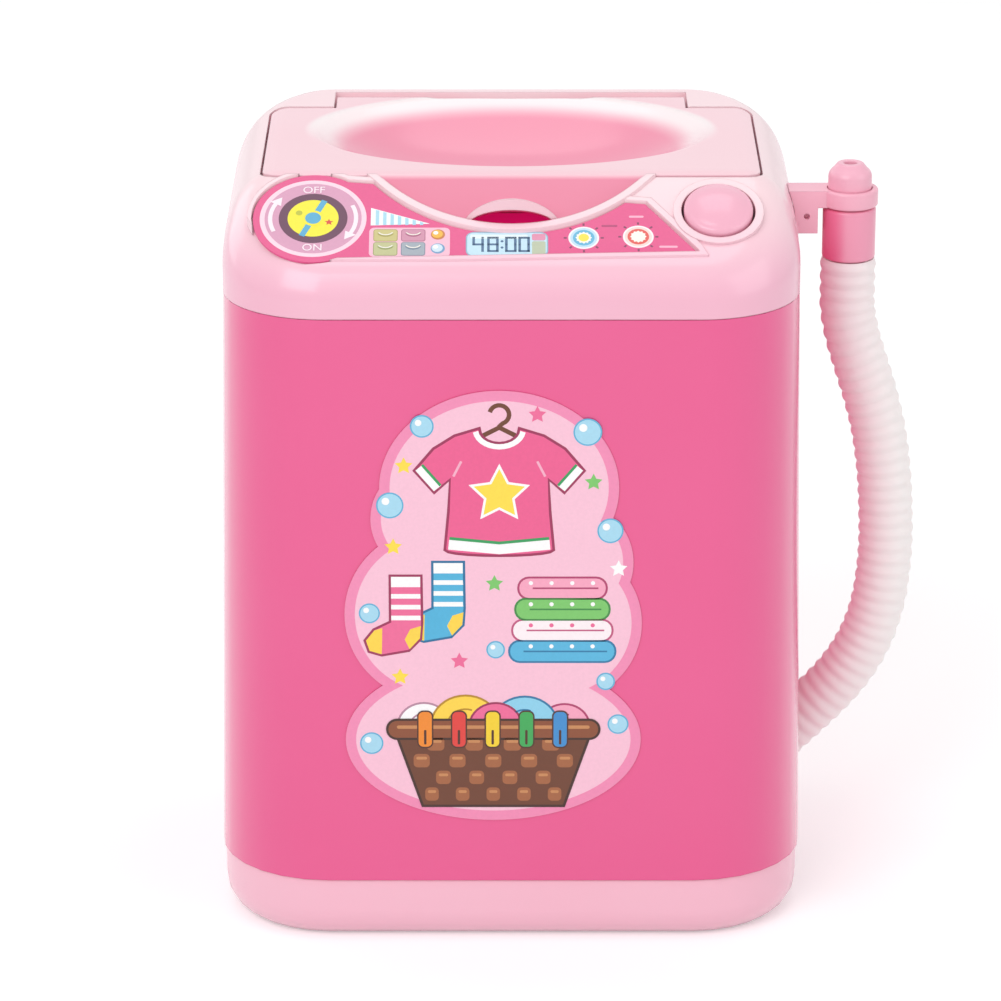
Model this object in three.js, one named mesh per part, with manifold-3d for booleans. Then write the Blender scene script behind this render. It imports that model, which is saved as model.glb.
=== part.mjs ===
// Toy washing machine, battery powered, about hand size.
// Millimetres, +Z up, front towards -Y, drain hose on +X, origin at the centre of the base.

import * as THREE from 'three';
import { mergeVertices } from 'three/addons/utils/BufferGeometryUtils.js';
import Module from 'manifold-3d';

const wasm = await Module();
wasm.setup();

// Housing
const HOUSING_WIDTH = 95;
const HOUSING_DEPTH = 77;
const HOUSING_HEIGHT = 128;
const CORNER_RADIUS = 17;
const FLARE = 1.7;
const BASE_SEAM_Z = 11.2;
const CAP_HEIGHT = 18.5;
const CAP_SEAM_Z = HOUSING_HEIGHT - CAP_HEIGHT;
const SIDE_X = HOUSING_WIDTH / 2;
const REAR_Y = HOUSING_DEPTH / 2;
const FRONT_Y = -REAR_Y;
const SEAM_GAP = 0.05;
const BODY_WALL = 1.8;
const LIP_WALL = 1.2;
const LIP_GAP = 0.3;
const LIP_LENGTH = 2.4;
const OVERRUN = 1;

// Clearances
const SEAT_GAP = 0.3;
const PIN_GAP = 0.15;
const LABEL_GAP = 0.1;
const JOIN_TOLERANCE = 0.012;

// Top cap and console
const CAP_WALL = 2.4;
const CAP_SIDE_ROUND = 9;
const CAP_FRONT_ROUND = 3.2;
const CAP_REAR_ROUND = 3.8;
const CAP_ROUND_DROP = 13;
const CONSOLE_RUN = 20.9;
const CONSOLE_Y = FRONT_Y + CONSOLE_RUN;
const CONSOLE_DROP = 11.5;
const CREASE_BLEND = 2.5;
const COLLAR_DEPTH = 4.2;
const COLLAR_WIDTH = 2;
const LEDGE_DEPTH = 2.5;
const LEDGE_WIDTH = 1.6;

// Lid
const LID_SIDE_MARGIN = 6.5;
const LID_WIDTH = HOUSING_WIDTH - 2 * LID_SIDE_MARGIN;
const LID_SHOULDER_MARGIN = 15.8;
const LID_SHOULDER_Y = REAR_Y - LID_SHOULDER_MARGIN;
const LID_TONGUE_SETBACK = 11;
const LID_TONGUE_WIDTH = LID_WIDTH - 2 * LID_TONGUE_SETBACK;
const LID_REAR_MARGIN = 5.9;
const LID_REAR_Y = REAR_Y - LID_REAR_MARGIN;
const LID_CORNER = 3;
const LID_GAP = 0.4;
const LID_SHOULDER_EASE = 0.5;
const LID_THICKNESS = 2.2;
const SCOOP_RADIUS = 28.6;
const SCOOP_REACH = 10.3;
const SCOOP_DROP = 8;
const SCOOP_WALL = 1.8;
const RIM_HEIGHT = 0.6;
const RIM_WIDTH = 1.2;
const DISH_SIDE_MARGIN = 7;
const DISH_LENGTH = LID_WIDTH - 2 * DISH_SIDE_MARGIN;
const DISH_FRONT_MARGIN = 4.3;
const DISH_FRONT_Y = CONSOLE_Y + DISH_FRONT_MARGIN;
const DISH_REAR_MARGIN = 0.9;
const DISH_REAR_Y = LID_REAR_Y - DISH_REAR_MARGIN;
const DISH_BOTTOM_POWER = 3;
const DISH_FLANK_POWER = 1.4;
const DISH_SINK = 9;
const DISH_WALL = 1.8;
const HOOD_WIDTH = 17.6;
const HOOD_REACH = 5.4;
const HOOD_HEIGHT = 7;
const HOOD_WALL = 1.5;

// Lid hinge
const HINGE_RADIUS = 2.8;
const HINGE_SINK = 0.2;
const HINGE_SETBACK = 3;
const HINGE_Y = LID_REAR_Y - HINGE_SETBACK;
const KNUCKLE_LENGTH = 10;
const HINGE_PIN_RADIUS = 1;
const HINGE_PIN_LENGTH = 9;
const EAR_LENGTH = 5.6;
const EAR_WIDTH = 6.4;

// Control panel label
const LABEL_THICKNESS = 0.3;
const LABEL_POCKET_GAP = 0.25;
const FRAME_HEIGHT = 0.35;
const FRAME_WIDTH = 1;
const DIAL_INSET = 15.3;
const DIAL_X = -SIDE_X + DIAL_INSET;
const DIAL_DROP = 9;
const DIAL_Y = CONSOLE_Y - DIAL_DROP;
const DIAL_FIELD_RADIUS = 9.9;
const LABEL_LEFT_MARGIN = 3.9;
const LABEL_TIP_MARGIN = 5.3;
const LABEL_TIP_SETBACK = 3.8;
const LABEL_TOP_SETBACK = 11.9;
const LABEL_TOP_DROP = 6.2;
const LABEL_MIDDLE_GAP = 0.3;

// Push button and switch
const BUTTON_INSET = 13.8;
const BUTTON_X = SIDE_X - BUTTON_INSET;
const BUTTON_DROP = 7.8;
const BUTTON_Y = CONSOLE_Y - BUTTON_DROP;
const BUTTON_RADIUS = 5.65;
const BUTTON_DOME = 1.3;
const BUTTON_STAND = 1.3;
const BUTTON_SKIRT = 2.2;
const BUTTON_TRAVEL = 2;
const BUTTON_GAP = 0.4;
const WELL_WALL = 1.35;
const WELL_DEPTH = 6;
const WELL_FLOOR = 1.2;
const WELL_RIM = 0.45;
const STEM_RADIUS = 1.6;
const STEM_REACH = 10;
const STEM_GAP = 0.3;
const SPRING_RADIUS = 3.4;
const SPRING_WIRE = 0.35;
const SPRING_TURNS = 2.5;
const SWITCH_SIZE = 8;
const SWITCH_HEIGHT = 6;
const SWITCH_BORE_DEPTH = 4.9;

// Wash tub
const TUB_SIDE_MARGIN = 11;
const TUB_TOP_WIDTH = HOUSING_WIDTH - 2 * TUB_SIDE_MARGIN;
const TUB_FRONT_SETBACK = 4;
const TUB_FRONT_Y = CONSOLE_Y + TUB_FRONT_SETBACK;
const TUB_REAR_MARGIN = 9.5;
const TUB_REAR_Y = REAR_Y - TUB_REAR_MARGIN;
const TUB_TOP_DROP = 6.5;
const TUB_TOP_Z = HOUSING_HEIGHT - TUB_TOP_DROP;
const TUB_UNDERSIDE_Z = 46.5;
const TUB_WALL = 1.5;
const TUB_CORNER = 12;
const TUB_TAPER = 3.5;
const TUB_FLOOR_ROUND = 3;
const FLANGE_THICKNESS = 1.5;
const FLANGE_DROP = 3.7;
const FLANGE_Z = CAP_SEAM_Z - FLANGE_DROP;
const LEDGE_RING_WIDTH = 3.2;
const LEDGE_RING_THICKNESS = 1.5;
const SHELF_DEPTH = 5;
const SHELF_THICKNESS = 1.6;
const SHELF_SETBACK = 2.2;

// Pulsator and its shaft
const PULSATOR_RADIUS = 14.5;
const PULSATOR_DISC = 1.8;
const PULSATOR_BLADE_HEIGHT = 4.5;
const PULSATOR_BLADE_WIDTH = 2.2;
const PULSATOR_BLADES = 4;
const PULSATOR_HUB_RADIUS = 4.2;
const PULSATOR_HUB_HEIGHT = 7;
const SHAFT_RADIUS = 1.25;
const SHAFT_ENTRY = 5;
const BEARING_BOSS_RADIUS = 4.6;
const BEARING_BOSS_LENGTH = 6.2;
const BUSH_WALL = 1.1;
const SEAL_RADIUS = 3.6;
const SEAL_THICKNESS = 1;

// Gear train
const GEAR_MODULE = 0.6;
const PINION_TEETH = 10;
const COMPOUND_TEETH = 30;
const OUTPUT_TEETH = 34;
const GEAR_ADDENDUM = 0.52;
const GEAR_DEDENDUM = 0.72;
const GEAR_WIDTH = 2.4;
const OUTPUT_GEAR_WIDTH = 3;
const GEAR_LAYER_GAP = 0.5;
const GEAR_AXLE_RADIUS = 0.9;
const COMPOUND_BEARING_DEG = 215;
const MOTOR_BEARING_DEG = 235;

// Gear plate on its posts
const PLATE_Z = 31.5;
const PLATE_THICKNESS = 1.5;
const POST_RADIUS = 3.2;
const PLATE_MARGIN = 4.2;
const POST_LEFT_INSET = 11.5;
const POST_LEFT_X = -SIDE_X + POST_LEFT_INSET;
const POST_LEFT_Y = 2;
const POST_FRONT_X = -2;
const POST_FRONT_INSET = 12.5;
const POST_FRONT_Y = FRONT_Y + POST_FRONT_INSET;
const POST_RIGHT_X = 15.5;
const POST_RIGHT_Y = -1;
const SMALL_SCREW_RADIUS = 0.9;
const SMALL_SCREW_HEAD = 1.7;
const SMALL_SCREW_HEAD_HEIGHT = 1.1;
const SMALL_SCREW_LENGTH = 6;

// Motor
const MOTOR_WIDTH = 20;
const MOTOR_FLAT = 15;
const MOTOR_HEIGHT = 25;
const MOTOR_SHAFT_RADIUS = 1;
const MOTOR_BORE_DEPTH = 4;
const MOTOR_SCREW_OFFSET = 8;
const MOTOR_SCREW_RADIUS = 0.7;
const MOTOR_SCREW_DEPTH = 2.5;

// Batteries, two AA cells
const CELL_RADIUS = 7.25;
const CELL_LENGTH = 49.5;
const CELL_NUB_RADIUS = 2.7;
const CELL_NUB_LENGTH = 1;
const CELL_GAP = 0.4;
const CONTACT_THICKNESS = 0.4;
const CONTACT_WIDTH = 9;
const CONTACT_SPRING = 3;
const CONTACT_SPRING_RADIUS = 3.2;
const CONTACT_SPRING_WIRE = 0.35;
const CONTACT_SPRING_TURNS = 2.2;
const BATTERY_BOX_WALL = 1.2;
const BATTERY_BOX_RISE = 1.4;
const BATTERY_BOX_Z = BASE_SEAM_Z + BATTERY_BOX_RISE;
const BATTERY_BOX_DEPTH = 16.5;
const BATTERY_BOX_FRONT_Y = REAR_Y - BODY_WALL - SEAT_GAP - BATTERY_BOX_DEPTH;
const COVER_GAP = 0.35;
const COVER_LEDGE = 1.6;
const COVER_EAR_RADIUS = 5;
const COVER_SCREW_RADIUS = 1;
const COVER_SCREW_HEAD = 2;
const COVER_SCREW_HEAD_HEIGHT = 1.2;
const COVER_SCREW_LENGTH = 6;
const COVER_BOSS_RADIUS = 2.6;

// Base tray
const BASE_SETBACK = 0.4;
const BASE_ROUND = 4.6;
const BASE_ROUND_HEIGHT = 5.5;
const BASE_FLOOR = 2;
const TRAY_WALL = 2.4;

// Case screws
const CASE_SCREW_SIDE_INSET = 11.5;
const CASE_SCREW_X = SIDE_X - CASE_SCREW_SIDE_INSET;
const CASE_SCREW_END_INSET = 9.9;
const CASE_SCREW_Y = REAR_Y - CASE_SCREW_END_INSET;
const CASE_BOSS_RADIUS = 3.6;
const CASE_BOSS_TOP_Z = 24;
const CASE_SCREW_RADIUS = 1;
const CASE_HEAD_RADIUS = 2.7;
const CASE_HEAD_HEIGHT = 1.6;
const CASE_SEAT_Z = 6.4;
const CASE_SCREW_TIP_Z = 20;
const CASE_RIB_WIDTH = 2;
const CASE_RIB_REACH = 8.5;

// Drain hose, its elbow, fitting and bracket
const HOSE_Y = -4;
const HOSE_RADIUS = 4.7;
const HOSE_ROOT_RADIUS = 4.1;
const HOSE_BORE_RADIUS = 3.3;
const HOSE_RIBS = 42;
const HOSE_RING_POINTS = 8;
const HOSE_HOLE_GAP = 0.35;
const ELBOW_RADIUS = 2.8;
const ELBOW_BORE = 1.9;
const ELBOW_COLLAR_RADIUS = 4.5;
const ELBOW_COLLAR = 1.2;
const ELBOW_NOZZLE = 5;
const DRAIN_INSET = 9.5;
const DRAIN_X = TUB_TOP_WIDTH / 2 - DRAIN_INSET;
const DRAIN_BOSS_RADIUS = 4.6;
const DRAIN_BOSS_LENGTH = 6;
const DRAIN_HOLE_RADIUS = 1.9;
const FITTING_REACH = 9.1;
const FITTING_X = SIDE_X + FITTING_REACH;
const SLEEVE_RADIUS = 4.45;
const SLEEVE_RISE = 0.4;
const SLEEVE_BOTTOM_Z = CAP_SEAM_Z + SLEEVE_RISE;
const KNOB_RADIUS = 3.65;
const KNOB_TOP_DROP = 2;
const KNOB_TOP_Z = HOUSING_HEIGHT - KNOB_TOP_DROP;
const KNOB_CHAMFER = 2.4;
const KNOB_TOP_RADIUS = 2;
const FITTING_BORE = 1.1;
const SPIGOT_RADIUS = 2.8;
const SPIGOT_LENGTH = 6;
const RING_DROP = 9.2;
const RING_Z = HOUSING_HEIGHT - RING_DROP;
const RING_HEIGHT = 2.9;
const RING_RADIUS = 4.75;
const ARM_WIDTH = 5.2;
const GUSSET_REACH = 3.7;
const GUSSET_RIGHT_X = SIDE_X + GUSSET_REACH;
const GUSSET_RISE = 4.9;
const GUSSET_BOTTOM_Z = CAP_SEAM_Z + GUSSET_RISE;
const GUSSET_HOLE_RADIUS = 0.5;
const GUSSET_HOLE_DEPTH = 1.2;
const BRACKET_TONGUE_HEIGHT = 3;
const BRACKET_TONGUE_DEPTH = 6;

// Front sticker
const STICKER_X = -3;
const STICKER_Z = (BASE_SEAM_Z + CAP_SEAM_Z) / 2;
const STICKER_SIDE_MARGIN = 23;
const STICKER_WIDTH = HOUSING_WIDTH - 2 * STICKER_SIDE_MARGIN;
const STICKER_END_MARGIN = 11.15;
const STICKER_HEIGHT = CAP_SEAM_Z - BASE_SEAM_Z - 2 * STICKER_END_MARGIN;
const STICKER_THICKNESS = 0.3;

// Wires
const WIRE_RADIUS = 0.55;
const FLANGE_HOLE_INSET = 11.2;
const FLANGE_HOLE_X = SIDE_X - FLANGE_HOLE_INSET;
const FLANGE_HOLE_SETBACK = 16;
const FLANGE_HOLE_Y = FRONT_Y + FLANGE_HOLE_SETBACK;
const FLANGE_HOLE_RADIUS = 3;
const MOTOR_WIRE_Z = 10;
const WIRE_ALONG_SIDE = [[31, 14, 24], [40, 8, 34], [41.5, 4, 60], [41.5, -12, 84], [39.5, -21.5, 98]];
const WIRE_ALONG_FRONT = [[37, -24, 98], [36, -26, 80], [30, -27, 52], [14, -22, 26], [0, -18, 12]];
const WIRE_UNDER_PLATE = [[25, 16.5, 30], [14, 16, 17], [-14, 15, 12], [-29, 8, 10], [-31, 0, 10]];

// Counts
const CORNER_STEPS = 7;
const ROUND_STEPS = 4;
const CIRCLE_SIDES = 20;
const LARGE_CIRCLE_SIDES = 28;
const SMALL_CIRCLE_SIDES = 10;
const BEND_STEPS = 18;
const WIRE_SIDES = 6;
const HELIX_STEPS_PER_TURN = 8;
const BORE_RINGS_APART = 6;
const MERGE_SHARE = 1e-7;

// Solid helpers

function solid(geometry) {
  const bare = geometry.clone();
  bare.deleteAttribute('normal');
  bare.deleteAttribute('uv');
  const merged = mergeVertices(bare, HOUSING_HEIGHT * MERGE_SHARE);
  const vertProperties = new Float32Array(merged.attributes.position.array);
  const triVerts = new Uint32Array(merged.index.array);
  const made = new wasm.Manifold(new wasm.Mesh({ numProp: 3, vertProperties, triVerts }));
  if (made.volume() >= 0) return made;
  for (let i = 0; i < triVerts.length; i += 3) {
    [triVerts[i], triVerts[i + 1]] = [triVerts[i + 1], triVerts[i]];
  }
  return new wasm.Manifold(new wasm.Mesh({ numProp: 3, vertProperties, triVerts }));
}

function unite(...solids) {
  return solids.reduce((sum, next) => sum.add(next));
}

function cut(body, ...tools) {
  return tools.reduce((rest, tool) => rest.subtract(tool), body);
}

function moved(made, matrix) {
  return made.transform(matrix.elements);
}

const machine = new THREE.Group();
machine.name = 'toy_washing_machine';

// A group inside another, standing in a frame given in the machine's own frame
function addGroup(parent, name, frame) {
  const made = new THREE.Group();
  made.name = name;
  parent.add(made);
  const inParent = parent.matrixWorld.clone().invert().multiply(frame);
  inParent.decompose(made.position, made.quaternion, made.scale);
  made.updateWorldMatrix(true, false);
  return made;
}

function standingAt(x, y, z) {
  return new THREE.Matrix4().makeTranslation(x, y, z);
}

// A solid drawn in the machine's frame becomes a mesh in its group's frame
function place(parent, name, finish, made) {
  const inParent = moved(made, parent.matrixWorld.clone().invert());
  const mesh = inParent.setTolerance(JOIN_TOLERANCE).getMesh();
  const geometry = new THREE.BufferGeometry();
  geometry.setAttribute(
    'position',
    new THREE.BufferAttribute(new Float32Array(mesh.vertProperties), 3),
  );
  geometry.setIndex(new THREE.BufferAttribute(new Uint32Array(mesh.triVerts), 1));
  geometry.computeVertexNormals();
  const node = new THREE.Mesh(geometry, new THREE.MeshStandardMaterial(finish));
  node.name = name;
  parent.add(node);
}

const finishes = {
  paleAbs: { color: '#f8c4d6', roughness: 0.32 },
  lidAbs: { color: '#f9cbdb', roughness: 0.3 },
  pinkAbs: { color: '#ec679e', roughness: 0.32 },
  buttonAbs: { color: '#f6bdd1', roughness: 0.28 },
  magentaPlastic: { color: '#d8136b', roughness: 0.3 },
  pulsatorPlastic: { color: '#f3a3c2', roughness: 0.35 },
  fittingPlastic: { color: '#f095b4', roughness: 0.35 },
  hosePlastic: { color: '#f1e3e5', roughness: 0.4 },
  whitePlastic: { color: '#f0efec', roughness: 0.55 },
  naturalPlastic: { color: '#e9e4d8', roughness: 0.5 },
  acetal: { color: '#f2f0ea', roughness: 0.45 },
  blackPlastic: { color: '#2b2b2e', roughness: 0.5 },
  labelFilm: { color: '#eb6094', roughness: 0.35 },
  stickerFilm: { color: '#f48fb8', roughness: 0.3 },
  rubber: { color: '#3a3438', roughness: 0.8 },
  zincSteel: { color: '#c9ccd1', roughness: 0.3, metalness: 0.9 },
  shaftSteel: { color: '#c9ccd1', roughness: 0.25, metalness: 0.95 },
  motorSteel: { color: '#b9bcc2', roughness: 0.35, metalness: 0.85 },
  brass: { color: '#c8a24a', roughness: 0.35, metalness: 0.9 },
  nickel: { color: '#cfd2d6', roughness: 0.3, metalness: 0.9 },
  cellJacket: { color: '#3f6fb5', roughness: 0.35, metalness: 0.3 },
  redWire: { color: '#c8342f', roughness: 0.5 },
  blackWire: { color: '#26262a', roughness: 0.5 },
};

const housingGroup = addGroup(machine, 'housing', standingAt(0, 0, 0));

// A block with rounded plan corners, stacked from outlines that may rise and fall with y

function halfOutline({ halfWidth, front, rear, cornerX, cornerFront, cornerRear }, breaks) {
  const points = [];
  for (let i = 0; i <= CORNER_STEPS; i++) {
    const a = (i / CORNER_STEPS) * (Math.PI / 2);
    points.push([halfWidth - cornerX * (1 - Math.sin(a)), front + cornerFront * (1 - Math.cos(a))]);
  }
  for (const y of breaks) points.push([halfWidth, y]);
  for (let i = 0; i <= CORNER_STEPS; i++) {
    const a = (i / CORNER_STEPS) * (Math.PI / 2);
    points.push([halfWidth - cornerX * (1 - Math.cos(a)), rear - cornerRear * (1 - Math.sin(a))]);
  }
  return points;
}

function softBlock(levels, breaks = []) {
  const positions = [];
  const index = [];
  let half = 0;
  for (const level of levels) {
    const right = halfOutline(level, breaks);
    half = right.length;
    for (const [x, y] of right) positions.push(x, y, level.z(y));
    for (const [x, y] of [...right].reverse()) positions.push(-x, y, level.z(y));
  }
  const ring = 2 * half;
  for (let k = 0; k + 1 < levels.length; k++) {
    for (let j = 0; j < ring; j++) {
      const a = k * ring + j;
      const b = k * ring + ((j + 1) % ring);
      index.push(a, b, b + ring, a, b + ring, a + ring);
    }
  }
  const top = (levels.length - 1) * ring;
  for (let i = 0; i + 1 < half; i++) {
    const left = ring - 1 - i;
    index.push(top + left, top + i, top + i + 1, top + left, top + i + 1, top + left - 1);
    index.push(left, i + 1, i, left, left - 1, i + 1);
  }
  const geometry = new THREE.BufferGeometry();
  geometry.setAttribute('position', new THREE.Float32BufferAttribute(positions, 3));
  geometry.setIndex(index);
  return solid(geometry);
}

function prism(shape, z0, z1, curveSegments = CORNER_STEPS) {
  const geometry = new THREE.ExtrudeGeometry(
    shape,
    { depth: z1 - z0, bevelEnabled: false, curveSegments },
  );
  geometry.translate(0, 0, z0);
  return solid(geometry);
}

// A YZ outline drawn out along X
function beam(points, x0, x1) {
  const shape = new THREE.Shape(points.map(([y, z]) => new THREE.Vector2(y, z)));
  const geometry = new THREE.ExtrudeGeometry(shape, { depth: x1 - x0, bevelEnabled: false });
  geometry.applyMatrix4(new THREE.Matrix4().set(0, 0, 1, x0, 1, 0, 0, 0, 0, 1, 0, 0, 0, 0, 0, 1));
  return solid(geometry);
}

function block(x0, x1, y0, y1, z0, z1) {
  const geometry = new THREE.BoxGeometry(x1 - x0, y1 - y0, z1 - z0);
  geometry.translate((x0 + x1) / 2, (y0 + y1) / 2, (z0 + z1) / 2);
  return solid(geometry);
}

function drum(x, y, radius, z0, z1, sides = CIRCLE_SIDES) {
  const geometry = new THREE.CylinderGeometry(radius, radius, z1 - z0, sides);
  geometry.rotateX(Math.PI / 2);
  geometry.translate(x, y, (z0 + z1) / 2);
  return solid(geometry);
}

function rodAlongX(x0, x1, y, z, radius, sides = CIRCLE_SIDES) {
  const geometry = new THREE.CylinderGeometry(radius, radius, x1 - x0, sides);
  geometry.rotateZ(Math.PI / 2);
  geometry.translate((x0 + x1) / 2, y, z);
  return solid(geometry);
}

// A profile of [radius, height] pairs turned about Z, starting and ending on the axis
function turned(profile, sides = CIRCLE_SIDES) {
  const points = profile.map(([r, z]) => new THREE.Vector2(r, z));
  const geometry = new THREE.LatheGeometry(points, sides);
  geometry.rotateX(Math.PI / 2);
  return solid(geometry);
}

function tube(points, radius, steps, sides) {
  const section = new THREE.Shape();
  section.absarc(0, 0, radius, 0, 2 * Math.PI, false);
  const path = new THREE.CatmullRomCurve3(points, false, 'centripetal');
  const geometry = new THREE.ExtrudeGeometry(section, {
    steps,
    curveSegments: sides / 2,
    bevelEnabled: false,
    extrudePath: path,
  });
  return solid(geometry);
}

function roundedRect(x0, x1, y0, y1, r) {
  const shape = new THREE.Shape();
  shape.moveTo(x0 + r, y0);
  shape.lineTo(x1 - r, y0);
  shape.absarc(x1 - r, y0 + r, r, -Math.PI / 2, 0, false);
  shape.lineTo(x1, y1 - r);
  shape.absarc(x1 - r, y1 - r, r, 0, Math.PI / 2, false);
  shape.lineTo(x0 + r, y1);
  shape.absarc(x0 + r, y1 - r, r, Math.PI / 2, Math.PI, false);
  shape.lineTo(x0, y0 + r);
  shape.absarc(x0 + r, y0 + r, r, Math.PI, 1.5 * Math.PI, false);
  return shape;
}

// Housing surfaces

function flareAt(z) {
  return (FLARE * (CAP_SEAM_Z - z)) / (CAP_SEAM_Z - BASE_SEAM_Z);
}

function housingLevel(z, inset) {
  const grow = flareAt(z) - inset;
  return {
    halfWidth: SIDE_X + grow,
    front: FRONT_Y - grow,
    rear: REAR_Y + grow,
    cornerX: CORNER_RADIUS + grow,
    cornerFront: CORNER_RADIUS + grow,
    cornerRear: CORNER_RADIUS + grow,
    z: () => z,
  };
}

function housing(inset, z0, z1) {
  return softBlock([housingLevel(z0, inset), housingLevel(z1, inset)]);
}

const consoleSlope = CONSOLE_DROP / CONSOLE_RUN;

function capTop(y) {
  const d = CONSOLE_Y - y;
  if (d <= -CREASE_BLEND) return HOUSING_HEIGHT;
  if (d >= CREASE_BLEND) return HOUSING_HEIGHT - consoleSlope * d;
  return HOUSING_HEIGHT - (consoleSlope * (d + CREASE_BLEND) ** 2) / (4 * CREASE_BLEND);
}

const creaseShares = [-1, -0.5, 0, 0.5, 1];
const creaseBreaks = creaseShares.map((share) => CONSOLE_Y + share * CREASE_BLEND);

function capBlock(sink, shrink, seamZ) {
  const level = (a, z) => {
    const across = 1 - Math.cos(a);
    const side = CAP_SIDE_ROUND * across;
    const front = CAP_FRONT_ROUND * across;
    const rear = CAP_REAR_ROUND * across;
    return {
      halfWidth: SIDE_X - shrink - side,
      front: FRONT_Y + shrink + front,
      rear: REAR_Y - shrink - rear,
      cornerX: CORNER_RADIUS - shrink - side,
      cornerFront: CORNER_RADIUS - shrink - front,
      cornerRear: CORNER_RADIUS - shrink - rear,
      z,
    };
  };
  const levels = [level(0, () => seamZ)];
  for (let i = 0; i <= ROUND_STEPS; i++) {
    const a = (i / ROUND_STEPS) * (Math.PI / 2);
    const fall = (CAP_ROUND_DROP / CAP_HEIGHT) * (1 - Math.sin(a));
    levels.push(level(a, (y) => CAP_SEAM_Z + (capTop(y) - CAP_SEAM_Z) * (1 - fall) - sink));
  }
  return softBlock(levels, creaseBreaks);
}

const farUp = HOUSING_HEIGHT + OVERRUN + WELL_DEPTH;
const farOut = HOUSING_WIDTH;

// The slice between two heights measured from the console's own plane
function consoleSlab(low, high) {
  const y0 = FRONT_Y - OVERRUN;
  const y1 = CONSOLE_Y + CREASE_BLEND;
  const plane = (y) => HOUSING_HEIGHT - consoleSlope * (CONSOLE_Y - y);
  const corners = [
    [y0, plane(y0) + low],
    [y1, plane(y1) + low],
    [y1, plane(y1) + high],
    [y0, plane(y0) + high],
  ];
  return beam(corners, -farOut, farOut);
}

// Lid outline in plan, grown by an offset

const scoopCentreY = CONSOLE_Y - SCOOP_REACH + SCOOP_RADIUS;

function lidPrism(offset, z0, z1, ease = 0) {
  const half = LID_WIDTH / 2 + offset;
  const tongue = LID_TONGUE_WIDTH / 2 + offset;
  const shoulderY = LID_SHOULDER_Y + offset + ease;
  return unite(
    prism(roundedRect(-half, half, CONSOLE_Y - offset, shoulderY, LID_CORNER), z0, z1),
    block(-tongue, tongue, CONSOLE_Y, LID_REAR_Y + offset, z0, z1),
    scoopPrism(offset, z0, z1, CONSOLE_Y + LID_CORNER),
  );
}

function scoopPrism(offset, z0, z1, rear = CONSOLE_Y + offset) {
  const round = drum(0, scoopCentreY, SCOOP_RADIUS + offset, z0, z1, 2 * LARGE_CIRCLE_SIDES);
  return round.intersect(block(-farOut, farOut, -farOut, rear, z0, z1));
}

// Label outline in plan, grown by an offset

function labelPrism(offset) {
  const z0 = CAP_SEAM_Z;
  const z1 = farUp;
  const tipX = BUTTON_X - LABEL_TIP_SETBACK;
  const tipY = FRONT_Y + LABEL_TIP_MARGIN;
  const topY = CONSOLE_Y - LABEL_TOP_DROP;
  const fieldTilt = Math.cos(Math.atan(consoleSlope));
  const field = drum(0, 0, DIAL_FIELD_RADIUS + offset, z0, z1, LARGE_CIRCLE_SIDES);
  const squash = new THREE.Matrix4().makeScale(1, fieldTilt, 1).setPosition(DIAL_X, DIAL_Y, 0);
  const rimRadius = SCOOP_RADIUS + LID_GAP + RIM_WIDTH + LABEL_MIDDLE_GAP - offset;
  const strip = new THREE.Shape([
    new THREE.Vector2(DIAL_X, FRONT_Y + LABEL_LEFT_MARGIN - offset),
    new THREE.Vector2(tipX + 2 * offset, tipY - offset),
    new THREE.Vector2(tipX + offset, tipY + offset),
    new THREE.Vector2(BUTTON_X - LABEL_TOP_SETBACK + offset, topY + offset),
    new THREE.Vector2(DIAL_X, topY + DIAL_FIELD_RADIUS / 2 + offset),
  ]);
  const rim = drum(0, scoopCentreY, rimRadius, z0 - OVERRUN, z1 + OVERRUN, 2 * LARGE_CIRCLE_SIDES);
  const top = block(-farOut, farOut, CONSOLE_Y, 0, z0 - OVERRUN, z1 + OVERRUN);
  return cut(prism(strip, z0, z1), rim, top).add(moved(field, squash));
}

// Frame of the push button: its axis stands square to the console

const consoleAngle = Math.atan(consoleSlope);
const buttonFrame = new THREE.Matrix4()
  .makeRotationX(consoleAngle)
  .setPosition(BUTTON_X, BUTTON_Y, capTop(BUTTON_Y));

const buttonGroup = addGroup(machine, 'button', buttonFrame);

// Top cap

const wellRadius = BUTTON_RADIUS + BUTTON_GAP;
const hingeZ = HOUSING_HEIGHT - HINGE_RADIUS - HINGE_SINK;
const lidGroup = addGroup(machine, 'lid_on_its_hinge', standingAt(0, HINGE_Y, hingeZ));
const knuckleOuterX = LID_TONGUE_WIDTH / 2 - HINGE_SINK;
const earInnerX = knuckleOuterX + LID_GAP;

function hingeAxisRod(x0, x1, radius) {
  return rodAlongX(x0, x1, HINGE_Y, hingeZ, radius, SMALL_CIRCLE_SIDES);
}

function bothSides(make) {
  return unite(make(1), make(-1));
}

function signedSpan(side, inner, outer) {
  return side > 0 ? [inner, outer] : [-outer, -inner];
}

function makeBracketTongue(gap) {
  const half = ARM_WIDTH / 2 - OVERRUN + gap;
  const middle = (GUSSET_BOTTOM_Z + RING_Z) / 2;
  const height = BRACKET_TONGUE_HEIGHT / 2 + gap;
  const x1 = GUSSET_RIGHT_X - OVERRUN;
  return block(
    x1 - BRACKET_TONGUE_DEPTH - gap,
    x1,
    HOSE_Y - half,
    HOSE_Y + half,
    middle - height,
    middle + height,
  );
}

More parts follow.
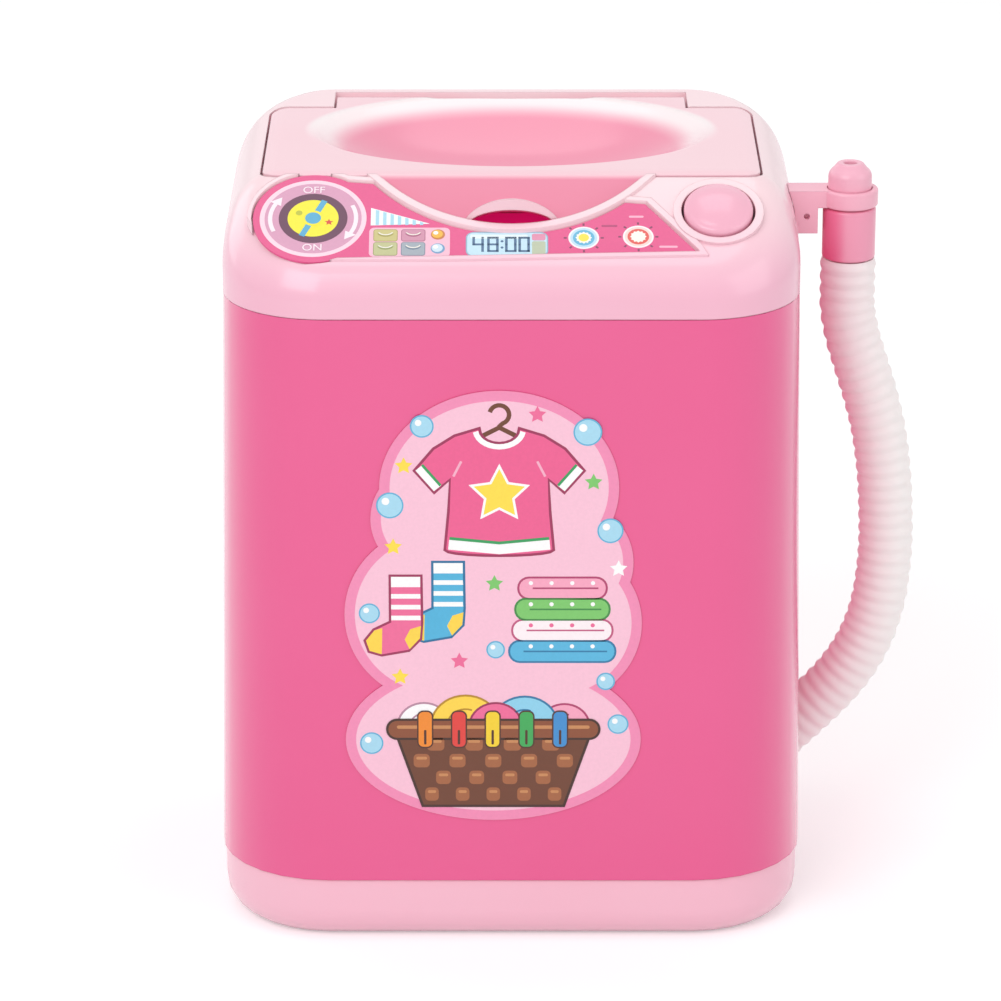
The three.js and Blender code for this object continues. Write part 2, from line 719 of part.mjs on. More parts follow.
function makeCap() {
  const outer = capBlock(0, 0, CAP_SEAM_Z + SEAM_GAP);
  const inner = capBlock(CAP_WALL, CAP_WALL, CAP_SEAM_Z - OVERRUN);
  const lipTop = CAP_SEAM_Z + LIP_LENGTH;
  const lipBottom = FLANGE_Z + FLANGE_THICKNESS + SEAT_GAP;
  const lipOuter = housing(BODY_WALL + LIP_GAP, lipBottom, lipTop);
  const lipInner = housing(BODY_WALL + LIP_GAP + LIP_WALL, lipBottom - OVERRUN, lipTop + OVERRUN);
  const collar = cut(outer, capBlock(COLLAR_DEPTH, 0, CAP_SEAM_Z - OVERRUN))
    .intersect(lidPrism(COLLAR_WIDTH, CAP_SEAM_Z, farUp));
  const seat = cut(
    lidPrism(LID_GAP, CAP_SEAM_Z, farUp, LID_SHOULDER_EASE),
    capBlock(LEDGE_DEPTH, 0, CAP_SEAM_Z - OVERRUN),
  );
  const mouth = lidPrism(-LEDGE_WIDTH, CAP_SEAM_Z - OVERRUN, farUp);
  const scoopMouth = scoopPrism(LID_GAP, CAP_SEAM_Z - OVERRUN, farUp);
  const rimOuter = SCOOP_RADIUS + LID_GAP + RIM_WIDTH;
  const rimRing = cut(
    drum(0, scoopCentreY, rimOuter, CAP_SEAM_Z, farUp, 2 * LARGE_CIRCLE_SIDES),
    drum(
      0,
      scoopCentreY,
      SCOOP_RADIUS + LID_GAP,
      CAP_SEAM_Z - OVERRUN,
      farUp + OVERRUN,
      2 * LARGE_CIRCLE_SIDES,
    ),
  ).intersect(block(-farOut, farOut, -farOut, CONSOLE_Y - LID_GAP, CAP_SEAM_Z, farUp));
  const rim = cut(
    capBlock(-RIM_HEIGHT, 0, CAP_SEAM_Z + SEAM_GAP),
    capBlock(CAP_WALL / 2, 0, CAP_SEAM_Z - OVERRUN),
  )
    .intersect(rimRing);
  const frame = cut(
    labelPrism(FRAME_WIDTH).intersect(consoleSlab(-CAP_WALL / 2, FRAME_HEIGHT)),
    labelPrism(LABEL_POCKET_GAP),
  ).intersect(housing(CAP_FRONT_ROUND, CAP_SEAM_Z, farUp));
  const pocketDepth = LABEL_THICKNESS + LABEL_GAP;
  const pocket = labelPrism(LABEL_POCKET_GAP).intersect(consoleSlab(-pocketDepth, CAP_WALL));
  const sleeve = moved(
    drum(0, 0, wellRadius + WELL_WALL, -WELL_DEPTH - WELL_FLOOR, WELL_RIM, LARGE_CIRCLE_SIDES),
    buttonFrame,
  );
  const well = moved(
    drum(0, 0, wellRadius, -WELL_DEPTH, farUp - CAP_SEAM_Z, LARGE_CIRCLE_SIDES),
    buttonFrame,
  );
  const stemHole = moved(drum(0, 0, STEM_RADIUS + STEM_GAP, -2 * WELL_DEPTH, OVERRUN), buttonFrame);
  const ears = bothSides((side) => {
    const [x0, x1] = signedSpan(side, earInnerX, earInnerX + EAR_LENGTH);
    const y0 = HINGE_Y - EAR_WIDTH / 2;
    const z0 = hingeZ - EAR_WIDTH / 2;
    return block(x0, x1, y0, y0 + EAR_WIDTH, z0, HOUSING_HEIGHT - CAP_WALL / 2);
  });
  const pinBores = bothSides((side) => {
    const [x0, x1] = signedSpan(side, earInnerX - OVERRUN, earInnerX + EAR_LENGTH - OVERRUN);
    return hingeAxisRod(x0, x1, HINGE_PIN_RADIUS + PIN_GAP);
  });
  const sweep = rodAlongX(
    -knuckleOuterX - LID_GAP,
    knuckleOuterX + LID_GAP,
    HINGE_Y,
    hingeZ,
    HINGE_RADIUS + LID_GAP,
  );
  const shell = unite(cut(outer, inner), cut(lipOuter, lipInner), collar, rim, frame, ears, sleeve);
  return cut(
    shell,
    seat,
    mouth,
    scoopMouth,
    pocket,
    well,
    stemHole,
    pinBores,
    sweep,
    makeBracketTongue(SEAT_GAP),
  );
}

place(housingGroup, 'top_cap', finishes.paleAbs, makeCap());

// Lid: a shell that follows the cap, with a soap dish, a front scoop and a finger hood

function dishBowl(sink) {
  const reach = DISH_LENGTH / 2 + sink / 2;
  const rise = farUp - HOUSING_HEIGHT;
  const profile = [[0, -DISH_SINK - sink]];
  const steps = 2 * ROUND_STEPS;
  for (let i = 1; i <= steps; i++) {
    const share = i / steps;
    const fall = DISH_SINK * (1 - share ** DISH_BOTTOM_POWER) ** DISH_FLANK_POWER;
    profile.push([reach * share, -fall - sink]);
  }
  profile.push([reach, rise], [0, rise]);
  const frame = new THREE.Matrix4()
    .makeScale(1, (DISH_REAR_Y - DISH_FRONT_Y) / DISH_LENGTH, 1)
    .setPosition(0, (DISH_REAR_Y + DISH_FRONT_Y) / 2, HOUSING_HEIGHT);
  return moved(turned(profile, 2 * CIRCLE_SIDES), frame);
}

const scoopSlope = SCOOP_DROP / SCOOP_REACH;
const lidFrontZ = capTop(CONSOLE_Y);

function scoopFloorZ(y) {
  return lidFrontZ - scoopSlope * (CONSOLE_Y - y);
}

function hoodDome(shrink) {
  const geometry = new THREE.SphereGeometry(1, CIRCLE_SIDES, SMALL_CIRCLE_SIDES);
  geometry.rotateX(Math.PI / 2);
  geometry.scale(HOOD_WIDTH / 2 - shrink, HOOD_REACH - shrink, HOOD_HEIGHT - shrink / 2);
  const y = CONSOLE_Y - SCOOP_REACH;
  geometry.translate(0, y, scoopFloorZ(y));
  return solid(geometry);
}

function makeLid() {
  const outline = lidPrism(0, CAP_SEAM_Z, farUp);
  const shell = cut(capBlock(0, 0, CAP_SEAM_Z), capBlock(LID_THICKNESS, 0, CAP_SEAM_Z - OVERRUN));
  const behindCrease = block(-farOut, farOut, CONSOLE_Y, farOut, CAP_SEAM_Z, farUp);
  const plate = shell.intersect(outline).intersect(behindCrease);
  const bowl = dishBowl(DISH_WALL).intersect(capBlock(0, 0, CAP_SEAM_Z)).intersect(outline);
  const y0 = CONSOLE_Y - SCOOP_REACH - OVERRUN;
  const y1 = CONSOLE_Y + LID_THICKNESS;
  const scoopProfile = [
    [y0, scoopFloorZ(y0)],
    [y0, scoopFloorZ(y0) - SCOOP_WALL],
    [CONSOLE_Y, lidFrontZ - SCOOP_WALL],
    [y1, lidFrontZ - SCOOP_WALL / 2],
    [y1, lidFrontZ - SCOOP_WALL / 4],
    [CONSOLE_Y, lidFrontZ],
  ];
  const scoop = beam(
    scoopProfile,
    -SCOOP_RADIUS,
    SCOOP_RADIUS,
  ).intersect(scoopPrism(0, CAP_SEAM_Z, farUp)
    .add(block(-SCOOP_RADIUS / 2, SCOOP_RADIUS / 2, CONSOLE_Y, y1, CAP_SEAM_Z, farUp)));
  const scoopReach = SCOOP_REACH + OVERRUN;
  const aboveScoop = beam([
    [CONSOLE_Y - scoopReach, scoopFloorZ(CONSOLE_Y - scoopReach) - SCOOP_WALL],
    [CONSOLE_Y, lidFrontZ - SCOOP_WALL],
    [CONSOLE_Y, farUp],
    [CONSOLE_Y - scoopReach, farUp],
  ], -HOOD_WIDTH, HOOD_WIDTH);
  const hood = hoodDome(0).intersect(scoopPrism(0, CAP_SEAM_Z, farUp)).intersect(aboveScoop);
  const knuckles = bothSides((side) => {
    const [x0, x1] = signedSpan(side, knuckleOuterX - KNUCKLE_LENGTH, knuckleOuterX);
    return rodAlongX(x0, x1, HINGE_Y, hingeZ, HINGE_RADIUS);
  });
  const bores = bothSides((side) => {
    const [x0, x1] = signedSpan(side, knuckleOuterX - KNUCKLE_LENGTH / 2, knuckleOuterX + OVERRUN);
    return hingeAxisRod(x0, x1, HINGE_PIN_RADIUS + PIN_GAP);
  });
  const rearEdge = cut(
    block(-farOut, farOut, HINGE_Y, farOut, CAP_SEAM_Z, farUp),
    rodAlongX(-farOut, farOut, HINGE_Y, hingeZ, HINGE_RADIUS - HINGE_SINK / 2),
  );
  const body = cut(unite(plate, bowl, scoop, hood), rearEdge).add(knuckles);
  return cut(body, dishBowl(0), hoodDome(HOOD_WALL), bores);
}

place(lidGroup, 'lid', finishes.lidAbs, makeLid());

const pinInnerX = earInnerX + EAR_LENGTH - OVERRUN - SEAT_GAP - HINGE_PIN_LENGTH;
for (const [side, name] of [[-1, 'hinge_pin_left'], [1, 'hinge_pin_right']]) {
  const [x0, x1] = signedSpan(side, pinInnerX, pinInnerX + HINGE_PIN_LENGTH);
  place(lidGroup, name, finishes.zincSteel, hingeAxisRod(x0, x1, HINGE_PIN_RADIUS));
}

// Printed control panel label in its pocket

const label = labelPrism(0).intersect(consoleSlab(-LABEL_THICKNESS, 0));
place(housingGroup, 'panel_label', finishes.labelFilm, label);

// Push button, its return spring and the switch below it

function makeButton() {
  const foot = BUTTON_STAND - BUTTON_SKIRT;
  const profile = [
    [0, -STEM_REACH],
    [STEM_RADIUS, -STEM_REACH],
    [STEM_RADIUS, foot],
    [BUTTON_RADIUS, foot],
    [BUTTON_RADIUS, BUTTON_STAND],
  ];
  for (let i = 1; i <= ROUND_STEPS; i++) {
    const a = (i / ROUND_STEPS) * (Math.PI / 2);
    profile.push([BUTTON_RADIUS * Math.cos(a), BUTTON_STAND + BUTTON_DOME * Math.sin(a)]);
  }
  profile[profile.length - 1][0] = 0;
  return moved(turned(profile, LARGE_CIRCLE_SIDES), buttonFrame);
}

place(buttonGroup, 'push_button', finishes.buttonAbs, makeButton());

function helixPoints(radiusLow, radiusHigh, z0, z1, turns) {
  const count = Math.round(turns * HELIX_STEPS_PER_TURN);
  return Array.from({ length: count + 1 }, (_, i) => {
    const share = i / count;
    const a = 2 * Math.PI * turns * share;
    const r = radiusLow + (radiusHigh - radiusLow) * share;
    return new THREE.Vector3(r * Math.cos(a), r * Math.sin(a), z0 + (z1 - z0) * share);
  });
}

// The least room between a coil's own turns, from each point to those over half a turn on
function leastTurnGap(points, wire) {
  const gaps = points.flatMap((from, i) =>
    points.slice(i + HELIX_STEPS_PER_TURN / 2 + 1).map((to) => from.distanceTo(to) - 2 * wire));
  return Math.min(...gaps);
}

function coil(radiusLow, radiusHigh, z0, z1, turns, wire) {
  const points = helixPoints(radiusLow, radiusHigh, z0, z1, turns);
  console.log(`least gap between turns: ${leastTurnGap(points, wire).toFixed(2)} mm`);
  return tube(points, wire, points.length - 1, WIRE_SIDES);
}

const springBottom = -WELL_DEPTH + SEAT_GAP + SPRING_WIRE;
const springTop = BUTTON_STAND - BUTTON_SKIRT - SEAT_GAP - SPRING_WIRE;
const buttonCoil = coil(
  SPRING_RADIUS,
  SPRING_RADIUS,
  springBottom,
  springTop,
  SPRING_TURNS,
  SPRING_WIRE,
);
place(buttonGroup, 'button_spring', finishes.zincSteel, moved(buttonCoil, buttonFrame));

function makeSwitch() {
  const top = -WELL_DEPTH - WELL_FLOOR - SEAT_GAP;
  const half = SWITCH_SIZE / 2;
  const bore = drum(0, 0, STEM_RADIUS + STEM_GAP, top - SWITCH_BORE_DEPTH, top + OVERRUN);
  return moved(cut(block(-half, half, -half, half, top - SWITCH_HEIGHT, top), bore), buttonFrame);
}

place(buttonGroup, 'button_switch', finishes.blackPlastic, makeSwitch());

// Wash tub

const tubMiddleY = (TUB_FRONT_Y + TUB_REAR_Y) / 2;
const tubFloorZ = TUB_UNDERSIDE_Z + TUB_WALL;

function tubLevel(z, inset) {
  const taper = (TUB_TAPER * (TUB_TOP_Z - z)) / (TUB_TOP_Z - TUB_UNDERSIDE_Z);
  const grow = -taper - inset;
  return {
    halfWidth: TUB_TOP_WIDTH / 2 + grow,
    front: TUB_FRONT_Y - grow,
    rear: TUB_REAR_Y + grow,
    cornerX: TUB_CORNER + grow,
    cornerFront: TUB_CORNER + grow,
    cornerRear: TUB_CORNER + grow,
    z: () => z,
  };
}

function tubBlock(inset, bottomZ, topZ) {
  const levels = [];
  for (let i = 0; i <= ROUND_STEPS; i++) {
    const a = (i / ROUND_STEPS) * (Math.PI / 2);
    const z = bottomZ + TUB_FLOOR_ROUND * (1 - Math.cos(a));
    levels.push(tubLevel(z, inset + TUB_FLOOR_ROUND * (1 - Math.sin(a))));
  }
  levels.push(tubLevel(topZ, inset));
  return softBlock(levels);
}

const bossBottomZ = TUB_UNDERSIDE_Z - BEARING_BOSS_LENGTH;
const bushRadius = SHAFT_RADIUS + PIN_GAP + BUSH_WALL;

function makeTub() {
  const inside = tubBlock(TUB_WALL, tubFloorZ, TUB_TOP_Z + OVERRUN);
  const flange = housing(BODY_WALL + LIP_GAP, FLANGE_Z, FLANGE_Z + FLANGE_THICKNESS);
  const shelfReach = drum(
    0,
    scoopCentreY,
    SCOOP_RADIUS - SHELF_SETBACK,
    CAP_SEAM_Z,
    farUp,
    2 * LARGE_CIRCLE_SIDES,
  )
    .intersect(block(-farOut, farOut, -farOut, TUB_FRONT_Y + TUB_WALL, CAP_SEAM_Z, farUp));
  const shelf = cut(
    capBlock(SHELF_DEPTH, 0, CAP_SEAM_Z),
    capBlock(SHELF_DEPTH + SHELF_THICKNESS, 0, CAP_SEAM_Z - OVERRUN),
  ).intersect(shelfReach);
  const bearingBoss = drum(0, tubMiddleY, BEARING_BOSS_RADIUS, bossBottomZ, tubFloorZ);
  const drainBoss = drum(
    DRAIN_X,
    HOSE_Y,
    DRAIN_BOSS_RADIUS,
    TUB_UNDERSIDE_Z - DRAIN_BOSS_LENGTH,
    tubFloorZ,
  );
  const sealSeat = drum(
    0,
    tubMiddleY,
    SEAL_RADIUS + PIN_GAP,
    tubFloorZ - SEAL_THICKNESS - SEAT_GAP,
    farUp,
  );
  const bushBore = drum(
    0,
    tubMiddleY,
    bushRadius + PIN_GAP,
    bossBottomZ - OVERRUN,
    tubFloorZ + OVERRUN,
  );
  const drainHole = drum(
    DRAIN_X,
    HOSE_Y,
    DRAIN_HOLE_RADIUS,
    TUB_UNDERSIDE_Z - OVERRUN,
    tubFloorZ + TUB_FLOOR_ROUND,
  );
  const pipeBottom = TUB_UNDERSIDE_Z - DRAIN_BOSS_LENGTH - OVERRUN;
  const pipeBore = drum(DRAIN_X, HOSE_Y, ELBOW_RADIUS + SEAT_GAP, pipeBottom, TUB_UNDERSIDE_Z);
  const walls = unite(tubBlock(0, TUB_UNDERSIDE_Z, TUB_TOP_Z), flange, shelf, drainBoss);
  const wireHole = drum(
    FLANGE_HOLE_X,
    FLANGE_HOLE_Y,
    FLANGE_HOLE_RADIUS,
    FLANGE_Z - OVERRUN,
    FLANGE_Z + 2 * FLANGE_THICKNESS,
  );
  return cut(cut(walls, inside).add(bearingBoss), sealSeat, bushBore, drainHole, pipeBore, wireHole);
}

place(housingGroup, 'wash_tub', finishes.magentaPlastic, makeTub());

// Pulsator, its shaft, bush and seal

const driveGroup = addGroup(machine, 'drive', standingAt(0, tubMiddleY, PLATE_Z));

function ringAt(outer, inner, z0, z1) {
  return cut(
    drum(0, tubMiddleY, outer, z0, z1),
    drum(0, tubMiddleY, inner, z0 - OVERRUN, z1 + OVERRUN),
  );
}

const pulsatorZ = tubFloorZ + 2 * SEAT_GAP;

function makePulsator() {
  const disc = drum(
    0,
    tubMiddleY,
    PULSATOR_RADIUS,
    pulsatorZ,
    pulsatorZ + PULSATOR_DISC,
    LARGE_CIRCLE_SIDES,
  );
  const hub = drum(0, tubMiddleY, PULSATOR_HUB_RADIUS, pulsatorZ, pulsatorZ + PULSATOR_HUB_HEIGHT);
  const bladeTop = pulsatorZ + PULSATOR_DISC + PULSATOR_BLADE_HEIGHT;
  const halfBlade = PULSATOR_BLADE_WIDTH / 2;
  const reach = PULSATOR_RADIUS - OVERRUN;
  const blades = Array.from({ length: PULSATOR_BLADES }, (_, i) => {
    const blade = block(0, reach, -halfBlade, halfBlade, pulsatorZ, bladeTop);
    const turn = new THREE.Matrix4().makeRotationZ((2 * Math.PI * i) / PULSATOR_BLADES);
    return moved(blade, turn.setPosition(0, tubMiddleY, 0));
  });
  const bore = drum(
    0,
    tubMiddleY,
    SHAFT_RADIUS + PIN_GAP,
    pulsatorZ - OVERRUN,
    pulsatorZ + SHAFT_ENTRY + SEAT_GAP,
  );
  return cut(unite(disc, hub, ...blades), bore);
}

const plateTopZ = PLATE_Z + PLATE_THICKNESS;
const lowerLayerZ = plateTopZ + GEAR_LAYER_GAP;
const upperLayerZ = lowerLayerZ + GEAR_WIDTH + GEAR_LAYER_GAP;

place(driveGroup, 'pulsator', finishes.pulsatorPlastic, makePulsator());
place(
  driveGroup,
  'drive_shaft',
  finishes.shaftSteel,
  drum(0, tubMiddleY, SHAFT_RADIUS, PLATE_Z - SEAT_GAP, pulsatorZ + SHAFT_ENTRY),
);
place(
  driveGroup,
  'shaft_bush',
  finishes.brass,
  ringAt(bushRadius, SHAFT_RADIUS + PIN_GAP, bossBottomZ, tubFloorZ - SEAL_THICKNESS - 2 * SEAT_GAP),
);
place(
  driveGroup,
  'shaft_seal',
  finishes.rubber,
  ringAt(SEAL_RADIUS, SHAFT_RADIUS + PIN_GAP, tubFloorZ - SEAL_THICKNESS, tubFloorZ),
);

// Gear train: motor pinion, compound gear, output gear

function pitchRadius(teeth) {
  return (GEAR_MODULE * teeth) / 2;
}

const toothShares = [[-0.3, 0], [-0.11, 1], [0.11, 1], [0.3, 0]];

function gearShape(teeth, phase) {
  const pitch = (2 * Math.PI) / teeth;
  const root = pitchRadius(teeth) - GEAR_DEDENDUM;
  const tip = pitchRadius(teeth) + GEAR_ADDENDUM;
  const points = [];
  for (let i = 0; i < teeth; i++) {
    for (const [turnShare, heightShare] of toothShares) {
      const a = phase + (i + turnShare) * pitch;
      const r = root + (tip - root) * heightShare;
      points.push(new THREE.Vector2(r * Math.cos(a), r * Math.sin(a)));
    }
  }
  return new THREE.Shape(points);
}

function gear(centre, teeth, phase, z0, z1) {
  return moved(
    prism(gearShape(teeth, phase), z0, z1),
    new THREE.Matrix4().makeTranslation(centre.x, centre.y, 0),
  );
}

function stepTo(from, distance, angle) {
  return new THREE.Vector2(from.x + distance * Math.cos(angle), from.y + distance * Math.sin(angle));
}

const compoundAngle = THREE.MathUtils.degToRad(COMPOUND_BEARING_DEG);
const motorAngle = THREE.MathUtils.degToRad(MOTOR_BEARING_DEG);
const outputCentre = new THREE.Vector2(0, tubMiddleY);
const compoundCentre = stepTo(
  outputCentre,
  pitchRadius(OUTPUT_TEETH) + pitchRadius(PINION_TEETH),
  compoundAngle,
);
const motorCentre = stepTo(
  compoundCentre,
  pitchRadius(COMPOUND_TEETH) + pitchRadius(PINION_TEETH),
  motorAngle,
);
const compoundGroup = addGroup(
  driveGroup,
  'compound',
  standingAt(compoundCentre.x, compoundCentre.y, PLATE_Z),
);
const motorFrame = new THREE.Matrix4()
  .makeRotationZ(motorAngle + Math.PI / 2)
  .setPosition(motorCentre.x, motorCentre.y, 0);
const motorGroup = addGroup(driveGroup, 'motor_and_pinion', motorFrame);
const halfPinionPitch = Math.PI / PINION_TEETH;
const upperLayerTop = upperLayerZ + OUTPUT_GEAR_WIDTH;
const lowerLayerTop = lowerLayerZ + GEAR_WIDTH;

const outputGear = cut(
  gear(outputCentre, OUTPUT_TEETH, compoundAngle, upperLayerZ, upperLayerTop),
  drum(0, tubMiddleY, SHAFT_RADIUS + PIN_GAP, upperLayerZ - OVERRUN, upperLayerTop + OVERRUN),
);
place(driveGroup, 'output_gear', finishes.acetal, outputGear);

const compoundBore = drum(
  compoundCentre.x,
  compoundCentre.y,
  GEAR_AXLE_RADIUS + PIN_GAP,
  lowerLayerZ - OVERRUN,
  upperLayerTop + OVERRUN,
  SMALL_CIRCLE_SIDES,
);
const compoundGear = cut(
  unite(
    gear(compoundCentre, COMPOUND_TEETH, motorAngle, lowerLayerZ, lowerLayerTop),
    gear(
      compoundCentre,
      PINION_TEETH,
      compoundAngle + Math.PI - halfPinionPitch,
      lowerLayerZ + OVERRUN,
      upperLayerTop,
    ),
  ),
  compoundBore,
);
place(compoundGroup, 'compound_gear', finishes.acetal, compoundGear);

const axleTop = upperLayerTop + SEAT_GAP;
const axleBottom = PLATE_Z - SEAT_GAP;
place(
  compoundGroup,
  'gear_axle',
  finishes.shaftSteel,
  drum(compoundCentre.x, compoundCentre.y, GEAR_AXLE_RADIUS, axleBottom, axleTop, SMALL_CIRCLE_SIDES),
);

const motorTopZ = PLATE_Z - SEAT_GAP;
const motorShaftTop = lowerLayerTop;
const motorPinion = cut(
  gear(motorCentre, PINION_TEETH, motorAngle + Math.PI - halfPinionPitch, lowerLayerZ, lowerLayerTop),
  drum(
    motorCentre.x,
    motorCentre.y,
    MOTOR_SHAFT_RADIUS + PIN_GAP,
    lowerLayerZ - OVERRUN,
    lowerLayerTop + OVERRUN,
    SMALL_CIRCLE_SIDES,
  ),
);
place(motorGroup, 'motor_pinion', finishes.acetal, motorPinion);
place(
  motorGroup,
  'motor_shaft',
  finishes.shaftSteel,
  drum(
    motorCentre.x,
    motorCentre.y,
    MOTOR_SHAFT_RADIUS,
    motorTopZ - MOTOR_BORE_DEPTH + SEAT_GAP,
    motorShaftTop,
    SMALL_CIRCLE_SIDES,
  ),
);

// Motor, turned so that its two screws clear the compound gear

const motorScrewPlaces = [-1, 1].map((side) =>
  new THREE.Vector3(side * MOTOR_SCREW_OFFSET, 0, 0).applyMatrix4(motorFrame));

function makeMotor() {
  const can = drum(0, 0, MOTOR_WIDTH / 2, motorTopZ - MOTOR_HEIGHT, motorTopZ, LARGE_CIRCLE_SIDES);
  const flats = block(-MOTOR_WIDTH, MOTOR_WIDTH, -MOTOR_FLAT / 2, MOTOR_FLAT / 2, 0, farUp);
  const shaftBore = drum(
    0,
    0,
    MOTOR_SHAFT_RADIUS + PIN_GAP,
    motorTopZ - MOTOR_BORE_DEPTH,
    farUp,
    SMALL_CIRCLE_SIDES,
  );
  const screwBores = [-1, 1].map((side) => drum(
    side * MOTOR_SCREW_OFFSET,
    0,
    MOTOR_SCREW_RADIUS + PIN_GAP,
    motorTopZ - MOTOR_SCREW_DEPTH - SEAT_GAP,
    farUp,
    SMALL_CIRCLE_SIDES,
  ));
  return moved(cut(can.intersect(flats), shaftBore, ...screwBores), motorFrame);
}

place(motorGroup, 'motor', finishes.motorSteel, makeMotor());

// Gear plate on three posts of the base tray

const posts = [
  new THREE.Vector2(POST_LEFT_X, POST_LEFT_Y),
  new THREE.Vector2(POST_FRONT_X, POST_FRONT_Y),
  new THREE.Vector2(POST_RIGHT_X, POST_RIGHT_Y),
];
const postTopZ = PLATE_Z - SEAT_GAP;

// The outline drawn tight round equal circles, given counter-clockwise
function tightShape(centres, radius) {
  const shape = new THREE.Shape();
  const facing = centres.map((from, i) => {
    const to = centres[(i + 1) % centres.length];
    return Math.atan2(to.y - from.y, to.x - from.x) - Math.PI / 2;
  });
  centres.forEach((centre, i) => {
    const before = facing[(i + centres.length - 1) % centres.length];
    shape.absarc(centre.x, centre.y, radius, before, facing[i], false);
  });
  return shape;
}

function makeGearPlate() {
  const corners = [posts[0], posts[1], posts[2], outputCentre];
  const plate = prism(tightShape(corners, PLATE_MARGIN), PLATE_Z, plateTopZ);
  const hole = (at, radius) => drum(
    at.x,
    at.y,
    radius,
    PLATE_Z - OVERRUN,
    plateTopZ + OVERRUN,
    SMALL_CIRCLE_SIDES,
  );
  return cut(
    plate,
    hole(outputCentre, SHAFT_RADIUS + 2 * PIN_GAP),
    hole(compoundCentre, GEAR_AXLE_RADIUS + PIN_GAP),
    hole(motorCentre, 2 * MOTOR_SHAFT_RADIUS),
    ...posts.map((post) => hole(post, SMALL_SCREW_RADIUS + PIN_GAP)),
    ...motorScrewPlaces.map((at) => hole(at, MOTOR_SCREW_RADIUS + PIN_GAP)),
  );
}

place(driveGroup, 'gear_plate', finishes.naturalPlastic, makeGearPlate());

function screwDown(at, seatZ, radius, length, headRadius, headHeight) {
  const profile = [
    [0, seatZ - length],
    [radius, seatZ - length + radius],
    [radius, seatZ],
    [headRadius, seatZ],
    [headRadius, seatZ + headHeight / 2],
    [headRadius / 2, seatZ + headHeight],
    [0, seatZ + headHeight],
  ];
  return moved(turned(profile, SMALL_CIRCLE_SIDES), new THREE.Matrix4().makeTranslation(at.x, at.y, 0));
}

posts.forEach((post, i) => {
  const screw = screwDown(
    post,
    plateTopZ,
    SMALL_SCREW_RADIUS,
    SMALL_SCREW_LENGTH,
    SMALL_SCREW_HEAD,
    SMALL_SCREW_HEAD_HEIGHT,
  );
  place(driveGroup, `gear_plate_screw_${i + 1}`, finishes.zincSteel, screw);
});
motorScrewPlaces.forEach((at, i) => {
  const length = PLATE_THICKNESS + SEAT_GAP + MOTOR_SCREW_DEPTH;
  const screw = screwDown(
    at,
    plateTopZ,
    MOTOR_SCREW_RADIUS,
    length,
    2 * MOTOR_SCREW_RADIUS,
    MOTOR_SCREW_RADIUS,
  );
  place(motorGroup, `motor_screw_${i + 1}`, finishes.zincSteel, screw);
});

// Batteries in a box that opens through the rear wall

const cellLow = BATTERY_BOX_Z + BATTERY_BOX_WALL + SEAT_GAP + CELL_RADIUS;
const cellHigh = cellLow + 2 * CELL_RADIUS + CELL_GAP;
const cellY = BATTERY_BOX_FRONT_Y + BATTERY_BOX_WALL + SEAT_GAP + CELL_RADIUS;
const boxTopZ = cellHigh + CELL_RADIUS + SEAT_GAP + BATTERY_BOX_WALL;
const cellTotal = CELL_LENGTH + CELL_NUB_LENGTH;
const contactHalf = (cellTotal + 3 * SEAT_GAP + CONTACT_SPRING) / 2;
const boxHalf = contactHalf + CONTACT_THICKNESS + SEAT_GAP;
const powerGroup = addGroup(machine, 'power', standingAt(0, cellY, BATTERY_BOX_Z));
const rearInnerY = REAR_Y - BODY_WALL;
const boxRearY = rearInnerY - SEAT_GAP;

function makeBatteryBox() {
  const wall = BATTERY_BOX_WALL;
  const outer = block(
    -boxHalf - wall,
    boxHalf + wall,
    BATTERY_BOX_FRONT_Y,
    boxRearY,
    BATTERY_BOX_Z,
    boxTopZ,
  );
  const inner = block(
    -boxHalf,
    boxHalf,
    BATTERY_BOX_FRONT_Y + wall,
    boxRearY + OVERRUN,
    BATTERY_BOX_Z + wall,
    boxTopZ - wall,
  );
  const doors = [cellLow, cellHigh].map((z) =>
    rearDrum(
      contactHalf - WIRE_RADIUS / 2,
      z,
      2 * WIRE_RADIUS,
      0,
      BATTERY_BOX_FRONT_Y + 2 * wall,
      SMALL_CIRCLE_SIDES,
    ));
  return cut(outer, inner, ...doors);
}

place(powerGroup, 'battery_box', finishes.whitePlastic, makeBatteryBox());

function makeCell(nubSide, z) {
  const start = -contactHalf + SEAT_GAP + CONTACT_SPRING;
  const profile = [
    [0, start],
    [CELL_RADIUS, start],
    [CELL_RADIUS, start + CELL_LENGTH],
    [CELL_NUB_RADIUS, start + CELL_LENGTH],
    [CELL_NUB_RADIUS, start + cellTotal],
    [0, start + cellTotal],
  ];
  const frame = new THREE.Matrix4().makeRotationY((nubSide * Math.PI) / 2).setPosition(0, cellY, z);
  return moved(turned(profile), frame);
}

place(powerGroup, 'battery_lower', finishes.cellJacket, makeCell(1, cellLow));
place(powerGroup, 'battery_upper', finishes.cellJacket, makeCell(-1, cellHigh));

function contactPlate(side, z0, z1) {
  const [x0, x1] = signedSpan(side, contactHalf, contactHalf + CONTACT_THICKNESS);
  return block(x0, x1, cellY - CONTACT_WIDTH / 2, cellY + CONTACT_WIDTH / 2, z0, z1);
}

function contactCoil(side, z) {
  const r = CONTACT_SPRING_RADIUS;
  const start = -CONTACT_THICKNESS / 2;
  const made = coil(
    r,
    r / 2,
    start,
    CONTACT_SPRING - CONTACT_SPRING_WIRE,
    CONTACT_SPRING_TURNS,
    CONTACT_SPRING_WIRE,
  );
  const frame = new THREE.Matrix4().makeRotationY((-side * Math.PI) / 2).setPosition(
    side * contactHalf,
    cellY,
    z,
  );
  return moved(made, frame);
}

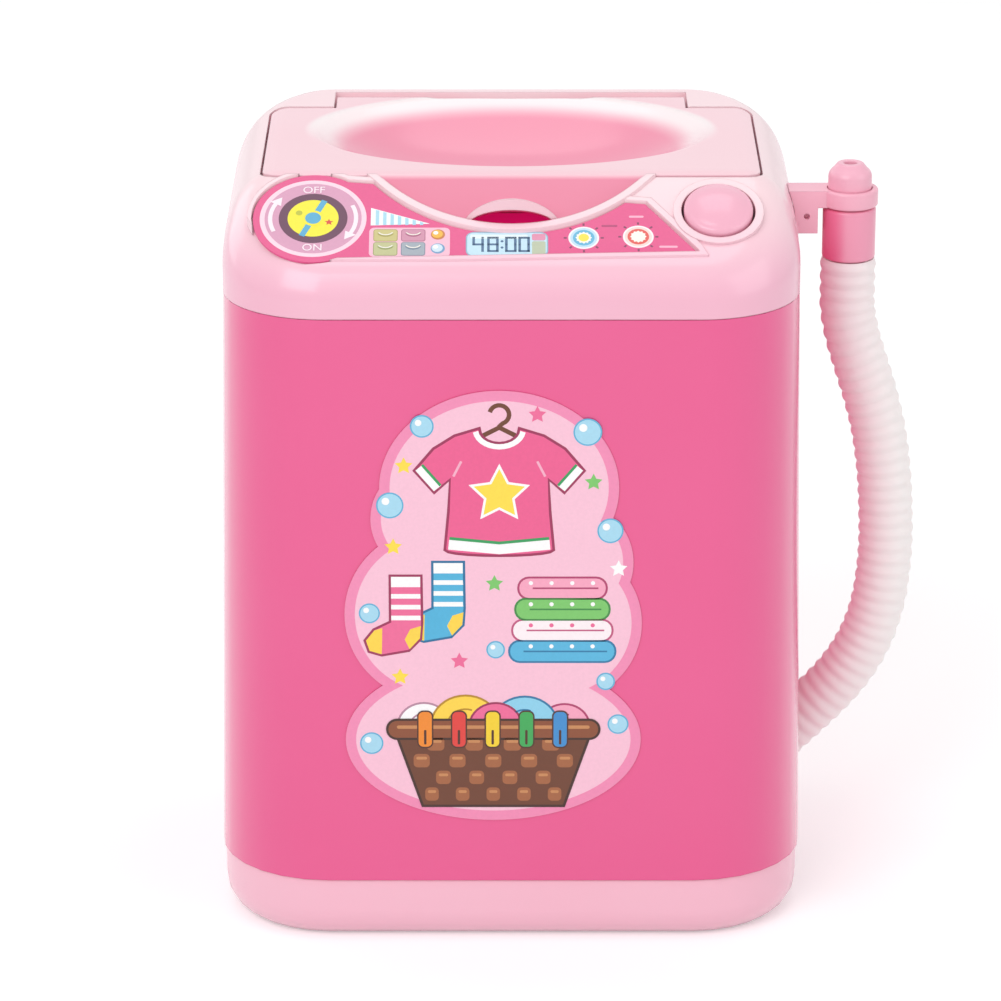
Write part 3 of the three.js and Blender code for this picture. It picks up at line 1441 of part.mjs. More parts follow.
const halfContact = CONTACT_WIDTH / 2;
const linkPlate = contactPlate(-1, cellLow - halfContact, cellHigh + halfContact);
place(powerGroup, 'contact_link', finishes.nickel, linkPlate.add(contactCoil(-1, cellLow)));
place(
  powerGroup,
  'contact_positive',
  finishes.nickel,
  contactPlate(1, cellLow - halfContact, cellLow + halfContact),
);
const negativePlate = contactPlate(1, cellHigh - halfContact, cellHigh + halfContact);
place(powerGroup, 'contact_negative', finishes.nickel, negativePlate.add(contactCoil(1, cellHigh)));

// Battery cover, a piece of the rear wall with a screw ear above

const coverHalf = boxHalf + BATTERY_BOX_WALL;
const coverBottomZ = BATTERY_BOX_Z + BATTERY_BOX_WALL;
const coverTopZ = boxTopZ - BATTERY_BOX_WALL;
const coverScrewZ = boxTopZ + COVER_BOSS_RADIUS + SEAT_GAP;

function rearDrum(x, z, radius, y0, y1, sides = CIRCLE_SIDES) {
  const geometry = new THREE.CylinderGeometry(radius, radius, y1 - y0, sides);
  geometry.translate(x, (y0 + y1) / 2, z);
  return solid(geometry);
}

function coverOutline(offset) {
  const y0 = rearInnerY - OVERRUN;
  const y1 = HOUSING_DEPTH;
  return unite(
    block(-coverHalf - offset, coverHalf + offset, y0, y1, coverBottomZ - offset, coverTopZ + offset),
    rearDrum(0, coverScrewZ, COVER_EAR_RADIUS + offset, y0, y1),
  );
}

const rearOuterY = REAR_Y + flareAt(coverScrewZ);
const coverSeatY = rearOuterY - BODY_WALL / 2;

function makeCover() {
  const wall = cut(
    housing(0, BASE_SEAM_Z, CAP_SEAM_Z),
    housing(BODY_WALL, BASE_SEAM_Z - OVERRUN, CAP_SEAM_Z + OVERRUN),
  );
  const hole = rearDrum(
    0,
    coverScrewZ,
    COVER_SCREW_RADIUS + PIN_GAP,
    0,
    HOUSING_DEPTH,
    SMALL_CIRCLE_SIDES,
  );
  const seat = rearDrum(0, coverScrewZ, COVER_SCREW_HEAD + PIN_GAP, coverSeatY, HOUSING_DEPTH);
  return cut(wall.intersect(coverOutline(0)), hole, seat);
}

place(powerGroup, 'battery_cover', finishes.pinkAbs, makeCover());

function makeCoverScrew() {
  const profile = [
    [0, -COVER_SCREW_LENGTH],
    [COVER_SCREW_RADIUS, -COVER_SCREW_LENGTH + COVER_SCREW_RADIUS],
    [COVER_SCREW_RADIUS, 0],
    [COVER_SCREW_HEAD, 0],
    [COVER_SCREW_HEAD, COVER_SCREW_HEAD_HEIGHT / 2],
    [COVER_SCREW_HEAD / 2, COVER_SCREW_HEAD_HEIGHT],
    [0, COVER_SCREW_HEAD_HEIGHT],
  ];
  const frame = new THREE.Matrix4().makeRotationX(-Math.PI / 2).setPosition(
    0,
    coverSeatY + SEAT_GAP / 2,
    coverScrewZ,
  );
  return moved(turned(profile, SMALL_CIRCLE_SIDES), frame);
}

place(powerGroup, 'battery_cover_screw', finishes.zincSteel, makeCoverScrew());

// Body shell

const caseScrews = [[1, 1], [-1, 1], [-1, -1], [1, -1]].map(([sx, sy]) =>
  new THREE.Vector2(sx * CASE_SCREW_X, sy * CASE_SCREW_Y));

// The hose's route in its upright plane, as [x, z], from the fitting down to the elbow
const hoseRoute = [
  [56.6, 109.6],
  [56.6, 105.2],
  [56.7, 100.6],
  [57.6, 95.9],
  [59.1, 91],
  [60.8, 85.6],
  [62.3, 79.8],
  [63.2, 74.5],
  [63.8, 69.1],
  [64.1, 63.6],
  [64.2, 58.2],
  [63.9, 52.9],
  [63.2, 47.8],
  [61.9, 42.9],
  [59.9, 38.3],
  [57.3, 34.2],
  [54.3, 30.6],
  [51.2, 27.4],
  [47.9, 24.1],
  [44.6, 20.8],
];
const hoseGroup = addGroup(machine, 'drain', standingAt(FITTING_X, HOSE_Y, CAP_SEAM_Z));
const hosePoints = hoseRoute.map(([x, z]) => new THREE.Vector3(x, HOSE_Y, z));
const hoseCurve = new THREE.CatmullRomCurve3(hosePoints, false, 'centripetal');
const hoseEnd = hosePoints[hosePoints.length - 1];
const hoseInward = hoseEnd.clone().sub(hosePoints[hosePoints.length - 2]).normalize();

// A rod whose axis runs through a point along a direction
function rodThrough(point, direction, from, to, radius, sides = CIRCLE_SIDES) {
  const geometry = new THREE.CylinderGeometry(radius, radius, to - from, sides);
  geometry.translate(0, (from + to) / 2, 0);
  const turn = new THREE.Quaternion().setFromUnitVectors(new THREE.Vector3(0, 1, 0), direction);
  geometry.applyQuaternion(turn);
  geometry.translate(point.x, point.y, point.z);
  return solid(geometry);
}

function makeBody() {
  const z0 = BASE_SEAM_Z + SEAM_GAP;
  const z1 = CAP_SEAM_Z - SEAM_GAP;
  const tubeWall = cut(housing(0, z0, z1), housing(BODY_WALL, z0 - OVERRUN, z1 + OVERRUN));
  const ledgeTop = FLANGE_Z - SEAT_GAP;
  const ledgeBottom = ledgeTop - LEDGE_RING_THICKNESS;
  const ledge = cut(
    housing(BODY_WALL / 2, ledgeBottom, ledgeTop),
    housing(BODY_WALL + LEDGE_RING_WIDTH, ledgeBottom - OVERRUN, ledgeTop + OVERRUN),
  );
  const bosses = caseScrews.map((at) => {
    const cornerX = Math.sign(at.x) * (SIDE_X - CORNER_RADIUS);
    const cornerY = Math.sign(at.y) * (REAR_Y - CORNER_RADIUS);
    const outward = Math.atan2(at.y - cornerY, at.x - cornerX);
    const ribFrame = new THREE.Matrix4().makeRotationZ(outward).setPosition(at.x, at.y, 0);
    const halfRib = CASE_RIB_WIDTH / 2;
    const bar = block(
      CASE_BOSS_RADIUS / 2,
      CASE_RIB_REACH,
      -halfRib,
      halfRib,
      z0,
      CASE_BOSS_TOP_Z - CASE_RIB_WIDTH,
    );
    const rib = moved(bar, ribFrame).intersect(housing(BODY_WALL / 2, z0 - OVERRUN, z1));
    return drum(at.x, at.y, CASE_BOSS_RADIUS, z0, CASE_BOSS_TOP_Z).add(rib);
  });
  const pilots = caseScrews.map((at) =>
    drum(
      at.x,
      at.y,
      CASE_SCREW_RADIUS + PIN_GAP,
      z0 - OVERRUN,
      CASE_SCREW_TIP_Z + OVERRUN,
      SMALL_CIRCLE_SIDES,
    ));
  const hoseHole = rodThrough(
    hoseEnd,
    hoseInward,
    -4 * HOSE_RADIUS,
    HOSE_RADIUS,
    HOSE_RADIUS + HOSE_HOLE_GAP,
  );
  const bossRearY = rearInnerY - 2 * SEAT_GAP;
  const strutFrontY = rearInnerY - COVER_LEDGE - SEAT_GAP;
  const strutTopZ = coverScrewZ + 2 * COVER_EAR_RADIUS;
  const footBottomZ = coverScrewZ + COVER_EAR_RADIUS + OVERRUN;
  const r = COVER_BOSS_RADIUS;
  const coverBoss = unite(
    rearDrum(0, coverScrewZ, r, rearInnerY - COVER_SCREW_LENGTH, bossRearY),
    block(-r, r, strutFrontY, bossRearY, coverScrewZ, strutTopZ),
    block(-r, r, strutFrontY, coverSeatY, footBottomZ, strutTopZ),
  );
  const coverPilot = rearDrum(
    0,
    coverScrewZ,
    COVER_SCREW_RADIUS + PIN_GAP,
    0,
    HOUSING_DEPTH,
    SMALL_CIRCLE_SIDES,
  );
  const shell = cut(
    unite(tubeWall, ledge, ...bosses),
    coverOutline(COVER_GAP),
    hoseHole,
  ).add(coverBoss);
  return cut(shell, coverPilot, ...pilots);
}

place(housingGroup, 'body_shell', finishes.pinkAbs, makeBody());

// Base tray

function makeBase() {
  const levels = [];
  for (let i = 0; i <= ROUND_STEPS; i++) {
    const a = (i / ROUND_STEPS) * (Math.PI / 2);
    const z = BASE_ROUND_HEIGHT * (1 - Math.cos(a));
    levels.push({ ...housingLevel(
      BASE_SEAM_Z,
      BASE_SETBACK + BASE_ROUND * (1 - Math.sin(a)),
    ), z: () => z });
  }
  levels.push(housingLevel(BASE_SEAM_Z, BASE_SETBACK));
  levels[levels.length - 1].z = () => BASE_SEAM_Z - SEAM_GAP;
  const outer = softBlock(levels);
  const hollow = housing(TRAY_WALL + BASE_ROUND / 2, BASE_FLOOR, BASE_ROUND_HEIGHT)
    .add(housing(TRAY_WALL, BASE_ROUND_HEIGHT - OVERRUN, BASE_SEAM_Z + OVERRUN));
  const lipTop = BASE_SEAM_Z + LIP_LENGTH;
  const lip = cut(
    housing(BODY_WALL + LIP_GAP, BASE_ROUND_HEIGHT, lipTop),
    housing(BODY_WALL + LIP_GAP + LIP_WALL, BASE_ROUND_HEIGHT - OVERRUN, lipTop + OVERRUN),
  );
  const lipNotches = caseScrews.map((at) =>
    drum(at.x, at.y, CASE_BOSS_RADIUS + CASE_RIB_REACH + SEAT_GAP, BASE_SEAM_Z - SEAM_GAP, farUp));
  const caseBosses = caseScrews.map((at) =>
    drum(at.x, at.y, CASE_BOSS_RADIUS + BODY_WALL / 2, 0, BASE_SEAM_Z - SEAM_GAP));
  const sockets = caseScrews.map((at) => drum(
    at.x,
    at.y,
    CASE_HEAD_RADIUS + SEAT_GAP,
    -OVERRUN,
    CASE_SEAT_Z,
  ));
  const holes = caseScrews.map((at) =>
    drum(at.x, at.y, CASE_SCREW_RADIUS + PIN_GAP, 0, BASE_SEAM_Z + OVERRUN, SMALL_CIRCLE_SIDES));
  const postDrums = posts.map((post) => drum(post.x, post.y, POST_RADIUS, 0, postTopZ));
  const postBores = posts.map((post) =>
    drum(
      post.x,
      post.y,
      SMALL_SCREW_RADIUS + PIN_GAP,
      postTopZ - SMALL_SCREW_LENGTH,
      postTopZ + OVERRUN,
      SMALL_CIRCLE_SIDES,
    ));
  const saddleTop = BATTERY_BOX_Z - SEAT_GAP;
  const saddleHalf = boxHalf / 2;
  const saddles = [-saddleHalf, saddleHalf].map((x) =>
    block(
      x - BATTERY_BOX_WALL,
      x + BATTERY_BOX_WALL,
      BATTERY_BOX_FRONT_Y,
      boxRearY - LIP_WALL - LIP_GAP,
      0,
      saddleTop,
    ));
  const inner = unite(
    ...caseBosses,
    ...postDrums,
    ...saddles,
  ).intersect(outer.add(housing(TRAY_WALL, BASE_FLOOR, postTopZ)));
  return cut(
    unite(cut(outer, hollow), cut(lip, ...lipNotches), inner),
    ...sockets,
    ...holes,
    ...postBores,
  );
}

place(housingGroup, 'base_tray', finishes.paleAbs, makeBase());

caseScrews.forEach((at, i) => {
  const profile = [
    [0, CASE_SEAT_Z - SEAT_GAP - CASE_HEAD_HEIGHT],
    [CASE_HEAD_RADIUS / 2, CASE_SEAT_Z - SEAT_GAP - CASE_HEAD_HEIGHT],
    [CASE_HEAD_RADIUS, CASE_SEAT_Z - SEAT_GAP - CASE_HEAD_HEIGHT / 2],
    [CASE_HEAD_RADIUS, CASE_SEAT_Z - SEAT_GAP],
    [CASE_SCREW_RADIUS, CASE_SEAT_Z - SEAT_GAP],
    [CASE_SCREW_RADIUS, CASE_SCREW_TIP_Z - CASE_SCREW_RADIUS],
    [0, CASE_SCREW_TIP_Z],
  ];
  const screw = moved(
    turned(profile, SMALL_CIRCLE_SIDES),
    new THREE.Matrix4().makeTranslation(at.x, at.y, 0),
  );
  place(housingGroup, `case_screw_${i + 1}`, finishes.zincSteel, screw);
});

// Drain elbow inside the body

function makeElbow() {
  const nozzleTip = hoseEnd.clone().addScaledVector(hoseInward, -ELBOW_NOZZLE);
  const bend = hoseEnd.clone().addScaledVector(hoseInward, ELBOW_RADIUS);
  const topZ = TUB_UNDERSIDE_Z - SEAT_GAP;
  const lowZ = bend.z - ELBOW_RADIUS;
  const points = [
    new THREE.Vector3(DRAIN_X, HOSE_Y, topZ),
    new THREE.Vector3(DRAIN_X, HOSE_Y, lowZ + 3 * ELBOW_RADIUS),
    new THREE.Vector3(DRAIN_X + ELBOW_RADIUS / 2, HOSE_Y, lowZ + ELBOW_RADIUS),
    new THREE.Vector3((DRAIN_X + bend.x) / 2, HOSE_Y, lowZ - ELBOW_RADIUS / 2),
    new THREE.Vector3(bend.x - ELBOW_RADIUS, HOSE_Y, lowZ - ELBOW_RADIUS / 4),
    bend,
    hoseEnd,
    nozzleTip,
  ];
  const bores = [...points];
  bores[0] = new THREE.Vector3(DRAIN_X, HOSE_Y, topZ + OVERRUN);
  bores[bores.length - 1] = nozzleTip.clone().addScaledVector(hoseInward, -OVERRUN);
  const collar = rodThrough(
    hoseEnd,
    hoseInward,
    SEAT_GAP,
    SEAT_GAP + ELBOW_COLLAR,
    ELBOW_COLLAR_RADIUS,
  );
  return cut(
    tube(points, ELBOW_RADIUS, BEND_STEPS, SMALL_CIRCLE_SIDES).add(collar),
    tube(bores, ELBOW_BORE, BEND_STEPS, SMALL_CIRCLE_SIDES),
  );
}

place(hoseGroup, 'drain_elbow', finishes.naturalPlastic, makeElbow());

// Ribbed hose: a ring of points at each crest and root, with a plain bore inside

function makeHose() {
  const length = hoseCurve.getLength();
  const straightShare = (2 * HOSE_RADIUS) / length / 2;
  const stations = [];
  const rings = 2 * HOSE_RIBS;
  for (let i = 0; i <= rings; i++) {
    stations.push({ share: i / rings, radius: i % 2 ? HOSE_RADIUS : HOSE_ROOT_RADIUS });
  }
  const positions = [];
  const index = [];
  const ringStarts = [];
  const addRing = (share, radius) => {
    const centre = hoseCurve.getPointAt(share);
    const near = Math.min(Math.max(share, straightShare), 1 - straightShare);
    const along = hoseCurve.getTangentAt(near === share ? share : Math.round(share)).normalize();
    const side = new THREE.Vector3(0, 1, 0);
    const up = new THREE.Vector3().crossVectors(along, side).normalize();
    ringStarts.push(positions.length / 3);
    for (let j = 0; j < HOSE_RING_POINTS; j++) {
      const a = (2 * Math.PI * j) / HOSE_RING_POINTS;
      const point = centre.clone()
        .addScaledVector(side, radius * Math.cos(a))
        .addScaledVector(up, radius * Math.sin(a));
      positions.push(point.x, point.y, point.z);
    }
  };
  for (const { share, radius } of stations) addRing(share, radius);
  const outerRings = ringStarts.length;
  for (let i = rings; i >= 0; i -= BORE_RINGS_APART) addRing(i / rings, HOSE_BORE_RADIUS);
  const join = (from, to) => {
    for (let j = 0; j < HOSE_RING_POINTS; j++) {
      const k = (j + 1) % HOSE_RING_POINTS;
      index.push(from + j, to + j, to + k, from + j, to + k, from + k);
    }
  };
  for (let i = 0; i + 1 < ringStarts.length; i++) join(ringStarts[i], ringStarts[i + 1]);
  join(ringStarts[ringStarts.length - 1], ringStarts[0]);
  const geometry = new THREE.BufferGeometry();
  geometry.setAttribute('position', new THREE.Float32BufferAttribute(positions, 3));
  geometry.setIndex(index);
  return solid(geometry);
}

place(hoseGroup, 'drain_hose', finishes.hosePlastic, makeHose());

// Hose fitting: knob, neck through the ring, sleeve and inner spigot

function makeFitting() {
  const sleeveTop = RING_Z - SEAT_GAP;
  const spigotBottom = SLEEVE_BOTTOM_Z - SPIGOT_LENGTH;
  const profile = [
    [0, spigotBottom],
    [SPIGOT_RADIUS, spigotBottom],
    [SPIGOT_RADIUS, SLEEVE_BOTTOM_Z],
    [SLEEVE_RADIUS, SLEEVE_BOTTOM_Z],
    [SLEEVE_RADIUS, sleeveTop],
    [KNOB_RADIUS, sleeveTop],
    [KNOB_RADIUS, KNOB_TOP_Z - KNOB_CHAMFER],
    [(KNOB_RADIUS + KNOB_TOP_RADIUS) / 2, KNOB_TOP_Z - KNOB_CHAMFER / 4],
    [KNOB_TOP_RADIUS, KNOB_TOP_Z],
    [0, KNOB_TOP_Z],
  ];
  const at = new THREE.Matrix4().makeTranslation(FITTING_X, HOSE_Y, 0);
  const bore = drum(
    FITTING_X,
    HOSE_Y,
    FITTING_BORE,
    spigotBottom - OVERRUN,
    KNOB_TOP_Z + OVERRUN,
    SMALL_CIRCLE_SIDES,
  );
  return cut(moved(turned(profile), at), bore);
}

place(hoseGroup, 'hose_fitting', finishes.fittingPlastic, makeFitting());

// Hose bracket: gusset against the cap, arm and ring

function makeBracket() {
  const half = ARM_WIDTH / 2;
  const inside = SIDE_X - CORNER_RADIUS / 2;
  const ringTop = RING_Z + RING_HEIGHT;
  const gusset = block(inside, GUSSET_RIGHT_X, HOSE_Y - half, HOSE_Y + half, GUSSET_BOTTOM_Z, ringTop);
  const arm = block(inside, FITTING_X, HOSE_Y - half, HOSE_Y + half, RING_Z, ringTop);
  const ring = drum(FITTING_X, HOSE_Y, RING_RADIUS, RING_Z, ringTop);
  const hole = drum(FITTING_X, HOSE_Y, KNOB_RADIUS + SEAT_GAP, RING_Z - OVERRUN, ringTop + OVERRUN);
  const markX = (GUSSET_RIGHT_X + SIDE_X) / 2;
  const markZ = (GUSSET_BOTTOM_Z + 2 * RING_Z) / 3;
  const mark = rearDrum(
    markX,
    markZ,
    GUSSET_HOLE_RADIUS,
    HOSE_Y - half - OVERRUN,
    HOSE_Y - half + GUSSET_HOLE_DEPTH,
    SMALL_CIRCLE_SIDES,
  );
  const outside = cut(unite(gusset, arm, ring), capBlock(0, -SEAT_GAP, CAP_SEAM_Z - OVERRUN));
  return cut(outside.add(makeBracketTongue(0)), hole, mark);
}

place(hoseGroup, 'hose_bracket', finishes.fittingPlastic, makeBracket());

// Die-cut sticker on the front: round lobes joined into one outline, [x, z, width, height] shares

const stickerLobeShares = [
  [0.02, 0.27, 0.8, 0.44],
  [-0.2, -0.02, 0.6, 0.4],
  [0.2, -0.04, 0.6, 0.38],
  [0, -0.31, 1, 0.38],
  [-0.24, 0.2, 0.34, 0.24],
  [0.29, 0.1, 0.36, 0.26],
];

function stickerPrism(y0, y1) {
  const lobes = stickerLobeShares.map(([x, z, width, height]) => {
    const lobe = rearDrum(0, 0, 1, y0, y1, LARGE_CIRCLE_SIDES);
    const spread = new THREE.Matrix4().makeScale(
      (width * STICKER_WIDTH) / 2,
      1,
      (height * STICKER_HEIGHT) / 2,
    );
    spread.setPosition(STICKER_X + x * STICKER_WIDTH, 0, STICKER_Z + z * STICKER_HEIGHT);
    return moved(lobe, spread);
  });
  return unite(...lobes);
}

const stickerSkin = cut(
  housing(-LABEL_GAP - STICKER_THICKNESS, BASE_SEAM_Z, CAP_SEAM_Z),
  housing(-LABEL_GAP, BASE_SEAM_Z - OVERRUN, CAP_SEAM_Z + OVERRUN),
);
place(
  housingGroup,
  'front_sticker',
  finishes.stickerFilm,
  stickerSkin.intersect(stickerPrism(-HOUSING_DEPTH, 0)),
);

// Wires between the batteries, the switch and the motor

const contactFrontY = cellY - CONTACT_WIDTH / 2;
const wireX = contactHalf - WIRE_RADIUS / 2;
const motorSide = (side, z) => new THREE.Vector3(
  side * (MOTOR_WIDTH / 2 + SEAT_GAP),
  0,
  z,
).applyMatrix4(motorFrame);
const switchFootZ = -WELL_DEPTH - WELL_FLOOR - 2 * SEAT_GAP - SWITCH_HEIGHT - WIRE_RADIUS;
const switchFoot = (x) => new THREE.Vector3(x, 0, switchFootZ).applyMatrix4(buttonFrame);

function placeWire(name, points, finish) {
  const path = points.map((p) => (p.isVector3 ? p : new THREE.Vector3(...p)));
  place(powerGroup, name, finish, tube(path, WIRE_RADIUS, 2 * path.length, WIRE_SIDES));
}

placeWire('wire_battery_switch', [
  [wireX, contactFrontY - SEAT_GAP, cellLow],
  [wireX, BATTERY_BOX_FRONT_Y - BATTERY_BOX_WALL, cellLow],
  ...WIRE_ALONG_SIDE,
  [FLANGE_HOLE_X + FLANGE_HOLE_RADIUS / 2, FLANGE_HOLE_Y, FLANGE_Z + 2 * FLANGE_THICKNESS],
  switchFoot(SWITCH_SIZE / 4),
], finishes.redWire);
placeWire('wire_switch_motor', [
  switchFoot(-SWITCH_SIZE / 4),
  [FLANGE_HOLE_X - FLANGE_HOLE_RADIUS / 2, FLANGE_HOLE_Y, FLANGE_Z + 2 * FLANGE_THICKNESS],
  ...WIRE_ALONG_FRONT,
  motorSide(1, MOTOR_WIRE_Z),
], finishes.redWire);
placeWire('wire_battery_motor', [
  [wireX, contactFrontY - SEAT_GAP, cellHigh],
  [wireX, BATTERY_BOX_FRONT_Y - BATTERY_BOX_WALL, cellHigh],
  ...WIRE_UNDER_PLATE,
  motorSide(-1, MOTOR_WIRE_Z),
], finishes.blackWire);

export default machine;
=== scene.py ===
"""Toy washing machine: shells, print, hose and inner works in their real finishes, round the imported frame."""

import logging
import math
from dataclasses import dataclass, field
from enum import Enum
from functools import partial
from typing import Callable, Iterable, Sequence

import bmesh
import bpy
from mathutils import Matrix, Vector


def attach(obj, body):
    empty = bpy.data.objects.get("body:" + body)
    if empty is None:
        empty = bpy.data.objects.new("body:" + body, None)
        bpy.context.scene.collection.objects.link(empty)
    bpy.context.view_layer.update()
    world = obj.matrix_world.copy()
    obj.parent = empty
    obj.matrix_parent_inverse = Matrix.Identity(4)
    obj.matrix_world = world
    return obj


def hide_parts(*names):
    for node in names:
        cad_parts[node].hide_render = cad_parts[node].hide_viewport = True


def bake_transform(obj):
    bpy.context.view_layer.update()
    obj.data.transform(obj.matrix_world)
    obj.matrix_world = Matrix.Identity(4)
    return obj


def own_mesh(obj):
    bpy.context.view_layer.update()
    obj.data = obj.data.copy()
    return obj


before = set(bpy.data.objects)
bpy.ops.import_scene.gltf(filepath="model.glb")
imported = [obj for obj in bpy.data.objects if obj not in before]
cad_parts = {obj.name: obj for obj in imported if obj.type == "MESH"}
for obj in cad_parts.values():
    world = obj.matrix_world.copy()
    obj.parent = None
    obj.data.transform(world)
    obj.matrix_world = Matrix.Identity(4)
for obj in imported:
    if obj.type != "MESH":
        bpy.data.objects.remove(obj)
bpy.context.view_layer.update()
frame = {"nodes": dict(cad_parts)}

MM = 0.001
WELD = 0.001
NODE_WELD = 2e-6
FLAT_ANGLE = math.radians(0.5)
TURNED_WELD = 1e-5
TUBE_WELD = 1e-4
ROUND_STEPS = 48
CORNER_STEPS = 16
FINE_STEPS = 96
SCOOP_STEPS = 160
SPAN_STEPS = 24
IMAGE_SIZE = 1001
MIX_FIRST, MIX_SECOND, MIX_RESULT = 6, 7, 2
SMOOTH = "SMOOTHSTEP"
log = logging.getLogger("washing_machine")

Point = tuple[float, float]
Place = tuple[float, float, float]
Tree = bpy.types.NodeTree
Socket = bpy.types.NodeSocket
Node = bpy.types.Node
Material = bpy.types.Material
Solid = bpy.types.Object
Mesh = bmesh.types.BMesh


class Body(Enum):
    """The rigid bodies that the scene's own pieces ride on."""

    MACHINE = "machine"
    LID = "lid"
    BUTTON = "button"
    FITTING = "fitting"
    COVER = "cover"


class Join(Enum):
    """How one solid changes another."""

    CUT = "DIFFERENCE"
    ADD = "UNION"
    KEEP = "INTERSECT"


# Colour and shader nodes


def linear(colour: str) -> tuple[float, float, float, float]:
    """Turn an sRGB hex colour into linear values.

    Args:
        colour: Six hex digits after a hash sign.

    Returns:
        Linear red, green, blue and an alpha of one.
    """
    parts = [int(colour[i : i + 2], 16) / 255 for i in (1, 3, 5)]
    r, g, b = (c / 12.92 if c <= 0.04045 else ((c + 0.055) / 1.055) ** 2.4 for c in parts)
    return (r, g, b, 1.0)


def feed(tree: Tree, node: Node, inputs: dict) -> None:
    """Set a node's inputs, each to a value or to the output socket that feeds it."""
    for key, source in inputs.items():
        if isinstance(source, Socket):
            tree.links.new(source, node.inputs[key])
        else:
            node.inputs[key].default_value = source


def add_node(tree: Tree, kind: str, inputs: dict | None = None, **settings: object) -> Node:
    """Add a node with its settings and inputs.

    Args:
        tree: The material's or world's node tree.
        kind: The node's type.
        inputs: Socket name or index to its value, or to the output socket that feeds it.
        settings: Attributes set on the node itself.

    Returns:
        The new node.
    """
    node = tree.nodes.new(kind)
    for key, value in settings.items():
        setattr(node, key, value)
    feed(tree, node, inputs or {})
    return node


def blank_material(name: str) -> tuple[Material, Tree, Node, Socket]:
    """Make an empty material with its shader and object coordinates.

    Args:
        name: The material's name.

    Returns:
        The material, its tree, its Principled shader and the Object coordinate socket.
    """
    material = bpy.data.materials.new(name)
    material.use_nodes = True
    tree = material.node_tree
    tree.nodes.clear()
    shader = add_node(tree, "ShaderNodeBsdfPrincipled")
    add_node(tree, "ShaderNodeOutputMaterial", {"Surface": shader.outputs["BSDF"]})
    place = add_node(tree, "ShaderNodeTexCoord").outputs["Object"]
    return material, tree, shader, place


def axes_of(tree: Tree, place: Socket) -> Sequence[Socket]:
    """The x, y and z sockets of a place."""
    return tuple(add_node(tree, "ShaderNodeSeparateXYZ", {0: place}).outputs)


def varied(tree: Tree, place: Socket, grain_mm: float, low: float = 0, high: float = 1,
           detail: float = 2) -> Socket:
    """Noise of a real size, spread between two values.

    Args:
        tree: The material's node tree.
        place: Object coordinates.
        grain_mm: The size of one blotch.
        low: Lowest value out.
        high: Highest value out.
        detail: Octaves of finer noise.

    Returns:
        The value socket.
    """
    blotches = {"Scale": 1 / (grain_mm * MM), "Detail": detail, "Vector": place}
    noise = add_node(tree, "ShaderNodeTexNoise", blotches).outputs["Fac"]
    spread = {"To Min": low, "To Max": high, "Value": noise}
    return add_node(tree, "ShaderNodeMapRange", spread, interpolation_type=SMOOTH).outputs["Result"]


def mixed(tree: Tree, share: Socket, first: Socket | str, second: Socket | str) -> Socket:
    """Mix two colours by a share.

    Args:
        tree: The material's node tree.
        share: Zero gives the first colour, one the second.
        first: sRGB hex, or a colour socket.
        second: sRGB hex, or a colour socket.

    Returns:
        The colour socket.
    """
    first, second = (linear(colour) if isinstance(colour, str) else colour for colour in (first, second))
    inputs = {MIX_FIRST: first, MIX_SECOND: second, 0: share}
    return add_node(tree, "ShaderNodeMix", inputs, data_type="RGBA").outputs[MIX_RESULT]


def worked(tree: Tree, operation: str, *items: Socket | float) -> Socket:
    """Work out sockets or plain numbers with one Math operation, from left to right.

    Args:
        tree: The material's node tree.
        operation: The Math node's operation.
        items: Sockets or numbers.

    Returns:
        The result's socket.
    """
    result = items[0]
    for item in items[1:] or (0.0,):
        result = add_node(tree, "ShaderNodeMath", {0: result, 1: item}, operation=operation).outputs[0]
    return result


def ramped(tree: Tree, value: Socket, start: float, end: float) -> Socket:
    """A smooth step from zero at the start to one at the end."""
    step = {"From Min": start, "From Max": end, "Value": value}
    return add_node(tree, "ShaderNodeMapRange", step, interpolation_type=SMOOTH).outputs["Result"]


def bumped(tree: Tree, shader: Node, height: Socket, depth_mm: float, edge_mm: float = 0.0) -> None:
    """Give a shader a bump of a real depth.

    Args:
        tree: The material's node tree.
        shader: The shader to bump.
        height: Height from zero to one.
        depth_mm: What one stands for.
        edge_mm: Radius that sharp edges catch the light with, if any.
    """
    bump = add_node(tree, "ShaderNodeBump", {"Strength": 1.0, "Distance": depth_mm * MM, "Height": height})
    if edge_mm:
        edge = add_node(tree, "ShaderNodeBevel", {"Radius": edge_mm * MM}, samples=4)
        feed(tree, bump, {"Normal": edge.outputs["Normal"]})
    feed(tree, shader, {"Normal": bump.outputs["Normal"]})


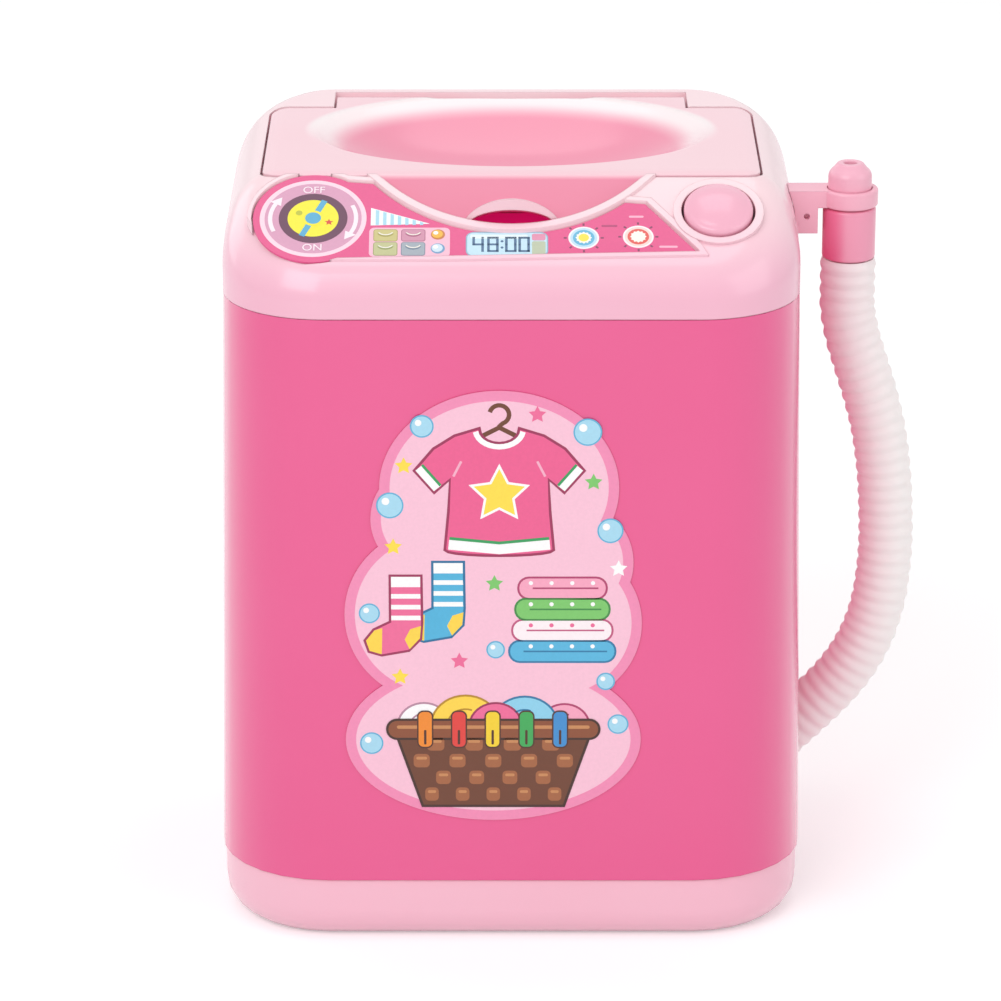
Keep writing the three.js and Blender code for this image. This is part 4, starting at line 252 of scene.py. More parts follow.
@dataclass(frozen=True)
class MouldedAbs:
    """ABS from a polished mould: a deep gloss with a faint waviness that a highlight shows, and a painted sheen
    that pales the colour towards grazing edges; sizes in mm.
    """

    name: str
    colour: str
    deeper: str
    roughness: float = 0.24
    coat: float = 0.25
    # Painted sheen: how strongly the colour pales at grazing angles, and the pale colour it turns to.
    painted_sheen: float = 0.0
    painted_sheen_colour: str = "#ffd6e2"
    shade_grain: float = 28
    gloss_grain: float = 14
    wave_grain: float = 6
    wave_depth: float = 0.004
    soft_edge: float = 0.3

    def tint(self, tree: Tree, place: Socket) -> Socket:
        """The colour socket: two close shades in wide blotches."""
        return mixed(tree, varied(tree, place, self.shade_grain, detail=1), self.colour, self.deeper)

    def material(self) -> Material:
        """Build the plastic: nearly even colour with a painted sheen at grazing angles, slow gloss changes, a
        fine wave and softened edges.
        """
        material, tree, shader, place = blank_material(self.name)
        # Painted sheen: the colour pales where the surface turns away from the view, standing in for the
        # reflection at grazing edges.
        turn = add_node(tree, "ShaderNodeLayerWeight", {"Blend": 0.5}).outputs["Facing"]
        painted_sheen_share = worked(tree, "MULTIPLY", ramped(tree, turn, 0.2, 0.9), self.painted_sheen)
        feed(tree, shader, {
            "Base Color": mixed(tree, painted_sheen_share, self.tint(tree, place), self.painted_sheen_colour),
            "Roughness": varied(tree, place, self.gloss_grain, self.roughness - 0.03, self.roughness + 0.02),
            "IOR": 1.53,
            "Coat Weight": self.coat,
            "Coat Roughness": 0.12,
        })
        bumped(tree, shader, varied(tree, place, self.wave_grain, detail=1), self.wave_depth, self.soft_edge)
        return material


@dataclass(frozen=True)
class PaintedTopLightAbs(MouldedAbs):
    """The cap's ABS: paler higher up, a painted top light where the top gets more light than the front."""

    # Painted top light: the paler colour and the heights over which the cap turns to it.
    top: str = "#f9d9df"
    top_light_from: float = 113
    top_light_to: float = 127

    def tint(self, tree: Tree, place: Socket) -> Socket:
        """The colour socket: the plain colour, turning higher up to the paler one of the painted top light."""
        # Painted top light: the colour pales with height.
        rise = ramped(tree, axes_of(tree, place)[2], self.top_light_from * MM, self.top_light_to * MM)
        return mixed(tree, rise, super().tint(tree, place), self.top)


@dataclass(frozen=True)
class DishedAbs(MouldedAbs):
    """The lid's ABS: pale on top, with a painted highlight, whiter, round the dish's rolled rim, and painted
    shade, deeper pink, in the dish and scoop.
    """

    # Painted light: the rim's highlight colour, then the painted shade in the dish and in the scoop.
    rim: str = "#fbeef0"
    deep: str = "#ee93ad"
    painted_scoop_shade: str = "#e57f9d"
    dish_starts: float = 0.5
    dish_is_deep: float = 3.2
    rim_front: float = 0
    rim_full: float = 15
    scoop_rise: float = 0.3
    scoop_starts: float = 0.4
    scoop_full: float = -0.8

    def tint(self, tree: Tree, place: Socket) -> Socket:
        """The colour socket, by place on the lid, with the painted rim highlight and the painted shade in the
        dish and scoop.
        """
        x, y, z = axes_of(tree, place)
        aside = worked(tree, "SUBTRACT", y, (FORM.dish_rear + FORM.dish_front) / 2 * MM)
        halves = ((x, FORM.dish_length / 2), (aside, (FORM.dish_rear - FORM.dish_front) / 2))
        squares = [
            worked(tree, "POWER", worked(tree, "DIVIDE", worked(tree, "ABSOLUTE", run), half * MM), 2)
            for run, half in halves
        ]
        reach = worked(tree, "SQRT", worked(tree, "ADD", *squares))
        # Painted shade: the dish turns deeper pink as it sinks.
        sunk = ramped(tree, z, (FORM.height - self.dish_starts) * MM, (FORM.height - self.dish_is_deep) * MM)
        dish = worked(tree, "MULTIPLY", ramped(tree, reach, 0.93, 0.8), sunk)
        # Painted highlight: a whiter band round the dish's rim, strongest towards the rear.
        band = worked(tree, "MULTIPLY", ramped(tree, reach, 0.84, 0.93), ramped(tree, reach, 1.04, 0.99))
        rolled = worked(tree, "MULTIPLY", band, ramped(tree, y, self.rim_front * MM, self.rim_full * MM))
        # Painted shade: deeper pink on the scoop below the crease, ahead of the lid's front.
        behind = worked(tree, "SUBTRACT", y, FORM.console * MM)
        floor = worked(tree, "MULTIPLY", behind, FORM.scoop_drop / FORM.scoop_reach)
        crease = worked(tree, "ADD", floor, (FORM.cap_top(FORM.console) + self.scoop_rise) * MM)
        starts, full = (FORM.console + offset for offset in (self.scoop_starts, self.scoop_full))
        ahead = ramped(tree, y, starts * MM, full * MM)
        scoop = worked(tree, "MULTIPLY", worked(tree, "LESS_THAN", z, crease), ahead)
        colour = super().tint(tree, place)
        for share, over in ((rolled, self.rim), (dish, self.deep), (scoop, self.painted_scoop_shade)):
            colour = mixed(tree, share, colour, over)
        return colour


@dataclass(frozen=True)
class SleeveAbs(MouldedAbs):
    """The fitting's plastic: deeper pink, a painted reflection of the pink body, down the side that faces the
    body, paler at its crown.
    """

    # Painted reflection of the pink body on the fitting's near side.
    near: str = "#ee5f8e"
    painted_reflection_share: float = 0.75
    painted_reflection_from: float = 56.3
    painted_reflection_to: float = 53.5
    ring_foot: float = 118.6
    crown: str = "#f3b2c6"
    crown_from: float = 121.2
    crown_to: float = 122.2

    def tint(self, tree: Tree, place: Socket) -> Socket:
        """The colour socket: the painted body reflection on the near side under the ring, the pale one over it.
        """
        x, _, z = axes_of(tree, place)
        # Painted reflection of the pink body: deeper pink on the side that faces it, under the ring.
        side = ramped(tree, x, self.painted_reflection_from * MM, self.painted_reflection_to * MM)
        under = worked(tree, "LESS_THAN", z, self.ring_foot * MM)
        share = worked(tree, "MULTIPLY", side, under, self.painted_reflection_share)
        over = ramped(tree, z, self.crown_from * MM, self.crown_to * MM)
        return mixed(tree, over, mixed(tree, share, super().tint(tree, place), self.near), self.crown)


@dataclass(frozen=True)
class GlowPaintedPolypropylene(MouldedAbs):
    """The tub's polypropylene, with a painted glow where the finger hole shows it."""

    # Painted glow: its strength, where it sits and how far it reaches.
    painted_glow: float = 0.42
    painted_glow_at: Place = (0, -20.5, 121.5)
    glow_fade_radius: float = 12
    glow_full_radius: float = 6

    def material(self) -> Material:
        """Build the plastic, with a painted glow, an emission, round the place behind the finger hole."""
        material = super().material()
        tree = material.node_tree
        shader = next(node for node in tree.nodes if node.type == "BSDF_PRINCIPLED")
        place = add_node(tree, "ShaderNodeTexCoord").outputs["Object"]
        # Painted glow: emission in the tub's own colour, fading with distance from one place.
        at = tuple(size * MM for size in self.painted_glow_at)
        away = add_node(tree, "ShaderNodeVectorMath", {0: place, 1: at}, operation="DISTANCE")
        near = ramped(tree, away.outputs["Value"], self.glow_fade_radius * MM, self.glow_full_radius * MM)
        feed(tree, shader, {
            "Emission Strength": worked(tree, "MULTIPLY", near, self.painted_glow),
            "Emission Color": linear(self.colour),
        })
        return material


@dataclass(frozen=True)
class BlownPolyethylene:
    """Natural polyethylene blown into a corrugated hose: milky, lets light through, waxy, not shiny."""

    name: str
    colour: str
    # Painted reflection of the pink body: the pinker colour and the span over which the hose turns to it.
    painted_reflection_tint: str
    reflection_gone_at: float = 66
    reflection_full_at: float = 52.5

    def material(self) -> Material:
        """Build the hose plastic: pinker towards the body, a painted reflection of it, with milky depth, a
        faint painted glow and a soft gloss.
        """
        material, tree, shader, place = blank_material(self.name)
        # Painted reflection of the pink body: the hose turns pinker towards it.
        span = {"From Min": self.reflection_full_at * MM, "From Max": self.reflection_gone_at * MM, "To Min": 1, "To Max": 0}
        side = add_node(tree, "ShaderNodeMapRange", {**span, "Value": axes_of(tree, place)[0]})
        feed(tree, shader, {
            "Base Color": mixed(tree, side.outputs["Result"], self.colour, self.painted_reflection_tint),
            "Roughness": varied(tree, place, 4, 0.34, 0.46),
            "IOR": 1.51,
            # A faint painted glow that brightens the hose.
            "Emission Color": linear(self.colour),
            "Emission Strength": 0.07,
            "Subsurface Weight": 0.4,
            "Subsurface Radius": (1.0, 0.8, 0.8),
            "Subsurface Scale": 3 * MM,
        })
        bumped(tree, shader, varied(tree, place, 1.2), 0.015)
        return material


@dataclass(frozen=True)
class PrintedFilm:
    """Ink on polyester film under a clear laminate: flat colour, a fine print grain and a smooth sheen."""

    name: str
    colour: str
    roughness: float = 0.32

    def material(self) -> Material:
        """Build the print: ink mottled at half a millimetre so that it shows, under a thin clear coat."""
        material, tree, shader, place = blank_material(self.name)
        mottle = varied(tree, place, 0.5, 0.97, 1.03, 1)
        ink = add_node(tree, "ShaderNodeHueSaturation", {"Color": linear(self.colour), "Value": mottle})
        feed(tree, shader, {
            "Base Color": ink.outputs["Color"],
            "Roughness": varied(tree, place, 5, self.roughness - 0.03, self.roughness + 0.05),
            "IOR": 1.5,
            "Coat Weight": 0.15,
        })
        return material


@dataclass(frozen=True)
class WorkedMetal:
    """Plated, drawn or turned metal: bright, with fine scratches that run round or along the piece."""

    name: str
    colour: str
    roughness: float

    def material(self) -> Material:
        """Build the metal: scratches at a third of a millimetre, coarser than real, so that they show."""
        material, tree, shader, place = blank_material(self.name)
        stretch = add_node(tree, "ShaderNodeMapping", {"Scale": (1, 1, 9), "Vector": place})
        scratch = varied(tree, stretch.outputs["Vector"], 0.33)
        spread = {"To Min": self.roughness - 0.06, "To Max": self.roughness + 0.1, "Value": scratch}
        dull = add_node(tree, "ShaderNodeMapRange", spread)
        feed(tree, shader, {
            "Base Color": linear(self.colour),
            "Metallic": 1.0,
            "Roughness": dull.outputs["Result"],
        })
        bumped(tree, shader, scratch, 0.004)
        return material


@dataclass(frozen=True)
class MouldedRubber:
    """Moulded rubber or soft cable insulation: dark depth, no mirror highlight, a fine matt skin."""

    name: str
    colour: str
    roughness: float = 0.7

    def material(self) -> Material:
        """Build the rubber: even colour with a fine matt grain."""
        material, tree, shader, place = blank_material(self.name)
        feed(tree, shader, {
            "Base Color": linear(self.colour),
            "Roughness": varied(tree, place, 2, self.roughness - 0.08, self.roughness + 0.05),
        })
        bumped(tree, shader, varied(tree, place, 0.4), 0.01)
        return material


@dataclass(frozen=True)
class BatteryJacket:
    """Printed steel jacket of an AA cell: blue lacquer with a light grey band at the positive end."""

    name: str
    colour: str
    band: str
    band_from_mm: float
    towards_plus_x: bool

    def material(self) -> Material:
        """Build the jacket: two lacquer colours split across the cell, under a clear coat."""
        material, tree, shader, place = blank_material(self.name)
        run = worked(tree, "MULTIPLY", axes_of(tree, place)[0], 1 if self.towards_plus_x else -1)
        banded = worked(tree, "GREATER_THAN", run, self.band_from_mm * MM)
        feed(tree, shader, {
            "Base Color": mixed(tree, banded, self.colour, self.band),
            "Metallic": 0.55,
            "Roughness": 0.32,
            "Coat Weight": 0.4,
        })
        return material


# Painted light in these finishes: the cap's paler top, the pale sheen at grazing edges of cap, base and body,
# the lid's rim highlight and dish and scoop shade, the tub's glow, and the pink body's reflection on the
# fitting and the hose.
CAP_PLASTIC = PaintedTopLightAbs("pale_pink_moulded_abs", "#f6bbd0", "#f5b6cc", painted_sheen=0.12)
BASE_PLASTIC = MouldedAbs("base_pink_moulded_abs", "#fbc2d4", "#fabdd0", painted_sheen=0.15)
BODY_PLASTIC = MouldedAbs("pink_moulded_abs", "#ec4f90", "#ea4b8c", 0.22, 0.8, 0.1)
LID_PLASTIC = DishedAbs("lid_pink_moulded_abs", "#f8ced8", "#f7c9d4")
TUB_PLASTIC = GlowPaintedPolypropylene("magenta_moulded_polypropylene", "#d9146c", "#cf1266", 0.32, 0.1)
BUTTON_PLASTIC = MouldedAbs("button_pink_moulded_abs", "#f4b4c9", "#f3aec4")
BRACKET_PLASTIC = MouldedAbs("bracket_pink_moulded_abs", "#f6b6c9", "#f5b1c5", 0.32, 0.1)
FITTING_PLASTIC = SleeveAbs("fitting_pink_moulded_polyethylene", "#f29fb9", "#f09ab5", 0.32, 0.1)
WHITE_PLASTIC = MouldedAbs("white_moulded_polystyrene", "#efeeea", "#e9e7e2", 0.42, 0.0)
NATURAL_ACETAL = MouldedAbs("natural_moulded_acetal", "#eae5d6", "#e3ddcb", 0.36, 0.0)
BLACK_PLASTIC = MouldedAbs("black_moulded_nylon", "#232325", "#2c2c2f", 0.45, 0.0)
PANEL_INK = PrintedFilm("console_printed_film", "#e2508a")
STICKER_INK = PrintedFilm("sticker_border_film", "#f48fb8")
STICKER_FIELD = PrintedFilm("sticker_field_film", "#fbc6da")
PULSATOR_PLASTIC = MouldedAbs("pulsator_pink_moulded_polypropylene", "#f2a3c0", "#ef9aba", 0.32, 0.1)
HOSE_PLASTIC = BlownPolyethylene("milky_blown_polyethylene", "#f6eceb", "#f8dee2")
STEEL = WorkedMetal("zinc_plated_steel", "#c4c6ca", 0.3)
SHAFT_STEEL = WorkedMetal("ground_steel_rod", "#cfd1d4", 0.2)
BRASS = WorkedMetal("turned_brass", "#d2ab5b", 0.28)
NICKEL = WorkedMetal("nickel_plated_spring_strip", "#d3d2cc", 0.22)
MOTOR_STEEL = WorkedMetal("drawn_motor_can", "#b7babf", 0.34)
SEAL_RUBBER = MouldedRubber("black_moulded_seal_rubber", "#242124")
RED_WIRE = MouldedRubber("red_extruded_wire_insulation", "#b92a26", 0.5)
BLACK_WIRE = MouldedRubber("black_extruded_wire_insulation", "#1d1d20", 0.5)
CELL_PLUS_RIGHT = BatteryJacket("lacquered_cell_jacket_right", "#3f6fb5", "#c9ced6", 12, True)
CELL_PLUS_LEFT = BatteryJacket("lacquered_cell_jacket_left", "#3f6fb5", "#c9ced6", 12, False)

# Inks that the print uses more than once

WHITE = "#ffffff"
SUN = "#ffe04a"
BUTTER = "#ffd84a"
ROSE = "#f06c9b"
MAROON = "#9d2c58"
LEAF = "#7cc96b"
GREEN = "#2f9e5b"
BARK = "#3c1e12"
COCOA = "#4a2517"
STRAW = "#c98a58"
BLUSH = "#f9a8c3"
PLUM = "#b23a6b"
LAKE = "#2a7aa6"
WOOD = "#6b3a22"

MATERIALS: dict[str, Material] = {}

Finish = MouldedAbs | BlownPolyethylene | PrintedFilm | WorkedMetal | MouldedRubber | BatteryJacket


def material_of(finish: Finish) -> Material:
    """Build a finish's material once and hand it out again after that."""
    if finish.name not in MATERIALS:
        MATERIALS[finish.name] = finish.material()
    return MATERIALS[finish.name]


# Mesh helpers: sizes are millimetres until a piece is settled


def placed(name: str, data: bpy.types.ID) -> Solid:
    """Add an object that holds some data to the scene."""
    made = bpy.data.objects.new(name, data)
    bpy.context.scene.collection.objects.link(made)
    return made


def object_of(bm: Mesh, name: str = "blank") -> Solid:
    """Turn a bmesh into a scene object and free it."""
    mesh = bpy.data.meshes.new(name)
    bm.to_mesh(mesh)
    bm.free()
    return placed(name, mesh)


def evaluated(piece: Solid) -> bpy.types.Mesh:
    """The mesh that an object shows: a curve drawn out, or a solid after its modifiers."""
    bpy.context.view_layer.update()
    graph = bpy.context.evaluated_depsgraph_get()
    return bpy.data.meshes.new_from_object(piece.evaluated_get(graph))


def reshaped(piece: Solid, mesh: bpy.types.Mesh) -> Solid:
    """Give a piece another mesh in place of its own and its modifiers."""
    old = piece.data
    piece.modifiers.clear()
    piece.data = mesh
    bpy.data.meshes.remove(old)
    return piece


def mesh_of_curve(drawn: Solid) -> bpy.types.Mesh:
    """The mesh of a curve or text object, which is removed."""
    mesh = evaluated(drawn)
    curve = drawn.data
    bpy.data.objects.remove(drawn)
    bpy.data.curves.remove(curve)
    return mesh


def weld(mesh: bpy.types.Mesh) -> None:
    """Close a cut mesh again: merge what lies within a micrometre, then turn its faces outwards."""
    bm = bmesh.new()
    bm.from_mesh(mesh)
    bmesh.ops.remove_doubles(bm, verts=bm.verts, dist=WELD)
    bmesh.ops.dissolve_degenerate(bm, edges=bm.edges, dist=WELD)
    bmesh.ops.recalc_face_normals(bm, faces=bm.faces)
    bm.to_mesh(mesh)
    bm.free()


def carve(target: Solid, tool: Solid, join: Join) -> Solid:
    """Change a solid by another one.

    Args:
        target: The solid that is changed.
        tool: The other solid, removed afterwards.
        join: Whether it is cut away, added or kept in common.

    Returns:
        The target.
    """
    step = target.modifiers.new("join", "BOOLEAN")
    step.operation = join.value
    step.solver = "MANIFOLD"
    step.object = tool
    mesh = evaluated(target)
    weld(mesh)
    spent = tool.data
    bpy.data.objects.remove(tool)
    bpy.data.meshes.remove(spent)
    return reshaped(target, mesh)


def cut(target: Solid, *tools: Solid) -> Solid:
    """Cut each tool away from the target."""
    for tool in tools:
        carve(target, tool, Join.CUT)
    return target


def unite(target: Solid, *others: Solid) -> Solid:
    """Add each solid to the target."""
    for other in others:
        carve(target, other, Join.ADD)
    return target


def common(target: Solid, other: Solid) -> Solid:
    """Keep only what both solids hold."""
    return carve(target, other, Join.KEEP)


def arc(cx: float, cy: float, rx: float, ry: float, start: float, end: float, steps: int) -> list[Point]:
    """Points along an elliptic arc, both ends included.

    Args:
        cx: Centre.
        cy: Centre.
        rx: Radius along the first axis.
        ry: Radius along the second axis.
        start: First angle in degrees.
        end: Last angle in degrees.
        steps: How many spans.

    Returns:
        The points in order.
    """
    turns = [math.radians(start + (end - start) * i / steps) for i in range(steps + 1)]
    return [(cx + rx * math.cos(a), cy + ry * math.sin(a)) for a in turns]


def circle(cx: float, cy: float, radius: float, steps: int = ROUND_STEPS, squash: float = 1.0) -> list[Point]:
    """Points round a circle or ellipse."""
    return arc(cx, cy, radius, radius * squash, 0, 360, steps)[:-1]


def rounded(x0: float, x1: float, y0: float, y1: float, radius: float, steps: int = 6) -> list[Point]:
    """Points round a rectangle with round corners."""
    r = radius
    return [
        *arc(x1 - r, y0 + r, r, r, -90, 0, steps),
        *arc(x1 - r, y1 - r, r, r, 0, 90, steps),
        *arc(x0 + r, y1 - r, r, r, 90, 180, steps),
        *arc(x0 + r, y0 + r, r, r, 180, 270, steps),
    ]


def moved(x: float, y: float, points: Sequence[Point]) -> list[Point]:
    """An outline moved to a place."""
    return [(x + px, y + py) for px, py in points]


def plate_mesh(points: Sequence[Point], z0: float, z1: float) -> Mesh:
    """Draw an outline up from one height to another.

    Args:
        points: The outline, counter-clockwise seen from above.
        z0: Lower face.
        z1: Upper face.

    Returns:
        A closed slab.
    """
    bm = bmesh.new()
    ring = bmesh.ops.create_circle(bm, cap_ends=True, segments=len(points), radius=1)["verts"]
    for vert, (x, y) in zip(ring, points):
        vert.co = (x, y, z0)
    lifted = bmesh.ops.extrude_face_region(bm, geom=list(bm.faces))["geom"]
    raised = [item for item in lifted if isinstance(item, bmesh.types.BMVert)]
    bmesh.ops.translate(bm, verts=raised, vec=(0, 0, z1 - z0))
    bmesh.ops.recalc_face_normals(bm, faces=bm.faces)
    return bm


def plate(points: Sequence[Point], z0: float, z1: float) -> Solid:
    """An outline drawn up into a slab, as an object."""
    return object_of(plate_mesh(points, z0, z1))


def beam(points: Sequence[Point], x0: float, x1: float) -> Solid:
    """A YZ outline drawn out along X."""
    bm = plate_mesh(points, x0, x1)
    turn = Matrix(((0, 0, 1, 0), (1, 0, 0, 0), (0, 1, 0, 0), (0, 0, 0, 1)))
    bmesh.ops.transform(bm, matrix=turn, verts=bm.verts)
    bmesh.ops.recalc_face_normals(bm, faces=bm.faces)
    return object_of(bm)


def block(x0: float, x1: float, y0: float, y1: float, z0: float, z1: float) -> Solid:
    """A plain cutting block between two corners."""
    bm = bmesh.new()
    bmesh.ops.create_cube(bm, size=1)
    bmesh.ops.scale(bm, vec=(x1 - x0, y1 - y0, z1 - z0), verts=bm.verts)
    bmesh.ops.translate(bm, vec=((x0 + x1) / 2, (y0 + y1) / 2, (z0 + z1) / 2), verts=bm.verts)
    return object_of(bm)


def turned(profile: Sequence[Point], steps: int, frame_matrix: Matrix) -> Solid:
    """Spin a profile of radius and height pairs about Z into a closed solid.

    Args:
        profile: Pairs of radius and height that start and end on the axis, or close on themselves.
        steps: Sides round.
        frame_matrix: Where the axis stands.

    Returns:
        The solid.
    """
    bm = bmesh.new()
    verts = [bm.verts.new((r, 0, z)) for r, z in profile]
    edges = [bm.edges.new(pair) for pair in zip(verts, verts[1:])]
    if profile[0][0] > 0:
        edges.append(bm.edges.new((verts[-1], verts[0])))
    bmesh.ops.spin(bm, geom=[*verts, *edges], axis=(0, 0, 1), angle=2 * math.pi, steps=steps, use_merge=True)
    bmesh.ops.remove_doubles(bm, verts=bm.verts, dist=TURNED_WELD)
    bmesh.ops.recalc_face_normals(bm, faces=bm.faces)
    bmesh.ops.transform(bm, matrix=frame_matrix, verts=bm.verts)
    return object_of(bm)


def barrel(radius: float, low: float, high: float, steps: int, frame_matrix: Matrix) -> Solid:
    """A round bar between two heights of a frame."""
    return turned([(0, low), (radius, low), (radius, high), (0, high)], steps, frame_matrix)


def rod(x0: float, x1: float, y: float, z: float, radius: float) -> Solid:
    """A round bar along X."""
    along = Matrix.Translation((x0, y, z)) @ Matrix.Rotation(math.pi / 2, 4, "Y")
    return barrel(radius, 0, x1 - x0, ROUND_STEPS, along)


def settle(piece: Solid, name: str, finish: Finish, body: Body | None, crease_deg: float = 32.0,
           stands_for: Iterable[str] = (), in_mm: bool = True, even: bool = False) -> Solid:
    """Bring a finished piece to its real size, dress it and let it ride.

    Args:
        piece: The piece, its object at the origin.
        name: Its name in the scene.
        finish: What it is made of.
        body: The rigid body that carries it, or none to leave it unattached.
        crease_deg: Corners sharper than this are edges.
        stands_for: CAD nodes that it takes the place of.
        in_mm: Whether its mesh is still in millimetres.
        even: Weigh its shading by face size, for shells cut by other solids.

    Returns:
        The piece.
    """
    piece.name = name
    piece.data.name = name
    if in_mm:
        piece.data.transform(Matrix.Scale(MM, 4))
    piece.data.materials.clear()
    piece.data.materials.append(material_of(finish))
    piece.data.shade_smooth()
    piece.data.set_sharp_from_angle(angle=math.radians(crease_deg))
    if even:
        normals = piece.modifiers.new("even_shading", "WEIGHTED_NORMAL")
        normals.keep_sharp = True
    if body is not None:
        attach(piece, body.value)
    if stands_for:
        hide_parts(*stands_for)
    log.info("%s: %d faces", name, len(piece.data.polygons))
    return piece


def copy_of(node: str) -> Solid:
    """A copy of a CAD node with its loose triangles merged and flat areas joined up."""
    bm = bmesh.new()
    bm.from_mesh(frame["nodes"][node].data)
    bmesh.ops.remove_doubles(bm, verts=bm.verts, dist=NODE_WELD)
    bmesh.ops.dissolve_limit(bm, angle_limit=FLAT_ANGLE, verts=bm.verts, edges=bm.edges)
    return object_of(bm, node)


# Soft-cornered blocks


@dataclass(frozen=True)
class Level:
    """One plan outline of a soft-cornered block, whose height may follow y."""

    half_width: float
    front: float
    rear: float
    corner_x: float
    corner_front: float
    corner_rear: float
    height: Callable[[float], float]

    def right_half(self, breaks: Sequence[float]) -> list[Point]:
        """Points down the right side from the front to the rear.

        Args:
            breaks: Extra places along the straight side.

        Returns:
            The points in order.
        """
        half = self.half_width
        side, front, rear = self.corner_x, self.corner_front, self.corner_rear
        return [
            *arc(half - side, self.front + front, side, front, -90, 0, CORNER_STEPS),
            *((half, y) for y in breaks),
            *arc(half - side, self.rear - rear, side, rear, 0, 90, CORNER_STEPS),
        ]


def soft_block(levels: Sequence[Level], breaks: Sequence[float] = ()) -> Solid:
    """Raise a block through its levels and lay its top in strips from side to side.

    Args:
        levels: Outlines from the lowest to the highest.
        breaks: Extra places along the straight sides.

    Returns:
        The closed block.
    """
    bm = bmesh.new()
    half = len(levels[0].right_half(breaks))
    order = bm.verts.layers.int.new("order")
    ring = bmesh.ops.create_circle(bm, cap_ends=True, segments=2 * half, radius=1)["verts"]
    for number, vert in enumerate(ring):
        vert[order] = number
    top = next(iter(bm.faces))
    for count, level in enumerate(levels):
        if count:
            lifted = bmesh.ops.extrude_face_region(bm, geom=[top])["geom"]
            if count > 1:
                bmesh.ops.delete(bm, geom=[top], context="FACES_ONLY")
            ring = [item for item in lifted if isinstance(item, bmesh.types.BMVert)]
            top = next(item for item in lifted if isinstance(item, bmesh.types.BMFace))
        right = level.right_half(breaks)
        outline = [*right, *((-x, y) for x, y in reversed(right))]
        for vert in ring:
            x, y = outline[vert[order]]
            vert.co = (x, y, level.height(y))
    placed = {vert[order]: vert for vert in ring}
    for number in range(1, half - 1):
        split = bmesh.utils.face_split(top, placed[number], placed[2 * half - 1 - number])[0]
        top = split if placed[half - 1] in split.verts else top
    bmesh.ops.recalc_face_normals(bm, faces=bm.faces)
    return object_of(bm)


